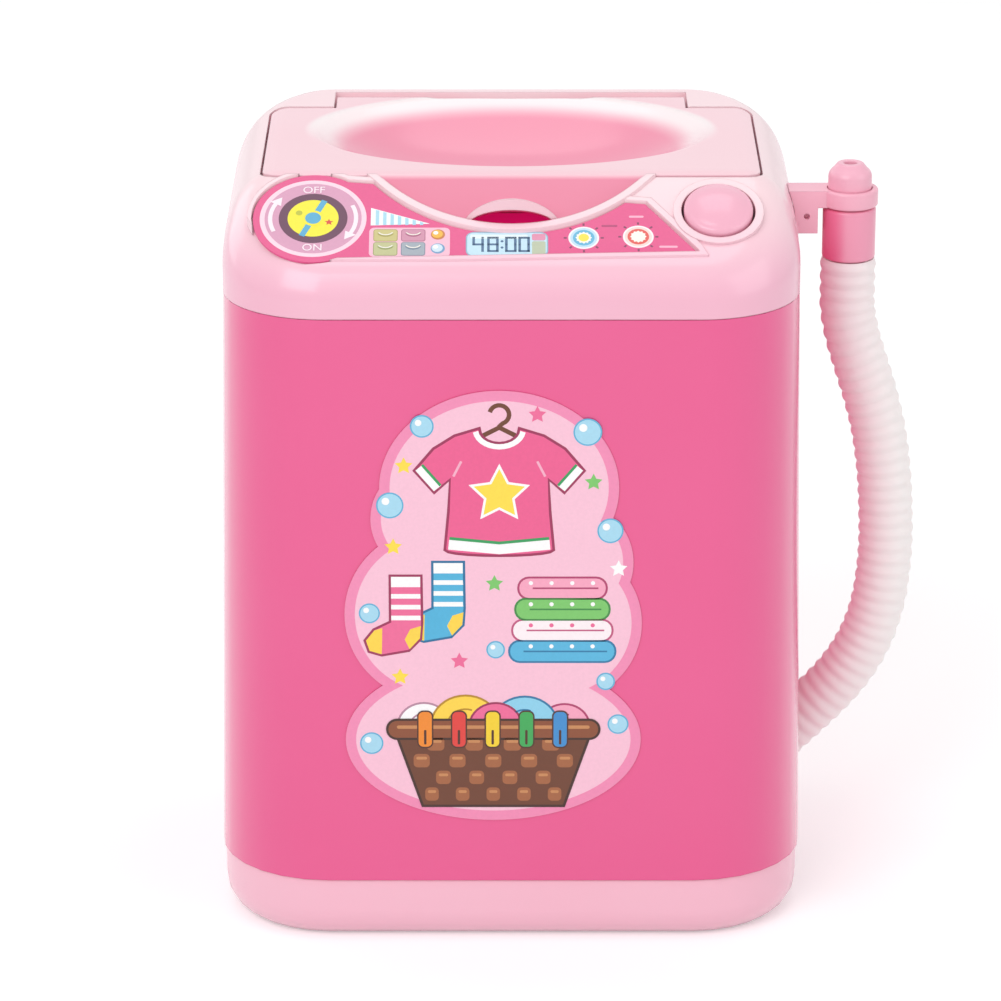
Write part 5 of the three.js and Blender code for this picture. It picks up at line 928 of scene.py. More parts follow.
@dataclass(frozen=True)
class Form:
    """The housing's driving sizes and the surfaces they make, in millimetres."""

    width: float = 95
    depth: float = 77
    height: float = 128
    corner: float = 17
    flare: float = 1.7
    base_seam: float = 11.2
    cap_height: float = 18.5
    seam_gap: float = 0.05
    wall: float = 1.8
    cap_wall: float = 2.4
    side_round: float = 9
    front_round: float = 3.2
    rear_round: float = 3.8
    round_drop: float = 13
    console_run: float = 20.9
    console_drop: float = 11.5
    crease: float = 2.5
    crease_steps: int = 5
    lid_side_margin: float = 6.5
    lid_shoulder_margin: float = 15.8
    lid_tongue_setback: float = 11
    lid_rear_margin: float = 5.9
    lid_corner: float = 3
    lid_gap: float = 0.4
    shoulder_ease: float = 0.5
    lid_thickness: float = 2.2
    scoop_radius: float = 28.6
    scoop_reach: float = 10.3
    scoop_drop: float = 8
    scoop_wall: float = 1.8
    dish_side_margin: float = 7
    dish_front_margin: float = 4.3
    dish_rear_margin: float = 0.9
    overrun: float = 1

    @property
    def dish_length(self) -> float:
        """Length of the soap dish from side to side."""
        return 2 * (self.side - self.lid_side_margin - self.dish_side_margin)

    @property
    def dish_front(self) -> float:
        """Front end of the soap dish."""
        return self.console + self.dish_front_margin

    @property
    def dish_rear(self) -> float:
        """Rear end of the soap dish."""
        return self.lid_rear - self.dish_rear_margin

    @property
    def side(self) -> float:
        """The side face's x at the cap seam."""
        return self.width / 2

    @property
    def rear(self) -> float:
        """The rear face's y at the cap seam."""
        return self.depth / 2

    @property
    def front(self) -> float:
        """The front face's y at the cap seam."""
        return -self.depth / 2

    @property
    def cap_seam(self) -> float:
        """Height of the seam under the cap."""
        return self.height - self.cap_height

    @property
    def console(self) -> float:
        """Where the console's slope meets the flat top."""
        return self.front + self.console_run

    @property
    def slope(self) -> float:
        """Fall of the console for each millimetre forward."""
        return self.console_drop / self.console_run

    @property
    def tilt(self) -> float:
        """Angle of the console to the level."""
        return math.atan(self.slope)

    @property
    def scoop_centre(self) -> float:
        """Centre of the lid's round front."""
        return self.console - self.scoop_reach + self.scoop_radius

    @property
    def lid_rear(self) -> float:
        """Rear edge of the lid."""
        return self.rear - self.lid_rear_margin

    @property
    def far_up(self) -> float:
        """A height above everything."""
        return self.height + self.cap_height

    def flare_at(self, z: float) -> float:
        """How far the body stands out past its size at the cap seam."""
        return self.flare * (self.cap_seam - z) / (self.cap_seam - self.base_seam)

    def cap_top(self, y: float) -> float:
        """Height of the cap's middle at a place from front to rear."""
        ahead = self.console - y
        if ahead <= -self.crease:
            return self.height
        if ahead >= self.crease:
            return self.height - self.slope * ahead
        return self.height - self.slope * (ahead + self.crease) ** 2 / (4 * self.crease)

    def console_plane(self, y: float) -> float:
        """Height of the console's own plane."""
        return self.height - self.slope * (self.console - y)

    def body_level(self, z: float, inset: float) -> Level:
        """The body's outline at a height, drawn in by an inset."""
        grow = self.flare_at(z) - inset
        corner = self.corner + grow
        sides = self.side + grow, self.front - grow, self.rear + grow
        return Level(*sides, corner, corner, corner, lambda y: z)

    def body_block(self, inset: float, z0: float, z1: float) -> Solid:
        """The body's block between two heights, drawn in by an inset."""
        return soft_block([self.body_level(z0, inset), self.body_level(z1, inset)])

    def cap_block(self, sink: float, shrink: float, seam: float | None = None) -> Solid:
        """The cap's soft block.

        Args:
            sink: How far its top lies under the cap's outer face.
            shrink: How far its sides lie in from the outer face.
            seam: Height of its underside.

        Returns:
            The block.
        """
        steps = 12
        bottom = self.cap_seam - self.overrun if seam is None else seam
        levels = []
        for step in range(-1, steps + 1):
            turn = math.pi / 2 * max(step, 0) / steps
            across = 1 - math.cos(turn)
            fall = self.round_drop / self.cap_height * (1 - math.sin(turn))
            sides = [across * r for r in (self.side_round, self.front_round, self.rear_round)]

            def height(y: float, level: bool = step < 0, fall: float = fall) -> float:
                rise = (self.cap_top(y) - self.cap_seam) * (1 - fall)
                return bottom if level else self.cap_seam + rise - sink

            levels.append(Level(
                self.side - shrink - sides[0], self.front + shrink + sides[1], self.rear - shrink - sides[2],
                *(self.corner - shrink - side for side in sides), height,
            ))
        half = self.crease_steps
        breaks = [self.console + self.crease * step / half for step in range(-half, half + 1)]
        return soft_block(levels, breaks)

    def lid_prism(self, offset: float, z0: float, z1: float, ease: float = 0) -> Solid:
        """The lid's outline in plan, grown by an offset and drawn up between two heights."""
        half = self.side - self.lid_side_margin + offset
        tongue = self.side - self.lid_side_margin - self.lid_tongue_setback + offset
        shoulder = self.rear - self.lid_shoulder_margin + offset + ease
        return unite(
            plate(rounded(-half, half, self.console - offset, shoulder, self.lid_corner, 8), z0, z1),
            block(-tongue, tongue, self.console, self.lid_rear + offset, z0, z1),
            self.scoop_prism(offset, z0, z1, self.console + self.lid_corner),
        )

    def scoop_prism(self, offset: float, z0: float, z1: float, rear: float | None = None) -> Solid:
        """The round front of the lid in plan, up to the console's crease."""
        end = self.console + offset if rear is None else rear
        radius = self.scoop_radius + offset
        disc = plate(circle(0, self.scoop_centre, radius, SCOOP_STEPS), z0, z1)
        return common(disc, block(-radius, radius, self.front - self.rear, end, z0, z1))


FORM = Form()


@dataclass(frozen=True)
class PanelForm:
    """Places on the sloping console, in plan and in millimetres."""

    dial_x: float = -32.2
    dial_y: float = -26.6
    field_radius: float = 9.9
    left_margin: float = 3.9
    tip_margin: float = 5.3
    tip_setback: float = 3.8
    top_setback: float = 11.9
    top_drop: float = 6.2
    rim_gap: float = 0.3
    rim_width: float = 1.2
    rim_height: float = 0.6
    pocket_gap: float = 0.25
    frame_width: float = 1
    frame_height: float = 0.35
    film: float = 0.3
    film_gap: float = 0.1
    button_inset: float = 13.8
    button_drop: float = 7.8
    button_radius: float = 5.65
    button_gap: float = 0.4
    well_wall: float = 1.35
    well_depth: float = 6
    well_floor: float = 1.2
    well_rim: float = 0.45
    stem_radius: float = 1.6

    @property
    def button_at(self) -> Point:
        """The push button's centre in plan."""
        return FORM.side - self.button_inset, FORM.console - self.button_drop

    @property
    def console_frame(self) -> Matrix:
        """Frame on the console's plane: x across, y up the slope, z out of it."""
        return Matrix.Translation((0, FORM.console, FORM.height)) @ Matrix.Rotation(FORM.tilt, 4, "X")

    @property
    def button_frame(self) -> Matrix:
        """The same frame moved to the push button's centre."""
        x, y = self.button_at
        return Matrix.Translation((x, y, FORM.cap_top(y))) @ Matrix.Rotation(FORM.tilt, 4, "X")

    def slab(self, low: float, high: float) -> Solid:
        """The slice between two heights over the console's plane."""
        y0 = FORM.front - FORM.overrun
        y1 = FORM.console + FORM.crease
        corners = [(y0, low), (y1, low), (y1, high), (y0, high)]
        return beam([(y, FORM.console_plane(y) + rise) for y, rise in corners], -FORM.width, FORM.width)

    def label(self, offset: float) -> Solid:
        """The printed label's outline in plan, grown by an offset and drawn up as a prism."""
        z0, z1 = FORM.cap_seam, FORM.far_up
        tip_x = self.button_at[0] - self.tip_setback
        tip_y = FORM.front + self.tip_margin
        top_y = FORM.console - self.top_drop
        strip = [
            (self.dial_x, FORM.front + self.left_margin - offset),
            (tip_x + 2 * offset, tip_y - offset),
            (tip_x + offset, tip_y + offset),
            (self.button_at[0] - self.top_setback + offset, top_y + offset),
            (self.dial_x, top_y + self.field_radius / 2 + offset),
        ]
        rim = FORM.scoop_radius + FORM.lid_gap + self.rim_width + self.rim_gap - offset
        under, over = z0 - FORM.overrun, z1 + FORM.overrun
        field = circle(self.dial_x, self.dial_y, self.field_radius + offset, FINE_STEPS, math.cos(FORM.tilt))
        return unite(
            cut(
                plate(strip, z0, z1),
                plate(circle(0, FORM.scoop_centre, rim, SCOOP_STEPS), under, over),
                block(-FORM.width, FORM.width, FORM.console, 0, under, over),
            ),
            plate(field, z0, z1),
        )

    def drum(self, radius: float, low: float, high: float) -> Solid:
        """A round bar about the push button's axis."""
        return barrel(radius, low, high, FINE_STEPS, self.button_frame)


PANEL = PanelForm()


@dataclass(frozen=True)
class HingeForm:
    """The lid's hinge, in millimetres."""

    radius: float = 2.8
    sink: float = 0.2
    setback: float = 3
    knuckle_length: float = 10
    pin_radius: float = 1
    pin_gap: float = 0.15
    ear_length: float = 5.6
    ear_width: float = 6.4

    @property
    def y(self) -> float:
        """The pin's place from front to rear."""
        return FORM.lid_rear - self.setback

    @property
    def z(self) -> float:
        """The pin's height."""
        return FORM.height - self.radius - self.sink

    @property
    def outer_x(self) -> float:
        """Outer end of a knuckle."""
        return FORM.side - FORM.lid_side_margin - FORM.lid_tongue_setback - self.sink

    def rods(self, inner: float, outer: float, radius: float) -> Solid:
        """A pair of bars along the hinge's axis, one on each side."""
        return unite(rod(inner, outer, self.y, self.z, radius), rod(-outer, -inner, self.y, self.z, radius))


HINGE = HingeForm()


@dataclass
class HoseFitting:
    """The pink end fitting over the hose, and the bracket that holds it to the cap."""

    x: float = 56.6
    y: float = -4
    sleeve: float = 4.45
    sleeve_bottom: float = 109.66
    sleeve_top: float = 118.5
    spigot: float = 2.8
    spigot_length: float = 6
    knob: float = 3.65
    knob_top: float = 126
    knob_shoulder: float = 2.4
    knob_round: Point = (1.6, 1.7)
    knob_round_turn: float = 58
    knob_top_radius: float = 1.9
    sleeve_edge: float = 0.5
    bore: float = 1.1
    bore_edge: float = 0.25
    ring: float = 4.75
    ring_bottom: float = 118.8
    ring_height: float = 2.9
    ring_gap: float = 0.14
    ring_edge: float = 0.35
    arm_width: float = 5.2
    gusset_right: float = 51.2
    gusset_bottom: float = 114.4
    mark_radius: float = 0.5
    mark_depth: float = 1
    tongue_setback: float = 1
    tongue_depth: float = 6
    tongue_height: float = 3
    cap_gap: float = 0.06

    def build(self) -> None:
        """Turn the fitting, then cut the bracket to the cap's side."""
        at = Matrix.Translation((self.x, self.y, 0))
        foot = self.sleeve_bottom - self.spigot_length
        edge = self.sleeve_edge
        shoulder = self.knob_top - self.knob_shoulder
        out, up = self.knob_round
        lip = self.bore_edge
        profile = [
            (self.bore, foot),
            (self.spigot, foot),
            (self.spigot, self.sleeve_bottom),
            *arc(self.sleeve - edge, self.sleeve_bottom + edge, edge, edge, -90, 0, 5),
            *arc(self.sleeve - edge, self.sleeve_top - edge, edge, edge, 0, 90, 5),
            (self.knob, self.sleeve_top),
            *arc(self.knob - out, shoulder, out, up, 0, self.knob_round_turn, 9),
            *arc(self.knob_top_radius, self.knob_top - edge, edge, edge, 35, 90, 5),
            *arc(self.bore + lip, self.knob_top - lip, lip, lip, 90, 180, 4),
        ]
        piece = turned(profile, FINE_STEPS, at)
        settle(piece, "fitting_moulding", FITTING_PLASTIC, Body.FITTING, crease_deg=50,
               stands_for=["hose_fitting"])
        self.bracket(at)

    def bracket(self, at: Matrix) -> None:
        """The gusset, arm and ring that grow out of the cap's side.

        Args:
            at: The fitting's axis.
        """
        half = self.arm_width / 2
        inside = FORM.side - FORM.corner / 2
        top = self.ring_bottom + self.ring_height
        edge = self.ring_edge
        ring = turned([
            (0, self.ring_bottom),
            *arc(self.ring - edge, self.ring_bottom + edge, edge, edge, -90, 0, 4),
            *arc(self.ring - edge, top - edge, edge, edge, 0, 90, 4),
            (0, top),
        ], FINE_STEPS, at)
        gusset = block(inside, self.gusset_right, self.y - half, self.y + half, self.gusset_bottom, top)
        arm = block(inside, self.x, self.y - half, self.y + half, self.ring_bottom, top)
        outside = cut(unite(gusset, arm, ring), FORM.cap_block(0, -self.cap_gap))
        mark_x = (self.gusset_right + FORM.side) / 2
        mark_z = (self.gusset_bottom + 2 * self.ring_bottom) / 3
        mark_at = Matrix.Translation((mark_x, self.y - half, mark_z)) @ Matrix.Rotation(math.pi / 2, 4, "X")
        mark = barrel(self.mark_radius, -self.mark_depth, FORM.overrun, 24, mark_at)
        under, over = self.ring_bottom - FORM.overrun, top + FORM.overrun
        drum = barrel(self.knob + self.ring_gap, under, over, FINE_STEPS, at)
        piece = cut(unite(outside, self.tongue(0)), drum, mark)
        settle(piece, "bracket_moulding", BRACKET_PLASTIC, Body.MACHINE, stands_for=["hose_bracket"])

    def tongue(self, gap: float) -> Solid:
        """The tongue that keys the bracket into the cap, grown by a gap."""
        x1 = self.gusset_right - self.tongue_setback
        x0 = x1 - self.tongue_depth - gap
        middle = (self.gusset_bottom + self.ring_bottom) / 2
        across = self.arm_width / 2 - self.tongue_setback + gap
        up = self.tongue_height / 2 + gap
        return block(x0, x1, self.y - across, self.y + across, middle - up, middle + up)


@dataclass
class Cap:
    """The pale top cap: console, lid seat, scoop rim, label frame, button well and hinge ears."""

    collar_depth: float = 4.2
    collar_width: float = 2
    ledge_depth: float = 2.5
    ledge_width: float = 1.6
    lip_wall: float = 1.2
    lip_gap: float = 0.3
    lip_drop: float = 1.9
    lip_length: float = 2.4
    stem_gap: float = 0.3
    tongue_gap: float = 0.3

    def ridge(self) -> Solid:
        """The raised smile-shaped rim round the scoop, rounded over its top."""
        inner = FORM.scoop_radius + FORM.lid_gap
        outer = inner + PANEL.rim_width
        z0, z1 = FORM.cap_seam, FORM.far_up
        ring = cut(
            plate(circle(0, FORM.scoop_centre, outer, SCOOP_STEPS), z0, z1),
            plate(circle(0, FORM.scoop_centre, inner, SCOOP_STEPS), z0 - FORM.overrun, z1 + FORM.overrun),
        )
        ring = common(ring, block(-outer, outer, FORM.front * 2, FORM.console - FORM.lid_gap, z0, z1))
        skin = cut(FORM.cap_block(-PANEL.rim_height, 0, FORM.cap_seam), FORM.cap_block(FORM.cap_wall / 2, 0))
        return common(ring, skin)

    def label_frame(self) -> Solid:
        """The raised frame round the printed label."""
        skin = PANEL.slab(-FORM.cap_wall / 2, PANEL.frame_height)
        trimmed = cut(common(PANEL.label(PANEL.frame_width), skin), PANEL.label(PANEL.pocket_gap))
        return common(trimmed, FORM.body_block(FORM.front_round, FORM.cap_seam, FORM.far_up))

    def ears(self) -> Solid:
        """The two blocks that hold the hinge pins."""
        inner = HINGE.outer_x + FORM.lid_gap
        half = HINGE.ear_width / 2
        place = (HINGE.y - half, HINGE.y + half, HINGE.z - half, FORM.height - FORM.cap_wall / 2)
        spans = [(inner, inner + HINGE.ear_length), (-inner - HINGE.ear_length, -inner)]
        return unite(*(block(x0, x1, *place) for x0, x1 in spans))

    def build(self) -> Solid:
        """Put the cap together and cut its openings."""
        z0, z1 = FORM.cap_seam, FORM.far_up
        shell = cut(FORM.cap_block(0, 0, z0 + FORM.seam_gap), FORM.cap_block(FORM.cap_wall, FORM.cap_wall))
        lip_inset = FORM.wall + self.lip_gap
        foot, head = z0 - self.lip_drop, z0 + self.lip_length
        lip = cut(
            FORM.body_block(lip_inset, foot, head),
            FORM.body_block(lip_inset + self.lip_wall, foot - FORM.overrun, head + FORM.overrun),
        )
        collar = common(
            cut(FORM.cap_block(0, 0, z0), FORM.cap_block(self.collar_depth, 0)),
            FORM.lid_prism(self.collar_width, z0, z1),
        )
        well = PANEL.button_radius + PANEL.button_gap
        sleeve = PANEL.drum(well + PANEL.well_wall, -PANEL.well_depth - PANEL.well_floor, PANEL.well_rim)
        shell = unite(shell, lip, collar, self.ridge(), self.label_frame(), self.ears(), sleeve)
        seat = FORM.lid_prism(FORM.lid_gap, z0, z1, FORM.shoulder_ease)
        pocket_floor = -PANEL.film - PANEL.film_gap
        inner = HINGE.outer_x + FORM.lid_gap
        bore_start = inner - FORM.overrun
        piece = cut(
            shell,
            cut(seat, FORM.cap_block(self.ledge_depth, 0)),
            FORM.lid_prism(-self.ledge_width, z0 - FORM.overrun, z1),
            FORM.scoop_prism(FORM.lid_gap, z0 - FORM.overrun, z1),
            common(PANEL.label(PANEL.pocket_gap), PANEL.slab(pocket_floor, FORM.cap_wall)),
            PANEL.drum(well, -PANEL.well_depth, FORM.cap_height),
            PANEL.drum(PANEL.stem_radius + self.stem_gap, -2 * PANEL.well_depth, FORM.overrun),
            HINGE.rods(bore_start, bore_start + HINGE.ear_length, HINGE.pin_radius + HINGE.pin_gap),
            rod(-inner, inner, HINGE.y, HINGE.z, HINGE.radius + FORM.lid_gap),
            HoseFitting().tongue(self.tongue_gap),
        )
        return settle(piece, "cap_moulding", CAP_PLASTIC, Body.MACHINE, stands_for=["top_cap"],
                      even=True)


@dataclass
class Lid:
    """The lift-up lid: soap dish, round scoop, finger hood and hinge knuckles."""

    dish_sink: float = 9
    dish_fullness: Point = (3, 1.4)
    dish_wall: float = 1.8
    hood_width: float = 17.6
    hood_reach: float = 5.4
    hood_height: float = 7
    hole_half: float = 6.9
    hole_rise: float = 2.4
    hole_centre: float = 122.45
    hole_slope: float = 0.364
    hole_depth: float = 6

    def dish(self, sink: float) -> Solid:
        """The soap dish's hollow, deepened by a wall."""
        length, front, rear = FORM.dish_length, FORM.dish_front, FORM.dish_rear
        reach = (length + sink) / 2
        steps = 24
        inner, outer = self.dish_fullness
        profile = [(0.0, -self.dish_sink - sink)]
        for step in range(1, steps + 1):
            share = step / steps
            profile.append((reach * share, -self.dish_sink * (1 - share ** inner) ** outer - sink))
        profile += [(reach, FORM.cap_height), (0.0, FORM.cap_height)]
        squash = Matrix.Diagonal((1, (rear - front) / length, 1, 1))
        return turned(profile, 128, Matrix.Translation((0, (rear + front) / 2, FORM.height)) @ squash)

    def scoop_floor(self, y: float) -> float:
        """Height of the scoop's upper face."""
        return FORM.cap_top(FORM.console) - FORM.scoop_drop / FORM.scoop_reach * (FORM.console - y)

    def scoop(self) -> Solid:
        """The crescent that dips in front of the lid, with a tab into the plate."""
        y0 = FORM.console - FORM.scoop_reach - FORM.overrun
        y1 = FORM.console + FORM.lid_thickness
        top = FORM.cap_top(FORM.console)
        profile = [
            (y0, self.scoop_floor(y0)),
            (y0, self.scoop_floor(y0) - FORM.scoop_wall),
            (FORM.console, top - FORM.scoop_wall),
            (y1, top - FORM.scoop_wall / 2),
            (y1, top - FORM.scoop_wall / 4),
            (FORM.console, top),
        ]
        half = FORM.scoop_radius / 2
        plan = unite(
            FORM.scoop_prism(0, FORM.cap_seam, FORM.far_up),
            block(-half, half, FORM.console, y1, FORM.cap_seam, FORM.far_up),
        )
        floor = unite(beam(profile, -FORM.scoop_radius, FORM.scoop_radius), self.hood())
        return common(floor, plan)

    def hood(self) -> Solid:
        """The dome over the finger hole, down to the middle of the crescent's wall."""
        y = FORM.console - FORM.scoop_reach
        bm = bmesh.new()
        bmesh.ops.create_uvsphere(bm, u_segments=64, v_segments=32, radius=1)
        size = (self.hood_width / 2, self.hood_reach, self.hood_height)
        bmesh.ops.scale(bm, vec=size, verts=bm.verts)
        bmesh.ops.translate(bm, vec=(0, y, self.scoop_floor(y)), verts=bm.verts)
        return common(object_of(bm), self.over_scoop())

    def over_scoop(self) -> Solid:
        """Everything above the middle of the crescent's wall."""
        y = FORM.console - FORM.scoop_reach - self.hood_reach - FORM.overrun
        middle = FORM.scoop_wall / 2
        profile = [
            (y, self.scoop_floor(y) - middle),
            (FORM.console, self.scoop_floor(FORM.console) - middle),
            (FORM.console, FORM.far_up),
            (y, FORM.far_up),
        ]
        return beam(profile, -self.hood_width, self.hood_width)

    def finger_hole(self) -> Solid:
        """The flat oval hole that slopes down and back through the hood and the crescent."""
        y = FORM.console - FORM.scoop_reach
        oval = circle(0, 0, self.hole_half, 64, self.hole_rise / self.hole_half)
        bm = plate_mesh(oval, -self.hole_depth, self.hole_depth)
        lie = Matrix(((1, 0, 0, 0), (0, 0, 1, y), (0, 1, -self.hole_slope, self.hole_centre), (0, 0, 0, 1)))
        bmesh.ops.transform(bm, matrix=lie, verts=bm.verts)
        bmesh.ops.recalc_face_normals(bm, faces=bm.faces)
        return object_of(bm)

    def build(self) -> Solid:
        """Put the lid together and cut its dish, finger hole and pin bores."""
        z0, z1 = FORM.cap_seam, FORM.far_up
        far = FORM.width
        skin = cut(FORM.cap_block(0, 0, z0), FORM.cap_block(FORM.lid_thickness, 0))
        top = common(skin, common(FORM.lid_prism(0, z0, z1), block(-far, far, FORM.console, far, z0, z1)))
        bowl = common(common(self.dish(self.dish_wall), FORM.cap_block(0, 0, z0)), FORM.lid_prism(0, z0, z1))
        behind = cut(
            block(-far, far, HINGE.y, far, z0, z1),
            rod(-far, far, HINGE.y, HINGE.z, HINGE.radius - HINGE.sink / 2),
        )
        piece = cut(unite(top, bowl, self.scoop()), behind)
        piece = unite(piece, HINGE.rods(HINGE.outer_x - HINGE.knuckle_length, HINGE.outer_x, HINGE.radius))
        bore_start = HINGE.outer_x - HINGE.knuckle_length / 2
        piece = cut(
            piece,
            self.dish(0),
            self.finger_hole(),
            HINGE.rods(bore_start, HINGE.outer_x + FORM.overrun, HINGE.pin_radius + HINGE.pin_gap),
        )
        return settle(piece, "lid_moulding", LID_PLASTIC, Body.LID, stands_for=["lid"],
                      even=True)


@dataclass
class Housing:
    """Body, base, tub and the other CAD shells, smoothed and dressed."""

    shells: tuple[tuple[str, MouldedAbs, Body, str], ...] = (
        ("body_shell", BODY_PLASTIC, Body.MACHINE, "pink_abs"),
        ("base_tray", BASE_PLASTIC, Body.MACHINE, "light_pink_abs"),
        ("wash_tub", TUB_PLASTIC, Body.MACHINE, "magenta_pp"),
        ("battery_cover", BODY_PLASTIC, Body.COVER, "pink_abs"),
    )

    def build(self) -> None:
        """Build the shells and the printed film's base."""
        for node, finish, body, slot in self.shells:
            settle(copy_of(node), f"{node}_moulding", finish, body, stands_for=[node], in_mm=False,
                   even=True)
        film = common(PANEL.label(0), PANEL.slab(-PANEL.film, 0))
        settle(film, "console_film", PANEL_INK, Body.MACHINE, stands_for=["panel_label"])


@dataclass
class Print:
    """Thin inks laid over one flat face, one piece for each colour."""

    name: str
    frame: Matrix
    slot: str
    base: float = 0.0
    layer: float = 0.02
    inks: dict[str, Mesh] = field(default_factory=dict)

    def lay(self, colour: str, points: Sequence[Point], level: int) -> None:
        """Lay one patch of ink.

        Args:
            colour: sRGB hex.
            points: Its outline on the face.
            level: How many layers lie under it.
        """
        low = self.base + level * self.layer
        patch = plate_mesh(points, low, low + self.layer)
        bmesh.ops.transform(patch, matrix=self.frame, verts=patch.verts)
        flat = bpy.data.meshes.new("patch")
        patch.to_mesh(flat)
        patch.free()
        self.inks.setdefault(colour, bmesh.new()).from_mesh(flat)
        bpy.data.meshes.remove(flat)

    def outlined(self, colour: str, line: str, points: Sequence[Point], level: int, width: float = 0.35,
                 ) -> None:
        """Lay a patch with a drawn line round it."""
        self.lay(line, grown(points, width), level)
        self.lay(colour, points, level + 1)

    def build(self) -> None:
        """Turn each ink into a piece."""
        for colour, bm in self.inks.items():
            bmesh.ops.recalc_face_normals(bm, faces=bm.faces)
            ink = PrintedFilm(f"printed_ink_{colour[1:]}", colour)
            settle(object_of(bm), f"{self.name}_{colour[1:]}", ink, Body.MACHINE)


def grown(points: Sequence[Point], width: float) -> list[Point]:
    """An outline moved outwards by a width, corner by corner."""
    count = len(points)
    area = sum(a[0] * b[1] - b[0] * a[1] for a, b in zip(points, [*points[1:], points[0]]))
    side = width if area > 0 else -width
    moved = []
    for i, here in enumerate(points):
        before, after = Vector(points[i - 1]), Vector(points[(i + 1) % count])
        first = (Vector(here) - before).normalized()
        second = (after - Vector(here)).normalized()
        normal = Vector((first.y + second.y, -first.x - second.x))
        reach = side * 2 / max(normal.length_squared, 1.0)
        moved.append((here[0] + normal.x * reach, here[1] + normal.y * reach))
    return moved


def stroke(points: Sequence[Point], width: float) -> list[Point]:
    """The outline of a line of one width drawn through points."""
    left, right = [], []
    for i, here in enumerate(points):
        before, after = Vector(points[max(i - 1, 0)]), Vector(points[min(i + 1, len(points) - 1)])
        along = (after - before).normalized()
        offset = Vector((-along.y, along.x)) * width / 2
        left.append((here[0] + offset.x, here[1] + offset.y))
        right.append((here[0] - offset.x, here[1] - offset.y))
    return [*right, *reversed(left)]


def star(cx: float, cy: float, radius: float, rays: int = 5, inner: float = 0.45) -> list[Point]:
    """Points of a star."""
    turns = [math.pi / 2 + math.pi * i / rays for i in range(2 * rays)]
    reach = [radius * (inner if i % 2 else 1) for i in range(2 * rays)]
    return [(cx + r * math.cos(a), cy + r * math.sin(a)) for r, a in zip(reach, turns)]


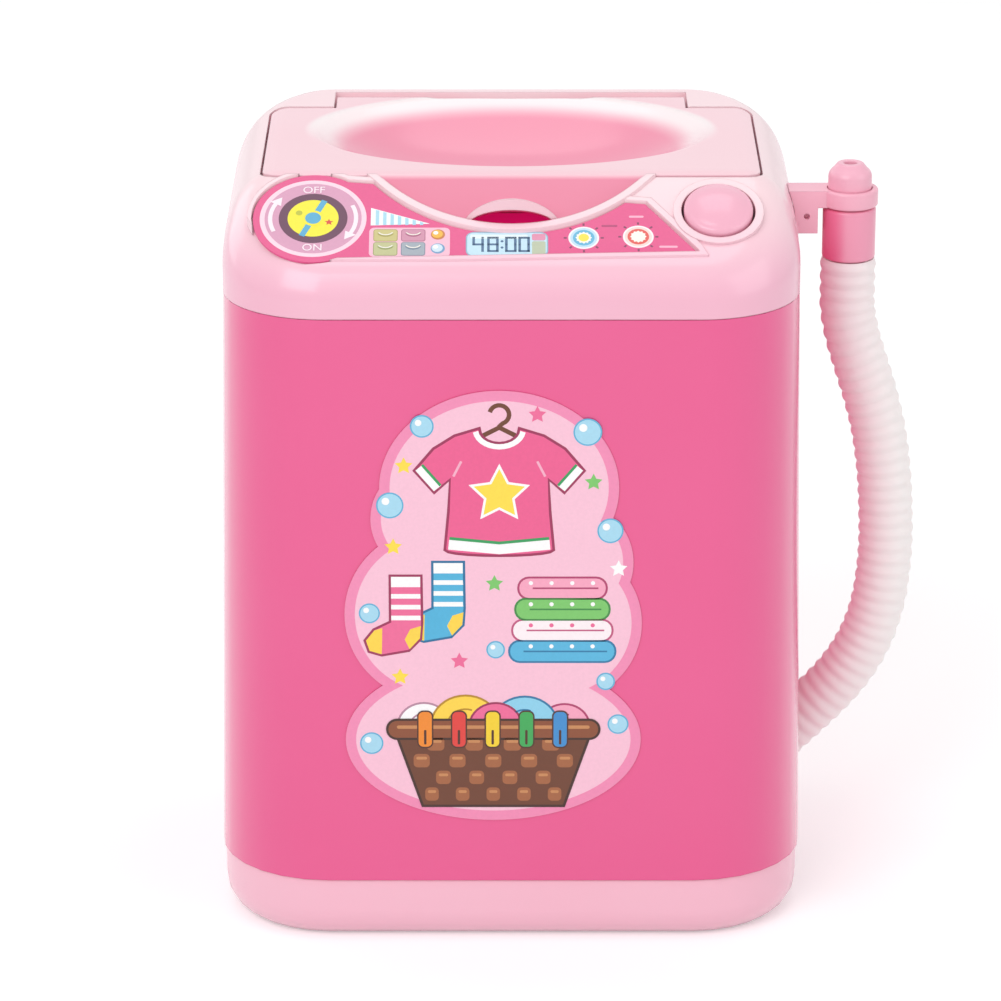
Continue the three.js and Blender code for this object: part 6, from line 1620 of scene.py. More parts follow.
@dataclass
class ControlPanel:
    """The console's print: timer dial, tiles, display and two round marks."""

    dial: Point = (-32.3, -10.3)
    dial_radius: float = 8.7
    arrow_radius: float = 7
    arrow_turn: float = 0.26
    word_height: float = 0.07
    pale_ink: str = "#fbeaf2"
    dark_ink: str = "#44698f"
    segments: dict[str, str] = field(default_factory=lambda: {
        "4": "bcfg", "8": "abcdefg", "0": "abcdef",
    })

    def turn_mark(self, ink: Print, start: float, end: float) -> None:
        """A curved arrow on the dial's ring.

        Args:
            ink: The print.
            start: Angle of its tail in degrees.
            end: Angle of its point in degrees.
        """
        x, y = self.dial
        radius = self.arrow_radius
        ink.lay(self.pale_ink, stroke(arc(x, y, radius, radius, start, end, 10), 0.7), 3)
        tip = math.radians(end)
        onward = tip + math.copysign(self.arrow_turn, end - start)
        corners = ((radius - 1, tip), (radius + 1, tip), (radius, onward))
        ink.lay(self.pale_ink, [(x + r * math.cos(a), y + r * math.sin(a)) for r, a in corners], 3)

    def timer(self, ink: Print) -> None:
        """The dial: pale rim, lilac ring, dark ring, yellow face and blue pointer."""
        x, y = self.dial
        yellow, blue = "#f4e92a", "#4fa9d0"
        rings = (
            ("#fbd5e3", self.dial_radius, 96), ("#d79bb9", self.dial_radius - 0.8, 96), ("#5e2a4a", 5.6, 96),
            (yellow, 4.15, 72),
        )
        for level, (colour, radius, steps) in enumerate(rings):
            ink.lay(colour, circle(x, y, radius, steps), level)
        ink.lay(blue, stroke([(x - 1.8, y - 4), (x + 1.8, y + 4)], 1.0), 4)
        ink.lay(yellow, circle(x, y, 1.75, 36), 5)
        ink.lay(blue, circle(x, y, 1.3, 36), 6)
        ink.lay("#b9bd2e", circle(x - 2.3, y + 1.2, 0.55, 18), 4)
        ink.lay("#d6452f", star(x + 2.6, y - 0.9, 0.75), 4)
        self.turn_mark(ink, 205, 152)
        self.turn_mark(ink, 25, -28)

    def words(self) -> None:
        """The two switch words on the dial's ring."""
        x, y = self.dial
        for text, rise in (("OFF", 5.75), ("ON", -7.3)):
            curve = bpy.data.curves.new("switch_word", "FONT")
            curve.body = text
            curve.align_x = "CENTER"
            curve.size = 2.1
            curve.extrude = 0.01
            mesh = mesh_of_curve(placed("switch_word", curve))
            mesh.transform(PANEL.console_frame @ Matrix.Translation((x, y + rise, self.word_height)))
            ink = PrintedFilm(f"printed_ink_{self.pale_ink[1:]}", self.pale_ink)
            word = placed("dial_word", mesh)
            settle(word, f"dial_word_{text.lower()}", ink, Body.MACHINE)

    def tiles(self, ink: Print) -> None:
        """The striped wedge, the four keys and the two lamps."""
        ink.lay("#f2f7fa", [(-22.9, -11.9), (-13.3, -11.5), (-22.9, -7.9)], 0)
        for i in range(7):
            x = -22.1 + 1.2 * i
            top = -7.9 - (x + 22.9) * 3.6 / 9.6
            ink.lay("#a8d8ea", [(x, -11.8), (x + 0.55, -11.78), (x + 0.55, top - 0.35), (x, top - 0.15)], 1)
        ink.lay("#f3bcd0", rounded(-23.1, -10, -19, -12.4, 0.9), 0)
        keys = [
            ((-22.3, -15.4, -18.6, -12.9), "#c9bf7d", "#a39a4d"),
            ((-22.3, -18.6, -18.6, -15.8), "#bfc08c", "#8f9a58"),
            ((-17.8, -15.4, -14.1, -12.9), "#cf8fa9", "#a85b7d"),
            ((-17.8, -18.6, -14.1, -15.8), "#9fa9b4", "#6d7f93"),
        ]
        for (x0, y0, x1, y1), face, dark in keys:
            ink.outlined(face, dark, rounded(x0, x1, y0, y1, 0.35), 1, 0.12)
            smile = arc((x0 + x1) / 2, y1 - 0.5, 1.25, 0.9, 200, 340, 8)
            ink.lay(dark, stroke(smile, 0.35), 3)
            ink.lay("#f1ece1", stroke(arc((x0 + x1) / 2, y1 - 0.25, 1.25, 0.9, 205, 335, 8), 0.22), 4)
        for y, face, rim in ((-13.95, "#f0b73d", "#c9793a"), (-17.1, "#cfe3f1", "#6f9cc4")):
            ink.lay(rim, circle(-11.95, y, 1.15, 32), 1)
            ink.lay(face, circle(-12.05, y + 0.1, 0.9, 32), 2)
            ink.lay(WHITE, circle(-12.3, y + 0.35, 0.4, 20), 3)

    def digit(self, ink: Print, sign: str, x: float, y: float) -> None:
        """One seven-segment digit.

        Args:
            ink: The print.
            sign: The digit.
            x: Its left edge.
            y: Its lower edge.
        """
        w, h, t = 1.45, 3.0, 0.42
        bars = {
            "a": [(x, y + h), (x + w, y + h)],
            "b": [(x + w, y + h), (x + w, y + h / 2)],
            "c": [(x + w, y + h / 2), (x + w, y)],
            "d": [(x, y), (x + w, y)],
            "e": [(x, y), (x, y + h / 2)],
            "f": [(x, y + h / 2), (x, y + h)],
            "g": [(x, y + h / 2), (x + w, y + h / 2)],
        }
        for bar in self.segments[sign]:
            (x0, y0), (x1, y1) = bars[bar]
            lie = Vector((x1 - x0, y1 - y0)).normalized() * t * 0.4
            ink.lay(self.dark_ink, stroke([(x0 - lie.x, y0 - lie.y), (x1 + lie.x, y1 + lie.y)], t), 2)

    def display(self, ink: Print) -> None:
        """The clock window with its digits and side tag."""
        ink.outlined("#c3e4f3", "#8fb3c9", rounded(-7.2, 5.7, -18.7, -13.6, 1.1), 0, 0.22)
        ink.lay("#e4f4fa", rounded(-6.7, 2.6, -14.9, -14, 0.3), 2)
        for sign, x in (("4", -6.15), ("8", -3.75), ("0", -0.85), ("0", 1.3)):
            self.digit(ink, sign, x, -17.7)
        for y in (-16.9, -15.5):
            ink.lay(self.dark_ink, circle(-1.55, y, 0.24, 16), 2)
        ink.lay("#b9c3a8", rounded(3.3, 5.5, -18.5, -15.5, 0.35), 2)
        ink.lay("#df8fae", rounded(3.3, 5.5, -15.3, -13.8, 0.35), 2)

    def marks(self, ink: Print) -> None:
        """The two round programme marks with their rays, and the short dashes beside them."""
        marks = (
            (11.7, -14.7, "#bfe0f2", "#62b3d8", "#f6e24a"),
            (20.55, -14.45, "#fbd9d3", "#e2574f", "#fff6ea"),
        )
        for x, y, rim, ring, middle in marks:
            for i in range(8):
                turn = math.radians(45 * i)
                ray = [(x + r * math.cos(turn), y + r * math.sin(turn)) for r in (2.75, 3.25)]
                ink.lay("#7c2b55", stroke(ray, 0.32), 0)
            ink.lay("#fdf1f5", circle(x, y, 2.5, 48), 0)
            ink.lay(rim, circle(x, y, 2.2, 48), 1)
            ink.lay(ring, circle(x, y, 1.75, 48), 2)
            ink.lay("#fdf6ea", star(x, y, 1.35, 12, 0.82), 3)
            ink.lay(middle, circle(x, y, 0.85, 32), 4)
        dashes = ((20.3, -9.9, 1.2, "#f9b3cd"), (15.9, -12, 1.3, "#b23a6f"), (25.4, -16.7, 1.5, "#f9b3cd"))
        for x, y, half, colour in dashes:
            ink.lay(colour, rounded(x - half, x + half, y - 0.22, y + 0.22, 0.2, 3), 0)

    def build(self) -> None:
        """Lay all the print."""
        ink = Print("console_print", PANEL.console_frame, "label_film", layer=0.014)
        self.timer(ink)
        self.tiles(ink)
        self.display(ink)
        self.marks(ink)
        ink.build()
        self.words()


@dataclass
class PushButton:
    """The round button with its domed top, skirt and stem."""

    stand: float = 1.3
    dome: float = 1.3
    rise: float = 0.1
    skirt: float = 2.2
    edge: float = 0.9
    crown_share: float = 0.86
    stem_foot: float = -10
    stem_chamfer: float = 0.3

    def build(self) -> None:
        """Turn the button about its axis."""
        r = PANEL.button_radius
        steps = 14
        edge = self.edge
        crown = [
            (r * share * self.crown_share, self.stand + self.dome * (1 - share ** 2) ** 0.9 + self.rise)
            for share in (i / steps for i in range(steps + 1))
        ]
        shoulder = arc(r - edge, self.stand - edge + self.rise, edge, edge, 75, 0, 6)
        profile = [
            *crown,
            *shoulder,
            (r, self.stand - self.skirt),
            (PANEL.stem_radius, self.stand - self.skirt),
            (PANEL.stem_radius, self.stem_foot + self.stem_chamfer),
            (PANEL.stem_radius - self.stem_chamfer, self.stem_foot),
            (0, self.stem_foot),
        ]
        piece = turned(profile, FINE_STEPS, PANEL.button_frame)
        settle(piece, "button_moulding", BUTTON_PLASTIC, Body.BUTTON, stands_for=["push_button"])


# Curved tubes


def through(knots: Sequence[Sequence[float]], count: int) -> list[Vector]:
    """Points at even distances along the centripetal curve through some knots.

    Args:
        knots: The places that it passes.
        count: How many points, both ends included.

    Returns:
        The points in order.
    """
    known = [Vector(knot) for knot in knots]
    known = [2 * known[0] - known[1], *known, 2 * known[-1] - known[-2]]
    fine: list[Vector] = []
    for p0, p1, p2, p3 in zip(known, known[1:], known[2:], known[3:]):
        d0, d1, d2 = ((b - a).length ** 0.5 for a, b in ((p0, p1), (p1, p2), (p2, p3)))
        out = ((p1 - p0) / d0 - (p2 - p0) / (d0 + d1) + (p2 - p1) / d1) * d1
        back = ((p2 - p1) / d1 - (p3 - p1) / (d1 + d2) + (p3 - p2) / d2) * d1
        for step in range(SPAN_STEPS):
            t = step / SPAN_STEPS
            bend = (3 * (p2 - p1) - 2 * out - back) * t * t + (2 * (p1 - p2) + out + back) * t ** 3
            fine.append(p1 + out * t + bend)
    fine.append(known[-2])
    runs = [0.0]
    for a, b in zip(fine, fine[1:]):
        runs.append(runs[-1] + (b - a).length)
    points = []
    at = 0
    for number in range(count):
        want = runs[-1] * number / (count - 1)
        while at < len(runs) - 2 and runs[at + 1] < want:
            at += 1
        share = (want - runs[at]) / (runs[at + 1] - runs[at])
        points.append(fine[at].lerp(fine[at + 1], share))
    return points


def tube(points: Sequence[Vector], radii: Sequence[float], sides: int = 24, caps: bool = True) -> Solid:
    """Draw a round section along a line of points.

    Args:
        points: The centreline.
        radii: The radius at each point.
        sides: Even number of sides.
        caps: Close both ends.

    Returns:
        The tube as a mesh object.
    """
    curve = bpy.data.curves.new("centreline", "CURVE")
    curve.dimensions = "3D"
    curve.bevel_depth = 1
    curve.bevel_resolution = (sides - 4) // 2
    curve.use_fill_caps = caps
    line = curve.splines.new("POLY")
    line.points.add(len(points) - 1)
    for place, point, radius in zip(line.points, points, radii):
        place.co = (*point, 1)
        place.radius = radius
    mesh = mesh_of_curve(placed("centreline", curve))
    bm = bmesh.new()
    bm.from_mesh(mesh)
    bpy.data.meshes.remove(mesh)
    bmesh.ops.remove_doubles(bm, verts=bm.verts, dist=TUBE_WELD)
    bmesh.ops.recalc_face_normals(bm, faces=bm.faces)
    return object_of(bm)


def wound(radius_low: float, radius_high: float, z0: float, z1: float, turns: float, wire: float,
          frame_matrix: Matrix) -> Solid:
    """Wind a coil of round wire.

    Args:
        radius_low: Coil radius at its start.
        radius_high: Coil radius at its end.
        z0: Height of its start.
        z1: Height of its end.
        turns: How many turns.
        wire: Radius of the wire.
        frame_matrix: Where its axis stands.

    Returns:
        The coil.
    """
    count = round(turns * 32)
    points = []
    for number in range(count + 1):
        share = number / count
        turn = 2 * math.pi * turns * share
        reach = radius_low + (radius_high - radius_low) * share
        at = (reach * math.cos(turn), reach * math.sin(turn), z0 + (z1 - z0) * share)
        points.append(frame_matrix @ Vector(at))
    return tube(points, [wire] * len(points), 16)


@dataclass
class DrainHose:
    """The corrugated drain hose from the fitting down to the hole in the body's side."""

    route: tuple[Point, ...] = (
        (56.6, 109.6), (56.6, 105.2), (56.7, 100.6), (57.6, 95.9), (59.1, 91), (60.8, 85.6), (62.3, 79.8),
        (63.2, 74.5), (63.8, 69.1), (64.1, 63.6), (64.2, 58.2), (63.9, 52.9), (63.2, 47.8), (61.9, 42.9),
        (59.9, 38.3), (57.3, 34.2), (54.3, 30.6), (51.2, 27.4), (47.9, 24.1), (44.6, 20.8),
    )
    y: float = -4
    ribs: int = 42
    rib_rings: int = 8
    rib_fullness: float = 0.8
    path_points: int = 97
    crest: float = 4.7
    root: float = 4.4
    wall: float = 0.7

    def build(self) -> None:
        knots = [(x, self.y, z) for x, z in self.route]
        rings = self.rib_rings * self.ribs
        points = through(knots, rings + 1)
        radii = []
        for ring in range(rings + 1):
            swell = 0.5 - 0.5 * math.cos(2 * math.pi * ring / self.rib_rings)
            radii.append(self.root + (self.crest - self.root) * swell ** self.rib_fullness)
        hose = tube(points, radii, 48, caps=False)
        wall = hose.modifiers.new("wall", "SOLIDIFY")
        wall.thickness = self.wall
        wall.offset = -1
        wall.use_even_offset = True
        reshaped(hose, evaluated(hose))
        settle(hose, "hose_corrugated", HOSE_PLASTIC, None, crease_deg=80, stands_for=["drain_hose"])
        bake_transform(hose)


@dataclass
class PowerPath:
    """Wires, button spring and contact coils, all drawn as round wire."""

    wire: float = 0.55
    coil_wire: float = 0.35
    spring_span: Point = (-5.35, -1.55)
    spring_radius: float = 3.4
    spring_turns: float = 2.5
    press: float = 2.05
    cone: tuple[float, ...] = (3.2, 1.6, -0.2, 2.65, 2.2)
    strip_x: float = 27.2
    strip_thickness: float = 0.4
    strip_front: float = 24.15
    strip_rear: float = 33.15
    strip_top: float = 40.75
    strips: tuple[tuple[str, int, float, float], ...] = (
        ("contact_link", -1, 21.35, 16.85),
        ("contact_negative", 1, 36.25, 31.75),
    )
    wires: tuple[tuple[str, MouldedRubber, str, tuple[Place, ...]], ...] = (
        ("wire_battery_switch", RED_WIRE, "wire_red", (
            (26.925, 23.85, 21.35), (26.925, 18.7, 21.35), (31, 14, 24), (40, 8, 34), (41.5, 4, 60),
            (41.5, -12, 84), (39.5, -21.5, 98), (37.8, -22.5, 108.8), (35.7, -18.482, 111.136),
        )),
        ("wire_switch_motor", RED_WIRE, "wire_red", (
            (31.7, -18.482, 111.136), (34.8, -22.5, 108.8), (37, -24, 98), (36, -26, 80), (30, -27, 52),
            (14, -22, 26), (0, -18, 12), (-9.258, -15.609, 10),
        )),
        ("wire_battery_motor", BLACK_WIRE, "wire_black", (
            (26.925, 23.85, 36.25), (26.925, 18.7, 36.25), (25, 16.5, 30), (14, 16, 17), (-14, 15, 12),
            (-29, 8, 10), (-31, 0, 10), (-26.133, -3.793, 10),
        )),
    )

    def build(self) -> None:
        """Draw the wires and coils."""
        for node, finish, slot, knots in self.wires:
            points = through(knots, 12 * len(knots))
            settle(tube(points, [self.wire] * len(points), 16), f"{node}_insulation", finish, Body.MACHINE,
                   stands_for=[node])
        low, high = self.spring_span
        radius = self.spring_radius
        spring = wound(radius, radius, low, high, self.spring_turns, self.coil_wire, PANEL.button_frame)
        settle(spring, "button_spring_coil", STEEL, Body.MACHINE, stands_for=["button_spring"])
        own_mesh(spring)
        middle = (self.strip_front + self.strip_rear) / 2
        for node, side, height, low in self.strips:
            root = Matrix.Translation((side * self.strip_x, middle, height))
            coil = wound(*self.cone, self.coil_wire, root @ Matrix.Rotation(-side * math.pi / 2, 4, "Y"))
            x0, x1 = sorted((side * self.strip_x, side * (self.strip_x + self.strip_thickness)))
            piece = unite(block(x0, x1, self.strip_front, self.strip_rear, low, self.strip_top), coil)
            settle(piece, f"{node}_strip", NICKEL, Body.MACHINE, stands_for=[node])


@dataclass
class InnerWorks:
    """CAD nodes whose shape is right: they keep it and get their real finish."""

    finishes: tuple[tuple[Finish, tuple[str, ...]], ...] = (
        (STEEL, ("hinge_pin_", "battery_cover_screw", "case_screw_", "gear_plate_screw_", "motor_screw_")),
        (SHAFT_STEEL, ("drive_shaft", "gear_axle", "motor_shaft")),
        (NATURAL_ACETAL, ("output_gear", "compound_gear", "motor_pinion", "gear_plate", "drain_elbow")),
        (NICKEL, ("contact_positive",)),
        (BLACK_PLASTIC, ("button_switch",)),
        (WHITE_PLASTIC, ("battery_box",)),
        (PULSATOR_PLASTIC, ("pulsator",)),
        (BRASS, ("shaft_bush",)),
        (SEAL_RUBBER, ("shaft_seal",)),
        (CELL_PLUS_RIGHT, ("battery_lower",)),
        (CELL_PLUS_LEFT, ("battery_upper",)),
        (MOTOR_STEEL, ("motor",)),
    )

    def build(self) -> None:
        """Assign each node the first material whose name it starts with."""
        for node, piece in frame["nodes"].items():
            finish = next((made_of for made_of, starts in self.finishes if node.startswith(starts)), None)
            if finish is None:
                continue
            piece.data.materials.clear()
            piece.data.materials.append(material_of(finish))
            log.info("%s keeps its CAD form, in %s", node, finish.name)


# Front sticker


@dataclass
class Sticker:
    """The die-cut laundry sticker on the front: film, pale field and layers of print."""

    x: float = -3
    z: float = 60.35
    width: float = 49
    height: float = 76
    gap: float = 0.1
    film: float = 0.16
    border: float = 1.7
    field_rise: float = 0.02
    lobe_shares: tuple[tuple[float, float, float, float], ...] = (
        (0.02, 0.27, 0.8, 0.44),
        (-0.2, -0.02, 0.6, 0.4),
        (0.2, -0.04, 0.6, 0.38),
        (0, -0.31, 1, 0.38),
        (-0.24, 0.2, 0.34, 0.24),
        (0.29, 0.1, 0.36, 0.26),
    )

    @property
    def frame(self) -> Matrix:
        """Frame on the sloping front: x across, y up, z out."""
        lean = FORM.flare / (FORM.cap_seam - FORM.base_seam)
        up = Vector((0, lean, 1)).normalized()
        across = Vector((1, 0, 0))
        out = across.cross(up)
        turn = Matrix((across, up, out)).transposed().to_4x4()
        y = FORM.front - FORM.flare_at(self.z)
        return Matrix.Translation((self.x, y, self.z)) @ turn

    def sheet(self, shrink: float, low: float, high: float) -> Solid:
        """The lobed outline, drawn in and given a thickness."""
        plates = []
        for cx, cy, w, h in self.lobe_shares:
            rx = w * self.width / 2 - shrink
            ry = h * self.height / 2 - shrink
            lobe = circle(cx * self.width, cy * self.height, rx, FINE_STEPS, ry / rx)
            plates.append(plate(lobe, low, high))
        piece = unite(*plates)
        piece.data.transform(self.frame)
        return piece

    def shirt(self, ink: Print, x: float, y: float) -> None:
        """A T-shirt on a hanger.

        Args:
            ink: The print.
            x: Its middle.
            y: Its middle.
        """
        at = partial(moved, x, y)
        hook = [(0, 9.6), (0, 10.2), *arc(0, 12.2, 1.6, 1.6, -70, 165, 14)]
        ink.lay(WOOD, stroke(at(hook), 0.75), 0)
        ink.lay(WOOD, stroke(at([(-6.5, 6.6), (0, 10), (6.5, 6.6)]), 0.85), 1)
        right = [(3.4, 9.6), (7.2, 8.4), (10.6, 6.2), (13.6, 2.6), (10.6, -0.9), (7.9, 1.4), (8.1, -4.5),
                 (8.7, -11)]
        left = [(-px, py) for px, py in reversed(right)]
        neck = arc(0, 9.6, 3.4, 2.5, 180, 360, 10)[1:-1]
        hem = arc(0, -11, 8.7, 0.9, 360, 180, 10)[1:-1]
        body = at([*right, *hem, *left, *neck])
        ink.outlined("#ef5f93", MAROON, body[::-1], 2, 0.45)
        ink.lay(WHITE, stroke(at(arc(0, 9.7, 3.9, 3.0, 188, 352, 14)), 0.9), 4)
        for side in (-1, 1):
            cuff = [(side * 13.1, 3.1), (side * 10.1, -0.45)]
            ink.lay(WHITE, stroke(at(cuff), 1.5), 4)
            ink.lay(GREEN, stroke(at([(side * 12.6, 3.6), (side * 9.6, 0.05)]), 0.45), 5)
            ink.lay("#f7b3cb", stroke(at([(side * 7.5, 1.6), (side * 6.2, 4.2)]), 0.4), 4)
        ink.lay(WHITE, stroke(at([(-8.3, -10.2), (0, -11), (8.3, -10.2)]), 1.7), 4)
        ink.lay(GREEN, stroke(at([(-8.15, -9.1), (0, -9.9), (8.15, -9.1)]), 0.5), 5)
        ink.lay(WHITE, star(x, y - 1.5, 5.3, 5, 0.5), 4)
        ink.lay(SUN, star(x, y - 1.5, 4.4, 5, 0.5), 5)

    def sock(self, ink: Print, x: float, y: float, level: int, colour: str, line: str) -> None:
        """A striped sock whose toe points left.

        Args:
            ink: The print.
            x: The leg's middle.
            y: The leg's top.
            level: How many layers lie under it.
            colour: Wool colour.
            line: Drawn line.
        """
        at = partial(moved, x, y)
        toe = [(-5.2, -9.4), (-6.6, -11.2), (-6.0, -13), (-4, -13.6)]
        shape = [(-2.4, 0), (-2.4, -8), *toe, (0.4, -12.8), (2.3, -10.8), (2.5, -8), (2.4, 0)]
        ink.outlined(colour, line, at(shape), level, 0.4)
        ink.lay(WHITE, at([(-2.4, -1.8), (2.4, -1.8), (2.4, 0), (-2.4, 0)]), level + 2)
        for step in range(3):
            stripe = [(-2.4, -0.8), (2.45, -0.8), (2.4, 0), (-2.4, 0)]
            ink.lay(WHITE, moved(x, y - 3 - 1.9 * step, stripe), level + 2)
        ink.lay(BUTTER, at([*toe, (-3.9, -9)])[::-1], level + 2)
        ink.lay(BUTTER, at([(2.5, -8.6), (0.7, -9.2), (-0.2, -11), (0.6, -12.7), (2.3, -10.8)]), level + 2)

    def towels(self, ink: Print, x: float, y: float) -> None:
        """A pile of folded towels.

        Args:
            ink: The print.
            x: Its middle.
            y: Its foot.
        """
        colours = (
            ("#58b8e0", LAKE, WHITE), ("#fff3f7", "#c2557f", ROSE), (LEAF, "#3c8a43", WHITE),
            (BLUSH, PLUM, WHITE),
        )
        for step, (face, line, spot) in enumerate(colours):
            half = 8.6 - 0.5 * step
            low = y + 3.7 * step
            ink.outlined(face, line, rounded(x - half, x + half, low, low + 3.4, 1.6, 5), 0, 0.35)
            fold = [(x + half - 1.2, low + 1.7), (x - half + 2.2, low + 1.7)]
            ink.lay(line, stroke(fold, 0.28), 2)
            for dot in range(4):
                ink.lay(spot, circle(x - 5.2 + 3.4 * dot, low + 2.6, 0.36, 12), 3)

    def basket(self, ink: Print, x: float, y: float) -> None:
        """A brown woven basket full of washing, with pegs on its rim.

        Args:
            ink: The print.
            x: Its middle.
            y: Its foot.
        """
        lumps = [
            (-11.5, 4.2, WHITE, "#b88aa0"), (11.8, 4.0, BLUSH, PLUM), (-4.6, 5.6, BUTTER, "#b98a1c"),
            (5.2, 5.4, "#8fd3ee", LAKE), (0.4, 4.2, ROSE, MAROON),
        ]
        for level, (offset, radius, face, line) in enumerate(lumps):
            ink.outlined(face, line, circle(x + offset, y + 14, radius, 40, 0.95), 2 * level, 0.35)
            curve = arc(x + offset, y + 14, radius * 0.55, radius * 0.55, 70, 160, 8)
            ink.lay(line, stroke(curve, 0.3), 2 * level + 2)
        body = [(x - 11.6, y), (x + 11.6, y), (x + 16, y + 13), (x - 16, y + 13)]
        ink.outlined(WOOD, BARK, body, 11, 0.45)
        for row in range(4):
            low = y + 0.7 + 3 * row
            half = 11.5 + 0.95 * row
            count = 9
            width = 2 * half / count
            for number in range(count):
                if (number + row) % 2:
                    continue
                left = x - half + width * number
                ink.lay("#a4633c", rounded(left + 0.15, left + width - 0.15, low, low + 2.4, 0.7, 4), 13)
                ink.lay(STRAW, rounded(left + 0.6, left + width - 0.6, low + 1.4, low + 1.9, 0.22, 3), 14)
        ink.outlined("#8a4b2c", BARK, rounded(x - 17.4, x + 17.4, y + 12, y + 15, 1.45, 6), 13, 0.4)
        ink.lay(STRAW, rounded(x - 16, x + 16, y + 13.6, y + 14.2, 0.3, 4), 15)
        for number, colour in enumerate(("#f28c28", "#e2403a", "#f6d32d", "#3baa57", "#3e8fd0")):
            left = x - 12.4 + 5.6 * number
            ink.outlined(colour, COCOA, rounded(left, left + 2.2, y + 10.4, y + 16.6, 0.8, 5), 16, 0.25)
            ink.lay(COCOA, rounded(left + 0.9, left + 1.3, y + 10.8, y + 13.4, 0.18, 3), 18)

    def bubbles(self, ink: Print) -> None:
        """Soap bubbles and little stars in the gaps."""
        bubbles = [
            (-11.6, 31.2, 1.7), (15.4, 30.2, 2.1), (19.2, 13.2, 1.9), (-16.9, 17.6, 2.0), (-20.4, -1.2, 1.5),
            (-20.2, -24.2, 1.7), (18.6, -13.2, 1.3), (0.4, -7.6, 1.3), (20.7, -20.8, 1.5),
        ]
        for x, y, radius in bubbles:
            ink.outlined("#a9dcf2", "#5fb2d8", circle(x, y, radius, 32), 0, 0.25)
            ink.lay(WHITE, circle(x - 0.35 * radius, y + 0.35 * radius, 0.32 * radius, 16), 2)
        for x, y, colour in (
            (-14.6, 24.4, SUN), (16.4, 21.6, LEAF), (-16.4, 10.4, SUN), (20.6, 6.6, WHITE),
            (-15.4, -12.4, SUN), (0.2, 4.0, LEAF), (-5.6, -9.6, ROSE), (7.2, 33.2, ROSE),
        ):
            ink.lay(colour, star(x, y, 1.5, 5, 0.5), 1)

    def build(self) -> None:
        """Cut the film and field, then lay the print."""
        low = self.gap
        settle(self.sheet(0, low, low + self.film), "sticker_film", STICKER_INK, Body.MACHINE,
               stands_for=["front_sticker"])
        field_top = low + self.film + self.field_rise
        settle(self.sheet(self.border, low, field_top), "sticker_field", STICKER_FIELD, Body.MACHINE)
        ink = Print("sticker_print", self.frame, "sticker_film", base=field_top, layer=0.006)
        self.bubbles(ink)
        self.sock(ink, -7.4, 7.6, 0, "#4fb4dd", "#1f6f9c")
        self.sock(ink, -14.4, 5.2, 3, ROSE, MAROON)
        self.towels(ink, 11.4, -9.6)
        self.shirt(ink, 1, 21)
        self.basket(ink, 0, -35.2)
        ink.build()


# Studio


@dataclass
class Lamp:
    """A soft rectangular lamp that looks at the object."""

    name: str
    at: Place
    size: float
    watts: float
    aim: Place = (0, 0, 0.07)

    def build(self) -> None:
        """Hang the lamp and turn it to the object's middle."""
        light = bpy.data.lights.new(self.name, "AREA")
        light.shape = "SQUARE"
        light.size = self.size
        light.energy = self.watts
        hung = placed(self.name, light)
        hung.location = self.at
        hung.rotation_euler = (Vector(self.aim) - Vector(self.at)).to_track_quat("-Z", "Y").to_euler()


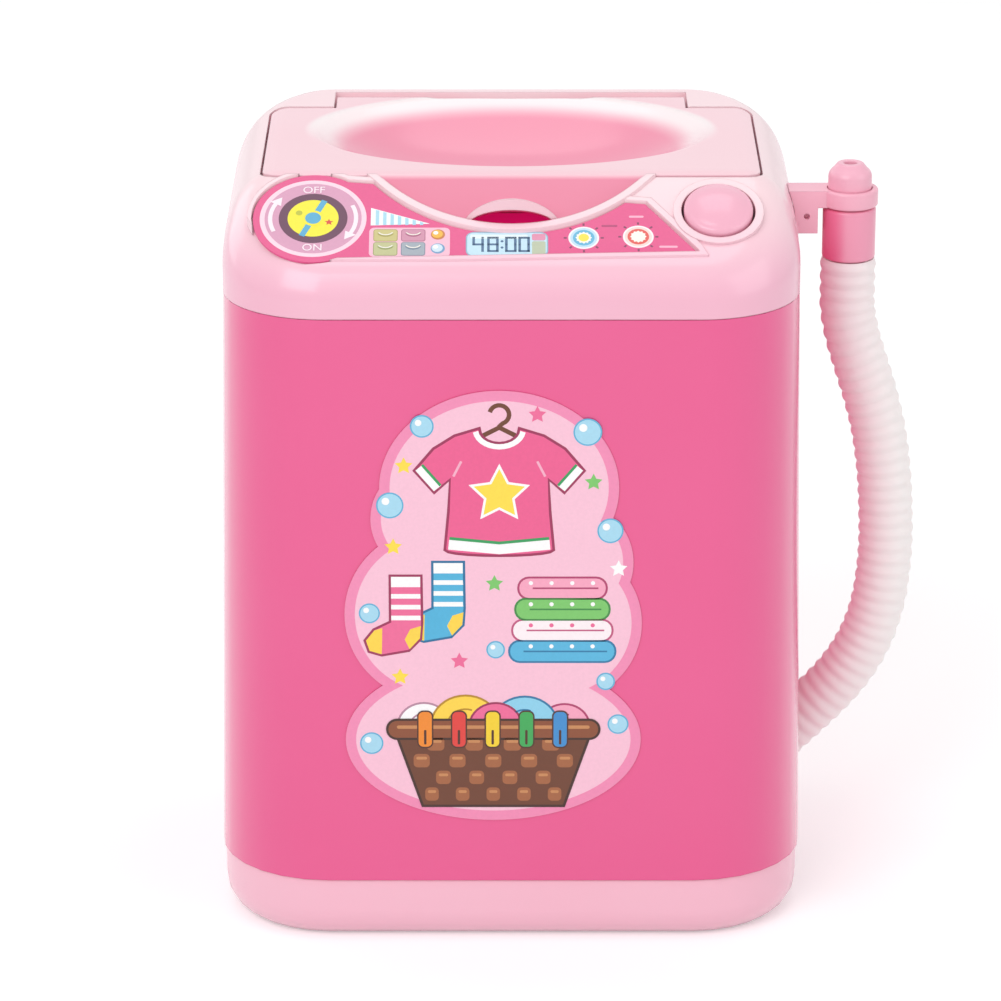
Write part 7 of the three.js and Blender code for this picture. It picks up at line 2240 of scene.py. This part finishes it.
@dataclass
class Studio:
    """Pale floor, plain world, soft lamps and the photograph's camera."""

    target: Place = (-0.0018, 0, 0.0645)
    distance: float = 0.85
    elevation: float = 20
    focal_px: float = 4946
    sensor: float = 36
    clip: Point = (0.05, 30)
    floor_side: float = 12
    floor_grey: float = 0.86
    floor_glow: float = 0.3
    sky: float = 0.57
    lamps: tuple[Lamp, ...] = (
        Lamp("key_lamp", (-0.45, -0.8, 0.75), 0.7, 4.4),
        Lamp("fill_lamp", (0.9, -0.5, 0.5), 0.8, 2.1),
        Lamp("top_lamp", (0.0, 0.2, 1.1), 0.8, 2.2),
        Lamp("rear_lamp", (-1.0, 0.75, 0.45), 0.7, 1.5),
    )

    def world(self) -> None:
        """An even pale world that the camera, glass and metal see as white."""
        world = bpy.data.worlds.new("studio_world")
        world.use_nodes = True
        tree = world.node_tree
        tree.nodes.clear()
        even, white = (
            add_node(tree, "ShaderNodeBackground", {"Color": linear(WHITE), "Strength": strength})
            for strength in (self.sky, 1.0)
        )
        add_node(tree, "ShaderNodeOutputWorld", {"Surface": self.seen(tree, even, white)})
        bpy.context.scene.world = world

    def seen(self, tree: Tree, lights: Node, shows: Node) -> Socket:
        """Mix two shaders: one that lights the object, and one that the camera, reflections and glass see."""
        path = add_node(tree, "ShaderNodeLightPath").outputs
        rays = (path[f"Is {kind} Ray"] for kind in ("Camera", "Glossy", "Transmission"))
        inputs = {0: worked(tree, "MAXIMUM", *rays), 1: lights.outputs[0], 2: shows.outputs[0]}
        return add_node(tree, "ShaderNodeMixShader", inputs).outputs[0]

    def floor(self) -> None:
        """A pale floor that keeps the object's shadow."""
        bm = bmesh.new()
        bmesh.ops.create_grid(bm, x_segments=1, y_segments=1, size=self.floor_side / 2)
        floor = object_of(bm, "studio_floor")
        material = bpy.data.materials.new("pale_painted_floor")
        material.use_nodes = True
        tree = material.node_tree
        tree.nodes.clear()
        paint = add_node(tree, "ShaderNodeBsdfDiffuse", {"Color": (*[self.floor_grey] * 3, 1)})
        glow = add_node(tree, "ShaderNodeEmission", {"Color": linear(WHITE), "Strength": self.floor_glow})
        lit = add_node(tree, "ShaderNodeAddShader", {0: paint.outputs[0], 1: glow.outputs[0]})
        add_node(tree, "ShaderNodeOutputMaterial", {"Surface": self.seen(tree, paint, lit)})
        floor.data.materials.append(material)

    def camera(self) -> None:
        """The photograph's camera: far off, 20 degrees up."""
        lens = bpy.data.cameras.new("photo_camera")
        lens.sensor_width = self.sensor
        lens.lens = self.focal_px / IMAGE_SIZE * self.sensor
        lens.clip_start, lens.clip_end = self.clip
        camera = placed("photo_camera", lens)
        rise = math.radians(self.elevation)
        back = Vector((0, -math.cos(rise), math.sin(rise))) * self.distance
        camera.location = Vector(self.target) + back
        camera.rotation_euler = (math.pi / 2 - rise, 0, 0)
        bpy.context.scene.camera = camera

    def build(self) -> None:
        """Set up everything round the object."""
        self.camera()
        self.world()
        self.floor()
        for lamp in self.lamps:
            lamp.build()
        bpy.context.scene.view_settings.view_transform = "Standard"


@dataclass
class WashingMachine:
    """The whole dressed toy."""

    parts: tuple[type, ...] = (
        Studio, DrainHose, HoseFitting, Cap, Lid, Housing, ControlPanel, PushButton, Sticker, PowerPath,
        InnerWorks,
    )

    def build(self) -> None:
        """Build every sub-assembly in turn."""
        for part in self.parts:
            log.info("building %s", part.__name__)
            part().build()


def main() -> None:
    """Build the scene."""
    logging.basicConfig(level=logging.INFO, format="%(message)s")
    WashingMachine().build()
    bpy.context.view_layer.update()


if __name__ == "__main__":
    main()
